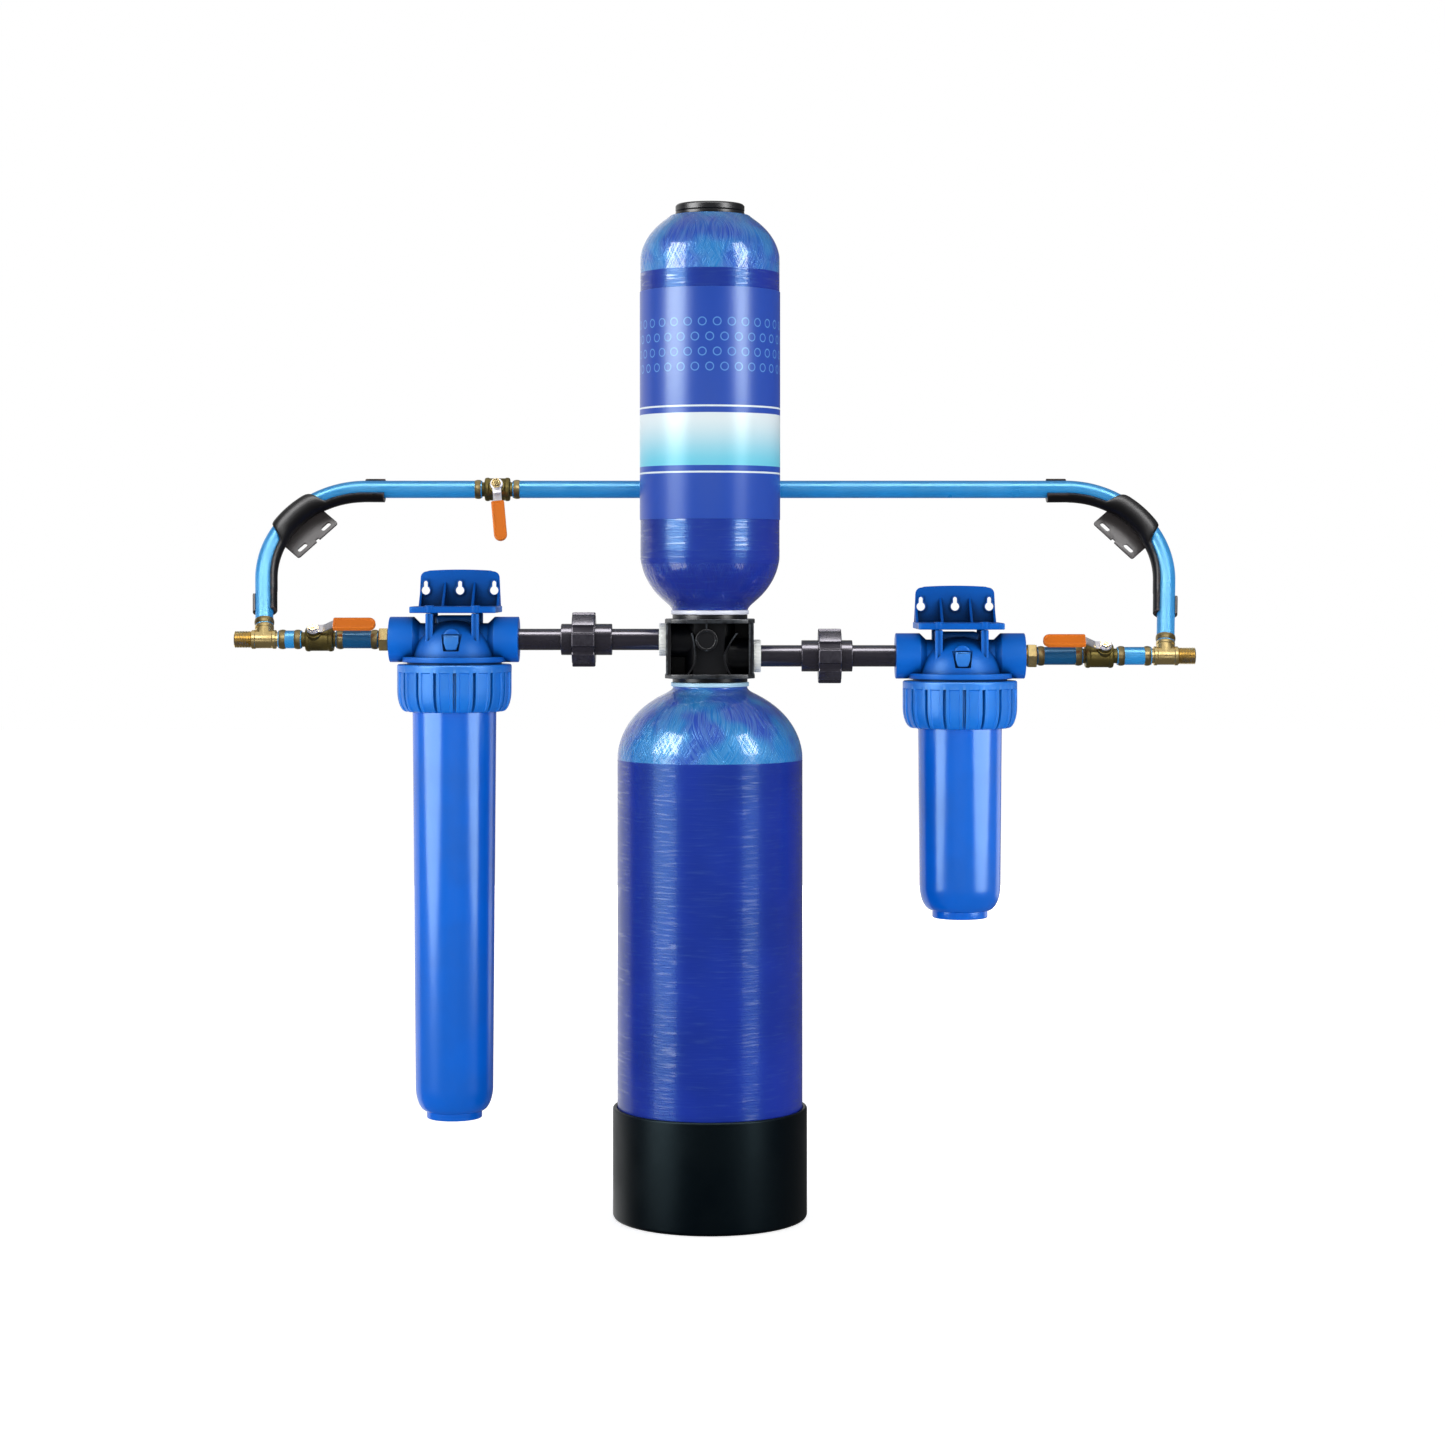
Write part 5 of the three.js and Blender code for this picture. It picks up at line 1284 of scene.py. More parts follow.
@dataclass
class Manifold:
    """The in and out manifold between the tanks: two plates, side walls, a ribbed column and two ports."""

    plate_width: float = 110.6 * MM
    plate_front: float = 28.6 * MM
    plate_facet: float = 47 * MM
    plate_thickness: float = 5.2 * MM
    collar_radius: float = 46.5 * MM
    collar_height: float = 5 * MM
    neck_radius: float = 37.6 * MM
    neck_bore: float = 33 * MM
    body_width: float = 108 * MM
    wall: float = 6 * MM
    wall_depth: float = 76 * MM
    core_radius: float = 31 * MM
    sleeve_radius: float = 22 * MM
    socket_radius: float = 13.9 * MM
    socket_depth: float = 20 * MM
    column_reach: float = 42 * MM
    column_bottom: float = 21.5 * MM
    column_waist: float = 17.5 * MM
    column_top: float = 19 * MM
    rib_reach: float = 49 * MM
    rib_width: float = 2.2 * MM
    boss_radius: float = 13.4 * MM
    boss_reach: float = 53 * MM
    boss_offset: float = -4 * MM
    web_place: float = 18 * MM
    neck_length: float = 5.4 * MM + 14 * MM
    boss_edge: float = 1.2 * MM
    boss_ring: float = 3.2 * MM
    waist_share: float = 0.45

    def plate(self, low: float) -> Skin:
        """A square plate whose corners are cut by two facets each.

        Args:
            low: height of its lower face.

        Returns:
            The surface.
        """
        half, front, facet = self.plate_width / 2, self.plate_front, self.plate_facet
        quarter = np.array([(half, -front), (facet, -facet), (front, -half)])
        corners = np.vstack([quarter * (1, -1), quarter[::-1] * (-1, -1), quarter * (-1, 1), quarter[::-1]])
        return slab(corners, low, low + self.plate_thickness, 0.6 * MM)

    def column(self, low: float, high: float) -> Skin:
        """The front column, whose half width runs straight from bottom to waist and on to the top.

        Args:
            low: where it starts.
            high: where it ends.

        Returns:
            The surface.
        """
        share = np.linspace(0, 1, 25)
        widths = np.interp(share, (0, self.waist_share, 1),
                           (self.column_bottom, self.column_waist, self.column_top))
        heights = low + (high - low) * share
        outline = np.vstack([np.column_stack([widths, heights]), np.column_stack([-widths, heights])[::-1]])
        return slab(outline, 0, self.column_reach).moved(FRONT)

    def rib(self, low: float, high: float, side: int, foot: float, head: float) -> Skin:
        """A thin curved rib beside the column: it leaves the column's waist and flares to both ends.

        Args:
            low: where it starts.
            high: where it ends.
            side: 1 for right, -1 for left.
            foot: how far it stands from the middle at its foot.
            head: how far it stands from the middle at its top.

        Returns:
            The surface.
        """
        share = np.linspace(0, 1, 25)
        waist = self.waist_share
        below = ((waist - share) / waist) ** 2 * (foot - self.column_waist)
        above = (np.clip(share - waist, 0, 1) / (1 - waist)) ** 1.3 * (head - self.column_waist)
        bend = np.where(share < waist, below, above)
        centre = side * (self.column_waist + bend)
        heights = low + (high - low) * share
        half = self.rib_width / 2
        right, left = (np.column_stack([centre + shift, heights]) for shift in (half, -half))
        return slab(np.vstack([right, left[::-1]]), 0, self.rib_reach).moved(FRONT)

    def build(self) -> None:
        """Joins the manifold's forms, cuts its ports and dresses it."""
        low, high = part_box("manifold")
        neck = self.neck_length
        floor = low.z + neck + self.collar_height
        roof = high.z - neck - self.collar_height
        body_low, body_high = floor + self.plate_thickness, roof - self.plate_thickness
        height = body_high - body_low
        inlet, outlet = middle("inlet_collar"), middle("outlet_collar")
        walls = [brick(self.wall, self.wall_depth, height + 2 * MM,
                       (side * (self.body_width - self.wall) / 2, 0, (body_low + body_high) / 2))
                 for side in (-1, 1)]
        web = brick(self.body_width - self.wall, self.wall, height + 2 * MM,
                    (0, self.web_place, (body_low + body_high) / 2))
        sleeves = [rod(self.sleeve_radius, 0, self.body_width / 2).moved(outwards(side, (0, 0, port[2])))
                   for side, port in ((-1, inlet), (1, outlet))]
        stem = rod(self.core_radius, floor + LAP, roof - LAP, 64)
        collars = [rod(self.collar_radius, start, start + self.collar_height + LAP, 96, 0.6 * MM)
                   for start in (floor - self.collar_height, roof - LAP)]
        necks = [rod(self.neck_radius, start, start + neck + LAP, 64)
                 for start in (low.z, high.z - neck - LAP)]
        edge = self.boss_edge
        boss = [
            rod(self.boss_radius, 0, self.boss_reach - edge, 64, edge),
            tube(self.boss_radius - self.boss_ring, self.boss_radius, 0, self.boss_reach, 64, edge / 2),
        ]
        boss = [skin.moved(to_front((self.boss_offset, 0, inlet[2]))) for skin in boss]
        crest = brick(self.rib_width, self.rib_reach, body_high - inlet[2],
                      (self.boss_offset, -self.rib_reach / 2, (body_high + inlet[2]) / 2))
        ribs = [self.rib(body_low - LAP, body_high - 12 * MM, side, foot * MM, head * MM)
                for side, foot, head in ((1, 26, 33), (-1, 28, 22))]
        body = merged(stem, [
            self.plate(floor), self.plate(body_high), *walls, web, *sleeves, *collars, *necks,
            self.column(body_low - LAP, body_high + LAP), *ribs, *boss, crest,
        ])
        half = self.body_width / 2
        ports = [rod(self.socket_radius, half - self.socket_depth, half + LAP).moved(
            outwards(side, (0, 0, port[2]))) for side, port in ((-1, inlet), (1, outlet))]
        bores = [rod(self.neck_bore, start, start + neck, 48)
                 for start in (low.z - LAP, high.z - neck + LAP)]
        dressed("manifold_body", merged(body, ports + bores, Merge.CUT), BLACK, "system", ["manifold"])


@dataclass
class PortLine:
    """The collar, pipe and union between manifold and housing; sizes run outwards from the tanks' axis."""

    name: str
    side: int
    pipe_radius: float = 13.35 * MM
    pipe_wall: float = 3.9 * MM
    barrel_radius: float = 19.5 * MM
    barrel_length: float = 20.5 * MM
    tail_length: float = 14 * MM
    nut_radius: float = 32 * MM
    lug_radius: float = 34.5 * MM
    lug_count: int = 8
    thread_radius: float = 28.5 * MM
    flange_radius: float = 26 * MM
    end_wall: float = 4.6 * MM
    thread_length: float = 17 * MM
    fit: float = 0.3 * MM
    collar_flutes: int = 28

    def collar(self) -> Skin:
        """A fluted ring: the radius falls by a small share of a cosine's power round the rim.

        Returns:
            The surface.
        """
        start, end = reach(f"{self.name}_collar")
        low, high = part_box(f"{self.name}_collar")
        radius = (high.z - low.z) / 2
        bore = self.pipe_radius + self.fit
        edge = 0.8 * MM
        corners = [(bore, start), (radius, start, edge), (radius, end, edge), (bore, end)]
        profile = softened(corners, closed=True)
        angles = np.arange(168) * 2 * math.pi / 168
        dip = 0.5 * MM * (0.5 - 0.5 * np.cos(self.collar_flutes * angles)) ** 2
        radii = profile[:, 0, None] - np.where(profile[:, :1] > radius - 2 * edge, dip, 0)
        return swept(radii, profile[:, 1:], angles)

    def body(self) -> Skin:
        """The pipe out of the manifold with the union's barrel and thread on its end.

        Returns:
            The surface.
        """
        start, end = reach(f"{self.name}_union_body")
        barrel_end = end - self.thread_length
        barrel = barrel_end - self.barrel_length
        bore = self.pipe_radius - self.pipe_wall
        edge = 1 * MM
        corners = [
            (bore, start), (self.pipe_radius, start), (self.pipe_radius, barrel),
            (self.barrel_radius, barrel, edge), (self.barrel_radius, barrel_end),
            (self.thread_radius, barrel_end), (self.thread_radius, end), (bore, end),
        ]
        return turned(softened(corners, closed=True), 64, closed=True)

    def tail(self) -> Skin:
        """The flange inside the nut, the barrel outside it and the pipe into the housing.

        Returns:
            The surface.
        """
        start, end = reach(f"{self.name}_union_tail")
        _, nut_end = reach(f"{self.name}_union_nut")
        bore = self.pipe_radius - self.pipe_wall
        flange_end = nut_end - self.end_wall - self.fit
        barrel_end = nut_end + self.tail_length
        edge = 1 * MM
        corners = [
            (bore, start), (self.flange_radius, start), (self.flange_radius, flange_end),
            (self.barrel_radius, flange_end), (self.barrel_radius, barrel_end, edge),
            (self.pipe_radius, barrel_end), (self.pipe_radius, end), (bore, end),
        ]
        return turned(softened(corners, closed=True), 64, closed=True)

    def nut(self) -> Skin:
        """A nut whose outline steps out to a lug eight times, with a bore in two sizes.

        Returns:
            The surface.
        """
        start, end = reach(f"{self.name}_union_nut")
        pitch = 360 / self.lug_count
        outline = []
        for lug in range(self.lug_count):
            for share, radius in ((-0.36, self.nut_radius), (-0.28, self.lug_radius),
                                  (0.28, self.lug_radius), (0.36, self.nut_radius)):
                angle = (lug + share) * pitch * DEGREE
                outline.append((radius * math.cos(angle), radius * math.sin(angle), 0.8 * MM))
        body = slab(softened(outline, closed=True, steps=3), start, end, 1.4 * MM)
        step = end - self.end_wall
        bores = [rod(self.thread_radius + self.fit, start - LAP, step, 64),
                 rod(self.barrel_radius + self.fit, start, end + LAP, 64)]
        return merged(body, bores, Merge.CUT)

    def build(self) -> None:
        """Makes and dresses the line's pieces."""
        height = middle(f"{self.name}_collar")[2]
        lie = outwards(self.side, (0, 0, height))
        pieces = (
            ("collar", self.collar(), COLLAR, "system"),
            ("union_body", self.body(), UNION, "system"),
            ("union_tail", self.tail(), UNION, "system"),
            ("union_nut", self.nut(), UNION, f"{self.name}_nut"),
        )
        for piece, skin, finish, body in pieces:
            fine(f"{self.name}_{piece}", skin.moved(lie), finish, body)


@dataclass
class Housing:
    """A filter housing: head with ports, relief button, ring nut, bowl and wall bracket."""

    name: str
    line: str
    foot_radius: float
    port_half: float = 80 * MM
    port_radius: float = 28.2 * MM
    port_straight: float = 30 * MM
    port_chamfer: float = 8 * MM
    port_neck: float = 20.4 * MM
    port_bore: float = 13.9 * MM
    port_depth: float = 20 * MM
    dome_radius: float = 52 * MM
    dome_top: float = 23.7 * MM
    dome_base: float = -21 * MM
    flange_radius: float = 65 * MM
    flange_bottom: float = -28 * MM
    skirt_radius: float = 58.5 * MM
    skirt_bottom: float = -60.3 * MM
    cavity_radius: float = 47 * MM
    cavity_top: float = -22 * MM
    boss_radius: float = 15 * MM
    boss_bottom: float = -38 * MM
    back_width: float = 48 * MM
    back_top: float = 29.8 * MM
    back_reach: float = 44 * MM
    post_width: float = 9.4 * MM
    post_offset: float = 28.2 * MM
    post_depth: float = 30 * MM
    post_foot: float = -10 * MM
    shelf_bottom: float = 33 * MM
    shelf_thickness: float = 8 * MM
    shelf_front: float = 36 * MM
    shelf_bow: float = 6 * MM
    shelf_boss: float = 6.2 * MM
    bracket_ribs: tuple[tuple[float, float, float], ...] = (
        (-18.5, 40, 71), (18.5, 40, 71), (-49, 22, 60.6), (49, 22, 60.6))
    fit: float = 0.3 * MM
    relief_height: float = -3.3 * MM
    recess_width: float = 25.3 * MM
    recess_bottom: float = 19 * MM
    recess_height: float = 21 * MM
    recess_reach: float = 38 * MM
    hood_radius: float = 10.5 * MM
    lip_size: tuple[float, float, float] = (2.4 * MM, 16 * MM, 7 * MM)
    button_width: float = 18.2 * MM
    button_bottom: float = 12.6 * MM
    button_height: float = 18.2 * MM
    button_reach: float = 50 * MM
    button_thickness: float = 8.6 * MM
    nut_radius: float = 70.8 * MM
    nut_top: float = -30.4 * MM
    nut_bottom: float = -88.8 * MM
    nut_band: float = 9.2 * MM
    nut_curve: float = -62.4 * MM
    nut_foot: float = 60 * MM
    nut_turn: float = 0.0
    pad_count: int = 18
    groove_depth: float = 5.5 * MM
    panel_depth: float = 1.8 * MM
    sump_radius: float = 52 * MM
    sump_wall: float = 3.8 * MM
    sump_flange: float = 58.5 * MM
    sump_flange_top: float = -63.6 * MM
    sump_flange_bottom: float = -71.4 * MM
    ring_radius: float = 34.3 * MM
    ring_wall: float = 4 * MM
    ring_height: float = 9 * MM
    knuckle: float = 30 * MM
    bracket_width: float = 106 * MM
    bracket_top: float = 87 * MM
    bracket_side: float = 84.7 * MM
    bracket_back: float = 82 * MM
    bracket_plate: float = 4 * MM
    bracket_corner: float = 8 * MM
    keyhole_spacing: float = 43.3 * MM
    keyhole_height: float = 60.6 * MM
    keyhole_radius: float = 5.4 * MM
    keyhole_slot: float = 5.2 * MM
    keyhole_top: float = 72.7 * MM

    def centre(self) -> np.ndarray:
        """Returns the housing's own origin: its axis at the height of its ports."""
        sump, tail = middle(f"{self.name}_sump"), middle(f"{self.line}_union_tail")
        return np.array([sump[0], 0, tail[2]])

    def port(self, side: int) -> Skin:
        """A port with a chamfer down to its neck.

        Args:
            side: 1 for right, -1 for left.

        Returns:
            The surface.
        """
        shoulder = self.port_half - self.port_straight
        corners = [
            (0, 0), (self.port_neck, 0), (self.port_neck, shoulder - self.port_chamfer, 2 * MM),
            (self.port_radius, shoulder, 1.5 * MM), (self.port_radius, self.port_half, 1 * MM),
            (0, self.port_half),
        ]
        return turned(softened(corners), 72).moved(outwards(side))

    def head(self) -> Skin:
        """The dome over a flange and skirt, with both ports, four posts and the relief button's recess.

        Returns:
            The surface.
        """
        edge = 1 * MM
        profile = np.vstack([
            softened([
                (0, self.boss_bottom), (self.boss_radius, self.boss_bottom),
                (self.boss_radius, self.cavity_top), (self.cavity_radius, self.cavity_top),
                (self.cavity_radius, self.skirt_bottom),
                (self.skirt_radius, self.skirt_bottom), (self.skirt_radius, self.flange_bottom),
                (self.flange_radius, self.flange_bottom, edge), (self.flange_radius, self.dome_base, edge),
                (self.dome_radius, self.dome_base),
            ]),
            ellipse_arc(self.dome_radius, self.dome_base, self.dome_top - self.dome_base, 0),
        ])
        body = turned(profile, 120)
        back = brick(self.back_width, self.back_reach, self.back_top,
                     (0, self.back_reach / 2, self.back_top / 2), 4 * MM)
        post_top = self.shelf_bottom - self.fit
        height = post_top - self.post_foot
        posts = [brick(self.post_width, self.post_width, height,
                       (x * self.post_offset, y * self.post_depth, post_top - height / 2), 1.5 * MM)
                 for x in (-1, 1) for y in (-1, 1)]
        lips = [brick(*self.lip_size, (x, 0, self.dome_base), 0.6 * MM)
                for x in (2 * MM - self.flange_radius, self.flange_radius - 2 * MM)]
        hood_height = self.relief_height + self.recess_height / 2
        hood = slab(arc((0, 0), self.hood_radius, 0, 360, 48)[:-1], 0, self.recess_reach + 4 * MM, 2.5 * MM)
        hood = hood.moved(to_front((0, 0, hood_height - 3.5 * MM)))
        whole = merged(body, [self.port(-1), self.port(1), back, *posts, *lips, hood])
        half, lower, tall = self.recess_width / 2, self.recess_bottom / 2, self.recess_height / 2
        recess = softened([(half, tall, 1 * MM), (-half, tall, 1 * MM), (-lower, -tall, 1 * MM),
                           (lower, -tall, 1 * MM)], closed=True)
        pocket = slab(recess, self.recess_reach, 2 * self.dome_radius)
        pocket = pocket.moved(to_front((0, 0, self.relief_height)))
        socket = rod(self.port_bore, self.port_half - self.port_depth, self.port_half + LAP)
        sockets = [socket.moved(outwards(side)) for side in (-1, 1)]
        front, level = -self.post_depth - self.post_width / 2, post_top - height / 2
        grooves = [brick(3.2 * MM, 3 * MM, height, (x * self.post_offset, front, level), 0.4 * MM)
                   for x in (-1, 1)]
        return merged(whole, [pocket, *grooves, *sockets], Merge.CUT)

    def button(self) -> Skin:
        """A shield: wide and flat above, drawn in below, crowned in front, on a stem.

        Returns:
            The surface.
        """
        half, lower, tall = self.button_width / 2, self.button_bottom / 2, self.button_height / 2
        outline = softened([(half, tall, 1.2 * MM), (-half, tall, 1.2 * MM), (-half, 0, 6 * MM),
                            (-lower, -tall, 3 * MM), (lower, -tall, 3 * MM), (half, 0, 6 * MM)], closed=True)
        back = self.button_reach - self.button_thickness
        cap = slab(outline, back, self.button_reach, 2 * MM)
        stem = rod(3.4 * MM, back - 8 * MM, back + LAP, 24)
        return merged(cap, [stem]).moved(to_front((0, 0, self.relief_height)))

    def ring_nut(self) -> Skin:
        """The ring nut, whose radius depends on height and angle.

        Below a plain band the side is straight, then follows a quarter ellipse in to the foot. Round the nut
        the depth is drawn from the distance to the nearest groove, in shares of a pad: a narrow groove, a
        raised rib on each side of it, and a sunk panel between the ribs.

        Returns:
            The surface.
        """
        band = self.nut_top - self.nut_band
        bend = np.linspace(0, math.pi / 2, 16)
        below = np.linspace(band, self.nut_curve, 9)[1:-1]
        straight = np.concatenate([[band, band - 0.6 * MM, band - 1.2 * MM], below])
        curve = self.nut_foot + (self.nut_radius - self.nut_foot) * np.cos(bend)
        outer = np.concatenate([np.full(len(straight), self.nut_radius), curve])
        fall = self.nut_curve - (self.nut_curve - self.nut_bottom) * np.sin(bend)
        heights = np.concatenate([straight, fall])
        half = np.array([0, 0.035, 0.062, 0.066, 0.084, 0.088, 0.12, 0.17,
                         0.23, 0.236, 0.262, 0.268, 0.34, 0.42])
        shares = np.concatenate([half, [0.5], 1 - half[:0:-1]])
        away = np.minimum(shares, 1 - shares)
        sunk = np.interp(away, (0.064, 0.086, 0.233, 0.265), (self.groove_depth, 0, 0, self.panel_depth))
        depth = np.tile(sunk, self.pad_count)
        fade = np.clip((band - heights) / (1.2 * MM), 0, 1)
        radii = outer[:, None] - fade[:, None] * depth
        angles = (np.arange(self.pad_count)[:, None] + shares).ravel() * 2 * math.pi / self.pad_count
        seat, thread = self.sump_flange_bottom - self.fit, self.sump_flange + self.fit
        neck = self.sump_radius + self.fit
        upper = softened([(thread, self.nut_top), (self.nut_radius, self.nut_top, 2.3 * MM),
                          (self.nut_radius, band)])
        lower = np.array([(neck, self.nut_bottom), (neck, seat), (thread, seat)])
        plain = np.ones_like(angles)
        all_radii = np.vstack([upper[:, :1] * plain, radii, lower[:, :1] * plain])
        all_heights = np.concatenate([upper[:, 1], heights, lower[:, 1]])[:, None]
        return swept(all_radii, all_heights, angles - math.pi / 2 + self.nut_turn * DEGREE)

    @staticmethod
    def corner(wide: float, height: float, narrow: float, drop: float) -> np.ndarray:
        """A quarter ellipse from a wide radius at a height in to a narrow one below it."""
        turn = np.linspace(0, math.pi / 2, 18)
        return np.column_stack([narrow + (wide - narrow) * np.cos(turn), height - drop * np.sin(turn)])

    def sump(self, bottom: float) -> Skin:
        """The tapered bowl: a flange, a straight draft, a round bottom and a foot ring.

        Args:
            bottom: height of its foot.

        Returns:
            The surface.
        """
        floor = bottom + self.ring_height
        knuckle = floor + self.knuckle
        inner_foot = self.foot_radius - self.sump_wall
        ring = self.ring_radius
        profile = np.vstack([
            [(0, floor), (ring - self.ring_wall, floor), (ring - self.ring_wall, bottom)],
            softened([(ring - self.ring_wall, bottom), (ring, bottom, 1.5 * MM), (ring, floor)])[1:],
            self.corner(self.foot_radius, knuckle, ring, self.knuckle)[::-1],
            [(self.sump_radius, self.sump_flange_bottom), (self.sump_flange, self.sump_flange_bottom),
             (self.sump_flange, self.sump_flange_top),
             (self.sump_radius - self.sump_wall, self.sump_flange_top)],
            self.corner(inner_foot, knuckle, ring, self.knuckle - self.sump_wall),
            [(0, floor + self.sump_wall)],
        ])
        return turned(profile, 120)

    def keyhole(self, x: float) -> np.ndarray:
        """A keyhole's outline: most of a circle with a slot above it.

        Args:
            x: where its middle is.

        Returns:
            The points.
        """
        half = self.keyhole_slot / 2
        mouth = math.asin(half / self.keyhole_radius) / DEGREE
        return np.vstack([
            arc((x, self.keyhole_height), self.keyhole_radius, 90 + mouth, 450 - mouth, 24),
            arc((x, self.keyhole_top - half), half, 0, 180, 10),
        ])

    def bracket(self) -> Skin:
        """The wall bracket: a bowed plate with rimmed keyholes, a bowed shelf with bosses, and ribs.

        Returns:
            The surface.
        """
        half = self.bracket_width / 2 - 1 * MM
        corner = self.bracket_corner
        crown = np.linspace(half - corner, corner - half, 17)
        lift = (self.bracket_top - self.bracket_side) * (1 - (crown / half) ** 2)
        outline = np.vstack([
            [(half, self.shelf_bottom + 1 * MM)],
            arc((half - corner - 2 * MM, self.bracket_side - corner), corner, 0, 90, 6),
            np.column_stack([crown, self.bracket_side + lift])[1:-1],
            arc((2 * MM + corner - half, self.bracket_side - corner), corner, 90, 180, 6),
            [(-half, self.shelf_bottom + 1 * MM)],
        ])
        back = to_front((0, self.bracket_back, 0))
        plate = slab(outline, 0, self.bracket_plate, 0.8 * MM).moved(back)
        wide, front, bow = self.bracket_width / 2, self.shelf_front, self.shelf_bow
        bowed = np.linspace(-wide, wide, 25)
        shelf_line = np.vstack([
            np.column_stack([bowed, -front + bow * (np.abs(bowed) / wide) ** 2.5]),
            [(wide, self.bracket_back), (-wide, self.bracket_back)],
        ])
        shelf_top = self.shelf_bottom + self.shelf_thickness
        shelf = slab(shelf_line, self.shelf_bottom, shelf_top, 1.2 * MM)
        boss = rod(self.shelf_boss, self.shelf_bottom - 0.1 * MM, shelf_top + 1.5 * MM, 40, 1.5 * MM)
        bosses = [boss.moved(place((x * self.post_offset, -self.post_depth, 0))) for x in (-1, 1)]
        plate_front = self.bracket_back - self.bracket_plate
        ribs = [self.rib(*rib, plate_front, shelf_top) for rib in self.bracket_ribs]
        steps = (-1, 0, 1)
        rims = [self.rim(step * self.keyhole_spacing).moved(back) for step in steps]
        whole = merged(plate, [shelf, *bosses, *ribs, *rims])
        holes = [slab(self.keyhole(step * self.keyhole_spacing), -LAP, 3 * self.bracket_plate).moved(back)
                 for step in steps]
        return merged(whole, holes, Merge.CUT)

    def rim(self, x: float) -> Skin:
        """The raised rim round a keyhole: its outline grown by a millimetre and a half."""
        outline = inset(self.keyhole(x), -1.5 * MM)
        return slab(outline, 0, self.bracket_plate + 3 * MM, 0.5 * MM)

    def rib(self, x: float, reach: float, top: float, front: float, shelf: float) -> Skin:
        """A sloped rib between plate and shelf; x, reach and top come in millimetres.

        Args:
            x: where its middle is.
            reach: how far it reaches over the shelf.
            top: how high it reaches on the plate.
            front: where the plate's front is.
            shelf: height of the shelf's top.

        Returns:
            The surface.
        """
        outline = np.array([(reach * MM - front, shelf - LAP), (-front, top * MM),
                            (-front - LAP, top * MM), (-front - LAP, shelf - LAP)])
        half = 1.5 * MM
        flat = slab(outline, x * MM - half, x * MM + half, 0.5 * MM)
        return flat.moved(axes((0, -1, 0), (0, 0, 1), (1, 0, 0)))

    def cartridge(self) -> Skin:
        """A pleated sleeve: its radius is a triangle wave of the angle, between two end caps.

        Returns:
            The surface.
        """
        low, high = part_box(f"{self.name}_cartridge")
        pleats, depth, radius, bore = 48, 4 * MM, 31.4 * MM, 14 * MM
        angles = np.arange(pleats * 4) * math.pi / pleats / 2
        wave = np.abs((angles * pleats / (2 * math.pi)) % 1 - 0.5) * 2
        cap = 8 * MM
        z = self.centre()[2]
        levels = np.array([low.z, low.z + cap, low.z + cap, high.z - cap, high.z - cap, high.z]) - z
        plain = np.ones_like(angles)
        radii = np.array([radius * plain] * 2 + [radius - depth * wave] * 2 + [radius * plain] * 2
                         + [bore * plain] * 2)
        return swept(radii, np.append(levels, [levels[-1], levels[0]])[:, None], angles)

    def build(self) -> None:
        """Makes and dresses the housing's pieces."""
        centre = self.centre()
        low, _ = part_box(f"{self.name}_sump")
        here = place(centre)
        pieces = (
            ("head", self.head(), HEAD, "system"),
            ("bracket", self.bracket(), BRACKET, "system"),
            ("relief_button", self.button(), BUTTON, f"{self.name}_button"),
            ("ring_nut", self.ring_nut(), RING_NUT, f"{self.name}_nut"),
            ("sump", self.sump(low.z - centre[2]), SUMP, f"{self.name}_bowl"),
            ("cartridge", self.cartridge(), CLOTH, f"{self.name}_bowl"),
        )
        for piece, skin, finish, body in pieces:
            fine(f"{self.name}_{piece}", skin.moved(here), finish, body)
        finish_node(f"{self.name}_o_ring", SEAL)


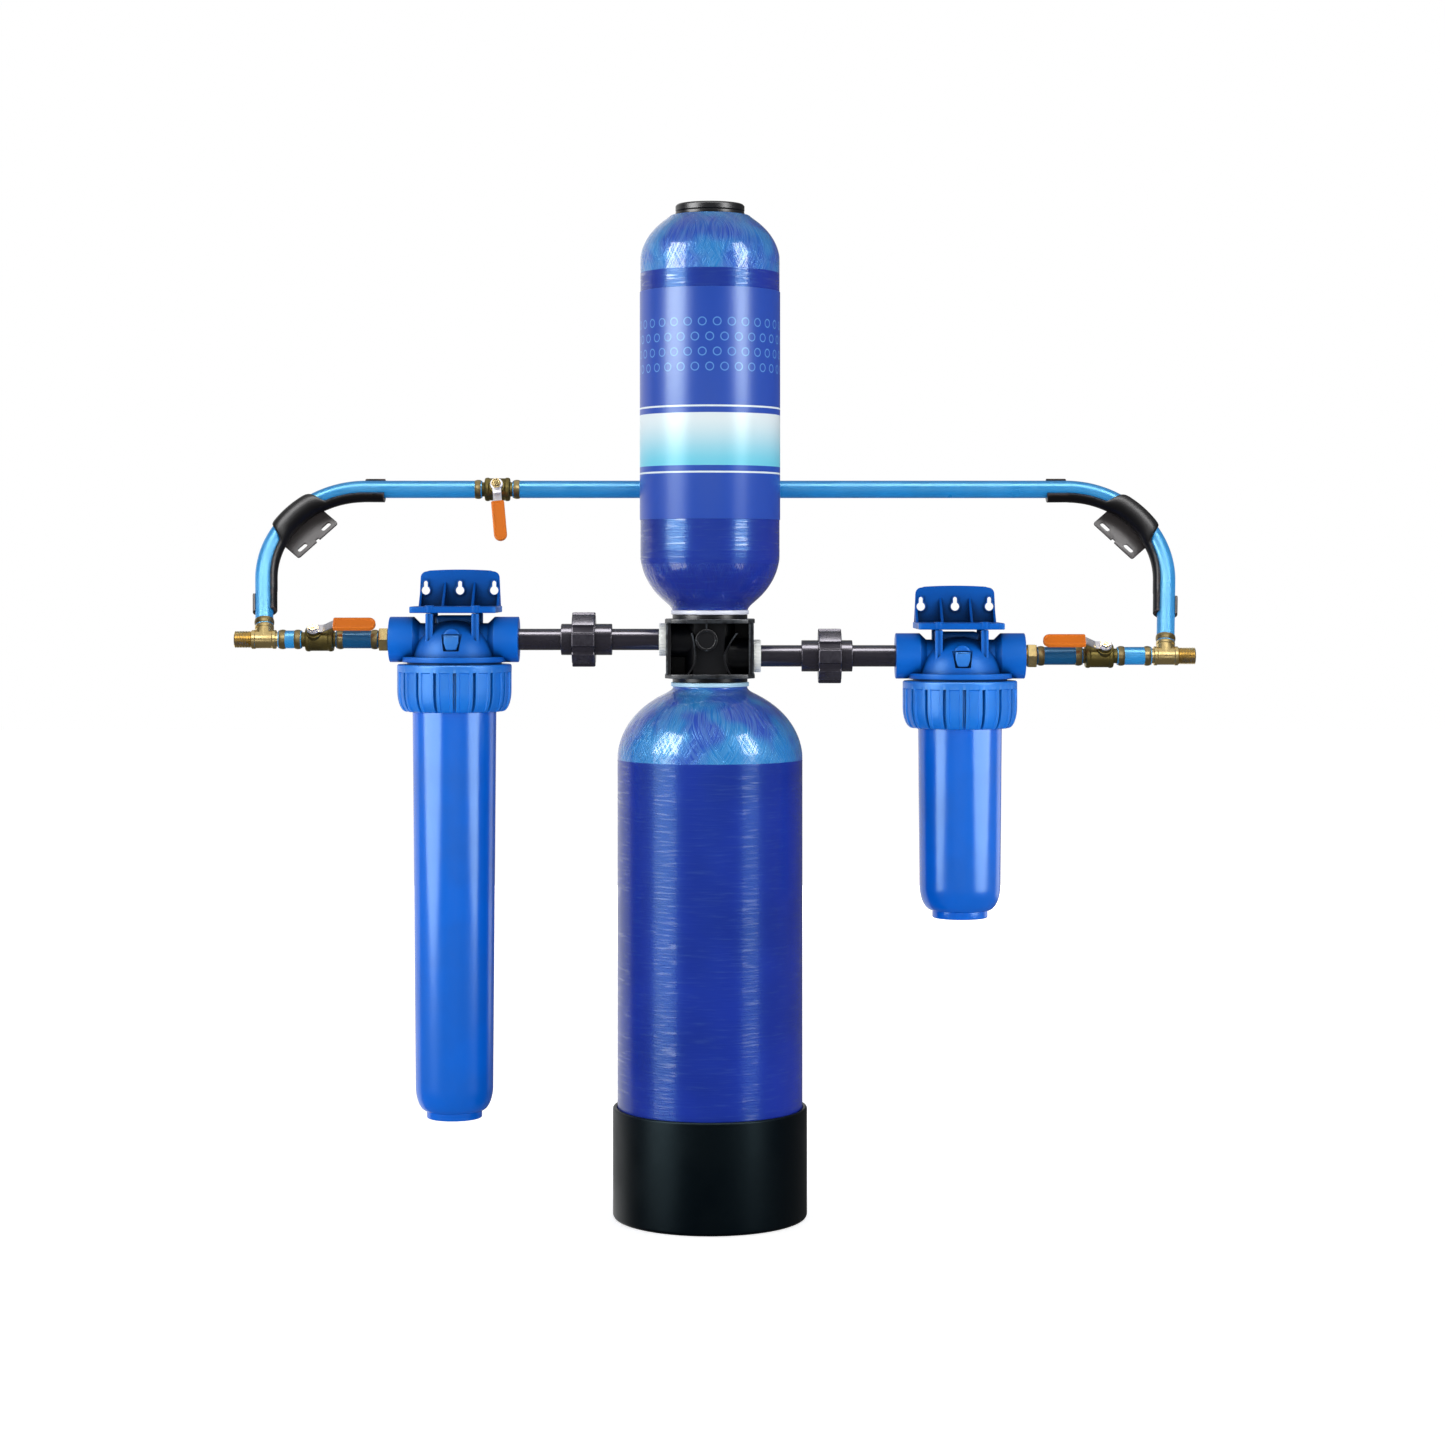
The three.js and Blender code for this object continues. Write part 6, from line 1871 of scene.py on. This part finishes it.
@dataclass
class BallValve:
    """A small ball valve: body, stem with its nut, stepped lever and dipped grip."""

    name: str
    tilt: float
    swing: float
    left: float
    right: float
    body_radius: float = 15 * MM
    shoulder: float = 9.2 * MM
    barb: float = 7.1 * MM
    barb_length: float = 9 * MM
    rib_groove: float = 0.8 * MM
    bonnet_radius: float = 8 * MM
    stem_radius: float = 3.6 * MM
    bonnet_reach: float = 20.4 * MM
    lever_thickness: float = 2 * MM
    lever_width: float = 11 * MM
    eye_radius: float = 8.2 * MM
    flat: float = 12 * MM
    ramp: float = 13 * MM
    step: float = 9 * MM
    length: float = 74 * MM
    nut_radius: float = 6.6 * MM
    nut_thickness: float = 4.6 * MM
    grip_start: float = 25.4 * MM
    grip_length: float = 52.3 * MM
    grip_width: float = 16.4 * MM
    grip_thickness: float = 7 * MM
    fit: float = 0.3 * MM

    def body(self) -> Skin:
        """A cast barrel with a rib near each end, a barb beyond it, and the stem's bonnet.

        Returns:
            The surface.
        """
        low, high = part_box(f"{self.name}_valve_body")
        origin = self.origin()[0]
        start, end = low.x - origin, high.x - origin
        radius, groove = self.body_radius, self.rib_groove
        halves = []
        for way, tip, side in ((-1, -start, self.left), (1, end, self.right)):
            neck = tip - self.barb_length
            half = [
                (radius - groove, side - 8 * groove, 2 * groove), (radius, side - 6 * groove, groove),
                (radius, side - 3 * groove, groove), (radius - groove, side, 2 * MM),
                (self.shoulder, side, 1 * MM), (self.shoulder, neck), (self.barb, neck),
                (self.barb, tip, 0.6 * MM), (0, tip),
            ]
            halves.append([(corner[0], way * corner[1], *corner[2:]) for corner in half])
        barrel = turned(softened(halves[0][::-1] + halves[1]), 48).moved(outwards(1))
        bonnet = rod(self.bonnet_radius, 0, self.bonnet_reach, 40, 0.8 * MM).moved(FRONT)
        collar = rod(self.bonnet_radius + 2 * MM, 0, self.body_radius + 1.5 * MM, 40, 1 * MM)
        return merged(barrel, [bonnet, collar.moved(FRONT)])

    def strip(self) -> np.ndarray:
        """The lever's side outline: flat at the eye, a ramp outwards, then flat under the grip.

        Returns:
            The points.
        """
        inner = self.bonnet_reach + self.fit
        outer = inner + self.lever_thickness
        ramp_end = self.flat + self.ramp
        return softened([
            (0, inner), (self.flat, inner, 4 * MM), (ramp_end, inner + self.step, 4 * MM),
            (self.length, inner + self.step), (self.length, outer + self.step),
            (ramp_end, outer + self.step, 4 * MM), (self.flat, outer, 4 * MM), (0, outer),
        ], closed=True)

    def lever(self) -> Skin:
        """The eye round the stem and the stepped strip.

        Returns:
            The surface.
        """
        inner = self.bonnet_reach + self.fit
        half = self.lever_width / 2
        eye = rod(self.eye_radius, inner, inner + self.lever_thickness, edge=0.5 * MM).moved(FRONT)
        strip = slab(self.strip()[::-1] * (1, -1), -half, half, 0.4 * MM)
        hole = rod(self.stem_radius + self.fit, 0, 2 * self.bonnet_reach, 32).moved(FRONT)
        return merged(merged(eye, [strip]), [hole], Merge.CUT)

    def stem(self) -> Skin:
        """The stem with its washer, hexagon nut and threaded end.

        Returns:
            The surface.
        """
        start = self.bonnet_reach + self.fit + self.lever_thickness + self.fit
        washer = rod(self.nut_radius + 1 * MM, start, start + 1 * MM, 40, 0.3 * MM)
        nut = rod(self.nut_radius, start, start + self.nut_thickness, 6, 0.7 * MM, phase=30)
        end = rod(self.stem_radius, 0, start + self.nut_thickness + 1 * MM, 32, 0.6 * MM)
        return merged(nut, [washer, end]).moved(FRONT)

    def grip(self) -> Skin:
        """The dipped sleeve with a round end and a sunk panel.

        Returns:
            The surface.
        """
        end = self.grip_start + self.grip_length
        half = self.grip_width / 2
        outline = np.vstack([
            softened([(self.grip_start + 6 * MM, half), (self.grip_start, half, 2 * MM),
                      (self.grip_start, -half, 2 * MM), (self.grip_start + 6 * MM, -half)]),
            arc((end - half, 0), half, -90, 90, 20),
        ])
        reach = self.bonnet_reach + self.fit + self.lever_thickness / 2 + self.step
        low, high = reach - self.grip_thickness / 2, reach + self.grip_thickness / 2
        return slab(outline, low, high, 1.2 * MM, 0.7 * MM).moved(FRONT)

    def origin(self) -> np.ndarray:
        """Returns the ball's centre, which the joint's own place gives."""
        return joint_place(f"{self.name}_handle")

    def build(self) -> None:
        """Makes and dresses the valve's pieces."""
        origin = self.origin()
        still = place(origin, [("x", -self.tilt)])
        moving = place(origin, [("y", self.swing), ("x", -self.tilt)])
        handle = f"{self.name}_handle"
        fine(f"{self.name}_valve_body", self.body().moved(still), DARK_BRASS)
        fine(f"{self.name}_lever", self.lever().moved(moving), STEEL, handle)
        dressed(f"{self.name}_stem_nut", self.stem().moved(moving), STEEL, handle, crease=12)
        fine(f"{self.name}_grip", self.grip().moved(moving), VINYL, handle)
        finish_node(f"{self.name}_valve_ball", BRASS)


@dataclass
class BrassLine:
    """The brass adapter, PEX stubs with crimp rings, and the tee outside a housing."""

    name: str
    side: int
    pex_radius: float = 11.1 * MM
    bore: float = 7.4 * MM
    crimp_radius: float = 12.3 * MM
    crimp_length: float = 8 * MM
    crimp_gap: float = 1 * MM
    hex_radius: float = 15.9 * MM
    hex_length: float = 11.5 * MM
    thread_radius: float = 13 * MM
    barb: float = 7.1 * MM
    water: float = 5.2 * MM
    tee_radius: float = 11.8 * MM
    tee_thread: float = 10.5 * MM
    tee_thread_length: float = 21.2 * MM
    tee_outer: float = 15.5 * MM
    tee_inner: float = 14.8 * MM
    tee_gap: float = 2.7 * MM
    tee_shoulder: float = 9.2 * MM
    tee_bore: float = 8 * MM
    barb_length: float = 9 * MM
    branch: float = 18.7 * MM
    leg_tilt: float = 4.5
    thread_pitch: float = 1.8 * MM
    port_thread: float = 14 * MM

    def threads(self, radius: float, start: float, end: float) -> np.ndarray:
        """Profile of a thread seen from the side: the radius is a triangle wave of the length.

        Args:
            radius: radius of its crests.
            start: where it starts.
            end: where it ends.

        Returns:
            Points of radius and length.
        """
        count = int((end - start) / self.thread_pitch)
        places = np.linspace(start, end, 2 * count + 1)
        crests = radius - np.where(np.arange(len(places)) % 2 == 0, 0.9 * MM, 0)
        return np.column_stack([crests, places])

    def crimp(self, start: float) -> Skin:
        """A barrel-shaped crimp ring from a place along the pipe.

        Args:
            start: where it starts.

        Returns:
            The surface.
        """
        outer = arc((self.crimp_radius - 9 * MM, start + self.crimp_length / 2), 9.6 * MM, -22, 22, 8)
        outer[:, 0] += self.crimp_radius - outer[:, 0].max()
        profile = np.vstack([[(self.pex_radius - 0.2 * MM, start + self.crimp_length),
                              (self.pex_radius - 0.2 * MM, start)], outer])
        return turned(profile, 48, closed=True)

    def stub(self, node: str) -> tuple[Skin, Skin]:
        """A pipe stub, and its two crimp rings.

        Args:
            node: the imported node.

        Returns:
            The pipe, and its rings.
        """
        start, end = reach(node)
        pipe = tube(self.bore, self.pex_radius, start, end, 48, 0.3 * MM)
        rings = [self.crimp(start + self.crimp_gap), self.crimp(end - self.crimp_gap - self.crimp_length)]
        return pipe, gathered(rings)

    def adapter(self) -> Skin:
        """A thread into the port, a hexagon with chamfered corners and a barb into the pipe.

        Returns:
            The surface.
        """
        start, end = reach(f"{self.name}_adapter")
        hex_start = start + self.port_thread
        hex_end = hex_start + self.hex_length
        hexagon = rod(self.hex_radius, hex_start, hex_end, 6, 1.2 * MM, phase=30)
        profile = np.vstack([
            [(0, start)], self.threads(self.thread_radius, start, hex_start + LAP),
            [(self.barb + 1.5 * MM, hex_start + LAP), (self.barb + 1.5 * MM, hex_end + 0.6 * MM),
             (self.barb, hex_end + 0.6 * MM), (self.barb, end), (0, end)],
        ])
        solid = merged(hexagon, [turned(profile, 48)])
        return merged(solid, [rod(self.water, start - LAP, end + LAP, 32)], Merge.CUT)

    def tee_centre(self) -> np.ndarray:
        """Works out where the tee's run and branch meet.

        Returns:
            The place.
        """
        _, end = reach(f"{self.name}_tee")
        height = middle(f"{self.name}_collar")[2]
        return np.array([self.side * (end - self.tee_outer - self.tee_thread_length), 0, height])

    def tee(self, lean: float) -> Skin:
        """The tee about its middle: a run with a male thread, and a branch along the bypass leg.

        Args:
            lean: how far the bypass leg leans back, in radians.

        Returns:
            The surface.
        """
        inner, outer = self.tee_inner, self.tee_outer
        tip = -inner - self.tee_gap - self.barb_length
        edge, waist = 1.2 * MM, self.tee_radius - 0.8 * MM
        run = np.vstack([
            softened([(0, tip), (self.barb, tip), (self.barb, -inner - self.tee_gap),
                      (self.tee_shoulder, -inner - self.tee_gap), (self.tee_shoulder, -inner),
                      (self.tee_radius, -inner, edge), (self.tee_radius, -inner + 4 * MM, 0.4 * MM),
                      (waist, -inner + 5 * MM), (waist, outer - 5 * MM),
                      (self.tee_radius, outer - 4 * MM, 0.4 * MM),
                      (self.tee_radius, outer, edge), (self.tee_thread, outer)]),
            self.threads(self.tee_thread, outer, outer + self.tee_thread_length),
            [(0, outer + self.tee_thread_length)],
        ])
        branch = softened([
            (0, 0), (waist, 0), (waist, self.branch - 5 * MM),
            (self.tee_radius, self.branch - 4 * MM, 0.4 * MM), (self.tee_radius, self.branch, edge),
            (self.barb, self.branch), (self.barb, self.branch + self.barb_length),
            (0, self.branch + self.barb_length)])
        leg = place((0, 0, 0), [("y", self.side * self.leg_tilt), ("x", -lean / DEGREE)])
        solid = merged(turned(run, 56).moved(outwards(self.side)), [turned(branch, 56).moved(leg)])
        thread_bore = rod(self.tee_bore, 0, 2 * self.tee_thread_length, 40).moved(outwards(self.side))
        return merged(solid, [thread_bore], Merge.CUT)

    def build(self, lean: float) -> None:
        """Makes and dresses the line's pieces.

        Args:
            lean: how far the bypass leg leans back, in radians.
        """
        height = middle(f"{self.name}_collar")[2]
        lie = outwards(self.side, (0, 0, height))
        # The long stubs take the darker copy of the PEX, which is painted shade.
        for length, finish in (("long", PEX_PAINTED_SHADE), ("short", PEX)):
            node = f"{self.name}_{length}_stub"
            pipe, rings = self.stub(node)
            dressed(f"{node}_pipe", pipe.moved(lie), finish, "system", [node])
            dressed(f"{node}_crimps", rings.moved(lie), BRONZE, "system")
        tee = self.tee(lean).moved(place(self.tee_centre()))
        fine(f"{self.name}_adapter", self.adapter().moved(lie), BRASS)
        fine(f"{self.name}_tee", tee, BRASS)


@dataclass
class BypassLeg:
    """One side of the bypass: the pipe from a tee up a leaning leg and round a bend to behind the tank."""

    line: BrassLine
    height: float = 904 * MM
    depth: float = 101.1 * MM
    bend_radius: float = 120 * MM
    valve_reach: float = 19.6 * MM
    support_wall: float = 3.6 * MM
    support_gap: float = 0.5 * MM
    leg_reach: float = 46 * MM
    run_reach: float = 25 * MM
    clip_length: float = 28 * MM
    plate_distance: float = 77.6 * MM
    plate_width: float = 69 * MM
    plate_thickness: float = 3 * MM
    slot_offset: float = 20.6 * MM
    slot_inset: float = 7.6 * MM
    slot_length: float = 14.6 * MM
    slot_width: float = 5.7 * MM
    notch_width: float = 5 * MM
    notch_depth: float = 3 * MM
    lip_front: float = 42
    saddle_front: float = 168
    saddle_half: float = 21.5
    saddle_ease: float = 12
    lip_back: float = 95
    clip_back: float = 200
    ridge_angle: float = 20
    ridge_spread: float = 38

    def __post_init__(self) -> None:
        """Works out the leg's plane: it passes through the tee and leans back to the bypass pipe."""
        self.origin = self.line.tee_centre()
        rise = self.height - self.origin[2]
        self.lean = math.atan2(self.depth, rise)
        self.tilt = self.line.leg_tilt * DEGREE
        span = math.hypot(self.depth, rise)
        self.leg = (span - self.bend_radius * (1 + math.sin(self.tilt))) / math.cos(self.tilt)
        self.across = np.array([-self.line.side, 0, 0], float)
        self.up = np.array([0, math.sin(self.lean), math.cos(self.lean)])
        self.front = np.array([0, -math.cos(self.lean), math.sin(self.lean)])
        self.bend = self.bend_radius * (math.pi / 2 + self.tilt)

    def stations(self, lengths: np.ndarray) -> tuple[np.ndarray, np.ndarray]:
        """Returns places along the pipe, and the way to the bend's centre at each.

        The path runs straight up the leg, then round an arc whose heading falls with length over radius, then
        straight along the bypass. A place is the sum of these three stretches, each clipped to its share.

        Args:
            lengths: distances along the pipe from the tee's middle.

        Returns:
            The places, and the inward ways.
        """
        whole = math.pi / 2 + self.tilt
        on_leg = np.minimum(lengths, self.leg)
        turned_by = np.clip((lengths - self.leg) / self.bend_radius, 0, whole)
        on_run = np.maximum(lengths - self.leg - self.bend, 0)
        heading = whole - turned_by
        right = on_leg * math.cos(whole) + on_run + self.bend_radius * (math.sin(whole) - np.sin(heading))
        above = on_leg * math.sin(whole) + self.bend_radius * (np.cos(heading) - math.cos(whole))
        places = self.origin + right[:, None] * self.across + above[:, None] * self.up
        inward = np.sin(heading)[:, None] * self.across - np.cos(heading)[:, None] * self.up
        return places, inward

    def end(self) -> float:
        """Works out the pipe's length from the tee's middle to the bypass valve.

        Returns:
            The length.
        """
        stop = joint_place("bypass_handle")[0] + self.line.side * self.valve_reach
        corner, _ = self.stations(np.array([self.leg + self.bend]))
        return self.leg + self.bend + abs(corner[0, 0] - stop)

    def ring(self, radius: float, sides: int = 40) -> np.ndarray:
        """A round section's points."""
        angles = np.arange(sides) * 2 * math.pi / sides
        return radius * np.column_stack([np.cos(angles), np.sin(angles)])

    def pipe(self) -> Skin:
        """The pipe as a tube: an outer skin one way and an inner skin back.

        Returns:
            The surface.
        """
        start = self.line.branch + 0.3 * MM
        lengths = np.concatenate([
            np.linspace(start, self.leg, 12), np.linspace(self.leg, self.leg + self.bend, 64)[1:],
            np.linspace(self.leg + self.bend, self.end(), 24)[1:]])
        places, inward = self.stations(lengths)
        outer = np.broadcast_to(self.ring(self.line.pex_radius), (len(lengths), 40, 2))
        inner = np.broadcast_to(self.ring(self.line.bore), (len(lengths), 40, 2))
        return carried(np.concatenate([outer, inner[::-1]]), np.concatenate([places, places[::-1]]),
                       self.front, np.concatenate([inward, inward[::-1]]), closed=True)

    def crimps(self) -> Skin:
        """A crimp ring at each end, along the pipe.

        Returns:
            The surface.
        """
        skins = []
        gap, length = self.line.crimp_gap, self.line.crimp_length
        for start in (self.line.branch + gap, self.end() - gap - length):
            places, inward = self.stations(np.array([start, start + length]))
            along = np.cross(self.front, inward[0])
            ring = self.line.crimp(0)
            ring.points = ring.points * (1, 1, np.sign(along @ (places[1] - places[0])))
            skins.append(ring.moved(axes(self.front, inward[0], along, places[0])))
        return gathered(skins)

    def support(self) -> Skin:
        """The channel that holds the bend, as a function of length along it and angle round the pipe.

        The angle runs from the bend's centre towards the front. The channel's front lip widens smoothly at
        the middle into a saddle over the pipe, and its back lip at both ends into clips round the back.

        Returns:
            The surface.
        """
        start, end = self.leg - self.leg_reach, self.leg + self.bend + self.run_reach
        lengths = np.linspace(start, end, 150)
        middle_place = self.leg + self.bend / 2
        nearness = np.abs(lengths - middle_place) / self.bend_radius / DEGREE
        saddle = np.clip((self.saddle_half - nearness) / self.saddle_ease, 0, 1)
        saddle = saddle * saddle * (3 - 2 * saddle)
        front = self.lip_front + (self.saddle_front - self.lip_front) * saddle
        ends = np.minimum(lengths - start, end - lengths)
        clip = np.clip((self.clip_length - ends) / (3 * MM), 0, 1)
        back = -self.lip_back - (self.clip_back - self.lip_back) * clip
        share = np.linspace(0, 1, 33)
        angles = (back[:, None] + (front - back)[:, None] * share) * DEGREE
        inner = self.line.pex_radius + self.support_gap
        outer = inner + self.support_wall * (0.55 + 0.45 * np.cos((share - 0.5) * math.pi) ** 0.5)
        height = np.interp(lengths, (start, end), (2.2 * MM, 5 * MM))[:, None] * (1 - 0.6 * saddle[:, None])
        outer = outer + height * np.exp(-((angles / DEGREE - self.ridge_angle) / self.ridge_spread) ** 2)
        outside, inside = (np.stack([radius * np.sin(angles), radius * np.cos(angles)], axis=-1)
                           for radius in (outer, inner))
        places, inward = self.stations(lengths)
        return carried(np.concatenate([outside, inside[:, ::-1]], axis=1), places, self.front, inward)

    def plate(self) -> Skin:
        """The slotted plate behind the pipe, inside the bend, with its corners rounded.

        Returns:
            The surface.
        """
        half, chord, notch = self.plate_width / 2, self.plate_distance, self.notch_width / 2
        deep = chord + self.notch_depth
        corners = [
            (-half, chord, 3 * MM), (-notch, chord, 0.8 * MM), (-notch, deep, 1 * MM),
            (notch, deep, 1 * MM), (notch, chord, 0.8 * MM), (half, chord, 3 * MM),
            (half, self.bend_radius), (-half, self.bend_radius),
        ]
        solid = slab(softened(corners, closed=True), 0, self.plate_thickness, 0.6 * MM)
        slots = [slot_outline(self.slot_length, self.slot_width, (x, chord + self.slot_inset))
                 for x in (-self.slot_offset, self.slot_offset)]
        holes = [slab(slot, -LAP, 2 * self.plate_thickness) for slot in slots]
        solid = merged(solid, holes, Merge.CUT)
        places, inward = self.stations(np.array([self.leg + self.bend / 2]))
        outward = -inward[0]
        back = -(self.line.pex_radius + 0.3 * MM + 4 * MM)
        middle_place = places[0] + inward[0] * self.bend_radius + self.front * back
        return solid.moved(axes(np.cross(outward, self.front), outward, self.front, middle_place))

    def build(self) -> None:
        """Makes and dresses the leg's pieces."""
        name = self.line.name
        fine(f"{name}_bypass_pipe", self.pipe(), PEX)
        dressed(f"{name}_bypass_crimps", self.crimps(), BRONZE, "system")
        fine(f"{name}_bend_support", self.support(), SUPPORT)
        dressed(f"{name}_bend_support_plate", self.plate(), SUPPORT_PLATE, "system")


class Rays(Enum):
    """What a lamp lights: the matt colour of surfaces, or only their gloss."""

    MATT = "matt"
    GLOSS = "gloss"


@dataclass(frozen=True)
class Softbox:
    """A soft lamp: degrees to the right of the camera, metres from the axis, heights, size and brightness."""

    name: str
    azimuth: float
    distance: float
    height: float
    size: tuple[float, float]
    radiance: float
    rays: Rays = Rays.GLOSS
    aim: float | None = None
    shape: str = "RECTANGLE"
    only: tuple[str, ...] = ()
    never: tuple[str, ...] = ()

    def hang(self) -> None:
        """Hangs the lamp so that it faces the axis, level or at its own aim.

        Its power is pi times its area times its radiance.
        """
        data = bpy.data.lights.new(self.name, "AREA")
        data.shape = self.shape
        data.size, data.size_y = self.size
        share = math.pi / 4 if self.shape == "ELLIPSE" else 1
        data.energy = math.pi * self.size[0] * self.size[1] * share * self.radiance
        lamp = bpy.data.objects.new(self.name, data)
        azimuth = self.azimuth * DEGREE
        fall = 0 if self.aim is None else math.atan2(self.height - self.aim, self.distance)
        lamp.location = (self.distance * math.sin(azimuth), -self.distance * math.cos(azimuth), self.height)
        lamp.rotation_euler = (math.pi / 2 - fall, 0, azimuth)
        lamp.visible_camera = False
        lamp.visible_diffuse = self.rays is Rays.MATT
        lamp.visible_glossy = self.rays is Rays.GLOSS
        bpy.context.scene.collection.objects.link(lamp)
        if self.only or self.never:
            self.choose(lamp)

    def choose(self, lamp: bpy.types.Object) -> None:
        """Lets the lamp light only some pieces, or every piece but some, by the ends of their names.

        Args:
            lamp: the lamp.
        """
        chosen = bpy.data.collections.new(f"{self.name}_pieces")
        for piece in bpy.context.scene.objects:
            if piece.type == "MESH" and piece.name.endswith(self.only or self.never):
                chosen.objects.link(piece)
        lamp.light_linking.receiver_collection = chosen
        if self.never:
            for item in chosen.collection_objects:
                item.light_linking.link_state = "EXCLUDE"


BOWLS = ("_sump_fine",)
DULL = ("_bend_support_fine",)
MATT = ("_grip_fine", "_head_fine", "_bracket_fine")
TANKS = ("_tank_shell", "tank_wrap")
PIPES = ("_union_body_fine", "_union_nut_fine", "_union_tail_fine")
METALS = ("_crimps", "_adapter_fine", "_tee_fine", "_valve_body_fine", "_lever_fine", "_stem_nut")
SOFTBOXES = (
    Softbox("front_fill", 0, 4.4, 0.6, (3.2, 2.0), 4.0, Rays.MATT),
    Softbox("left_fill", -100, 3.0, 0.6, (2.4, 2.0), 2.4, Rays.MATT),
    Softbox("right_fill", 100, 3.0, 0.6, (2.4, 2.0), 2.1, Rays.MATT),
    Softbox("back_fill", 180, 4.0, 0.6, (3.0, 2.0), 2.6, Rays.MATT),
    Softbox("left_low", -57, 2.4, 0.3, (1.3, 1.6), 5.5, never=BOWLS + METALS + DULL),
    Softbox("right_low", 51, 2.4, 0.3, (0.9, 1.6), 3.4, never=BOWLS + METALS + DULL),
    Softbox("left_high", -58, 2.4, 2.05, (1.5, 1.9), 17, never=BOWLS + METALS + DULL),
    Softbox("right_high", 53, 2.4, 2.05, (0.9, 1.9), 17, never=BOWLS + METALS + DULL),
    Softbox("left_bowl", -62, 2.4, 1.1, (2.7, 2.2), 7, shape="ELLIPSE", only=BOWLS),
    Softbox("right_bowl", 62, 2.4, 1.1, (2.7, 2.2), 7, shape="ELLIPSE", only=BOWLS),
    Softbox("right_rim", 130, 3.0, 0.9, (1.4, 2.4), 1.2, only=BOWLS),
    Softbox("pipe_strip", 0, 0.75, 2.9, (3.0, 0.9), 15, aim=0.7, only=PIPES),
    Softbox("top_soft", 0, 1.0, 2.9, (3.0, 0.9), 18, aim=0.7, never=BOWLS + TANKS + PIPES + METALS + MATT),
    Softbox("metal_high", 0, 2.2, 2.2, (3.4, 1.3), 2.4, aim=0.7, only=METALS),
    Softbox("metal_low", 0, 3.0, 0.1, (3.4, 0.9), 0.7, only=METALS),
)


@dataclass
class Studio:
    """The floor, the white surroundings, the lamps and the camera."""

    distance: float = 3.7
    eye_across: float = 0.0155
    eye_height: float = 0.7886
    view_width: float = 1.7918
    frame_middle: float = 0.6119
    sensor: float = 36.0
    floor_size: float = 24.0
    plain_light: float = 0.95
    top_light: float = 0.35
    dim_light: float = 0.14
    backdrop_azimuth: float = -150

    def camera(self) -> None:
        """Sets the camera square to the front, shifted down as the photograph is framed."""
        data = bpy.data.cameras.new("camera")
        data.sensor_width = self.sensor
        data.lens = self.sensor * self.distance / self.view_width
        data.shift_y = (self.frame_middle - self.eye_height) / self.view_width
        camera = bpy.data.objects.new("camera", data)
        camera.location = (self.eye_across, -self.distance, self.eye_height)
        camera.rotation_euler = (math.pi / 2, 0, 0)
        bpy.context.scene.collection.objects.link(camera)
        bpy.context.scene.camera = camera

    def world(self) -> None:
        """Makes the surroundings white where they show, and a plain level of light elsewhere.

        In gloss the white backdrop shows behind the object and overhead, and the room before it is dim.
        """
        world = bpy.data.worlds.new("surroundings")
        world.use_nodes = True
        bench = Bench(world.node_tree)
        path = bench.node("ShaderNodeLightPath").outputs
        x, y, z = bench.parts(bench.node("ShaderNodeTexCoord").outputs["Generated"])
        azimuth = self.backdrop_azimuth * DEGREE
        facing = bench.math("SUBTRACT", bench.times(x, math.sin(azimuth)), bench.times(y, math.cos(azimuth)))
        backdrop = bench.math("MAXIMUM", bench.ramp(facing, 0.76, 0.84), bench.ramp(z, 0.5, 0.9, 0.0, 0.6))
        gloss = bench.blend(backdrop, self.dim_light, 1.0)
        plain = bench.ramp(z, 0.1, 0.85, self.plain_light, self.top_light)
        shown = bench.blend(path["Is Glossy Ray"], plain, gloss)
        seen = bench.math("ADD", path["Is Camera Ray"], path["Is Transmission Ray"], clamp=True)
        strength = bench.blend(seen, shown, 1.0)
        bench.fill(world.node_tree.nodes["Background"], color=(1, 1, 1), strength=strength)
        bpy.context.scene.world = world

    def floor(self) -> None:
        """Lays a pale floor that keeps the object's shadow; gloss shows the surroundings in its place."""
        half = self.floor_size / 2
        mesh = bpy.data.meshes.new("floor")
        corners = [(-half, -half, 0), (half, -half, 0), (half, half, 0), (-half, half, 0)]
        mesh.from_pydata(corners, [], [(0, 1, 2, 3)])
        material = bpy.data.materials.new("pale_floor")
        material.use_nodes = True
        bench = Bench(material.node_tree)
        path = bench.node("ShaderNodeLightPath").outputs["Is Camera Ray"]
        bench.fill(material.node_tree.nodes["Principled BSDF"], base_color=(0.88, 0.88, 0.88), roughness=0.9,
                   specular_ior_level=0, emission_color=(1, 1, 1), emission_strength=bench.times(path, 0.6))
        mesh.materials.append(material)
        floor = bpy.data.objects.new("floor", mesh)
        floor.visible_glossy = False
        bpy.context.scene.collection.objects.link(floor)

    def build(self) -> None:
        """Sets the whole studio."""
        self.camera()
        self.world()
        self.floor()
        for softbox in SOFTBOXES:
            softbox.hang()
        bpy.context.scene.view_settings.view_transform = "Standard"


def main() -> None:
    """Builds the studio and every sub-assembly in order."""
    logging.basicConfig(level=logging.INFO, format="%(message)s")
    TankStack().build()
    Manifold().build()
    for name, side in (("inlet", -1), ("outlet", 1)):
        PortLine(name, side).build()
        line = BrassLine(name, side)
        leg = BypassLeg(line)
        line.build(leg.lean)
        leg.build()
    Housing("pre", "inlet", 48 * MM, nut_turn=5.1).build()
    Housing("post", "outlet", 50 * MM).build()
    BallValve("inlet", 39, 0, 11.4 * MM, 23.3 * MM).build()
    BallValve("outlet", 39, 180, 23.3 * MM, 11.4 * MM).build()
    BallValve("bypass", 16, 84, 16 * MM, 16 * MM).build()
    Studio().build()


if __name__ == "__main__":
    main()
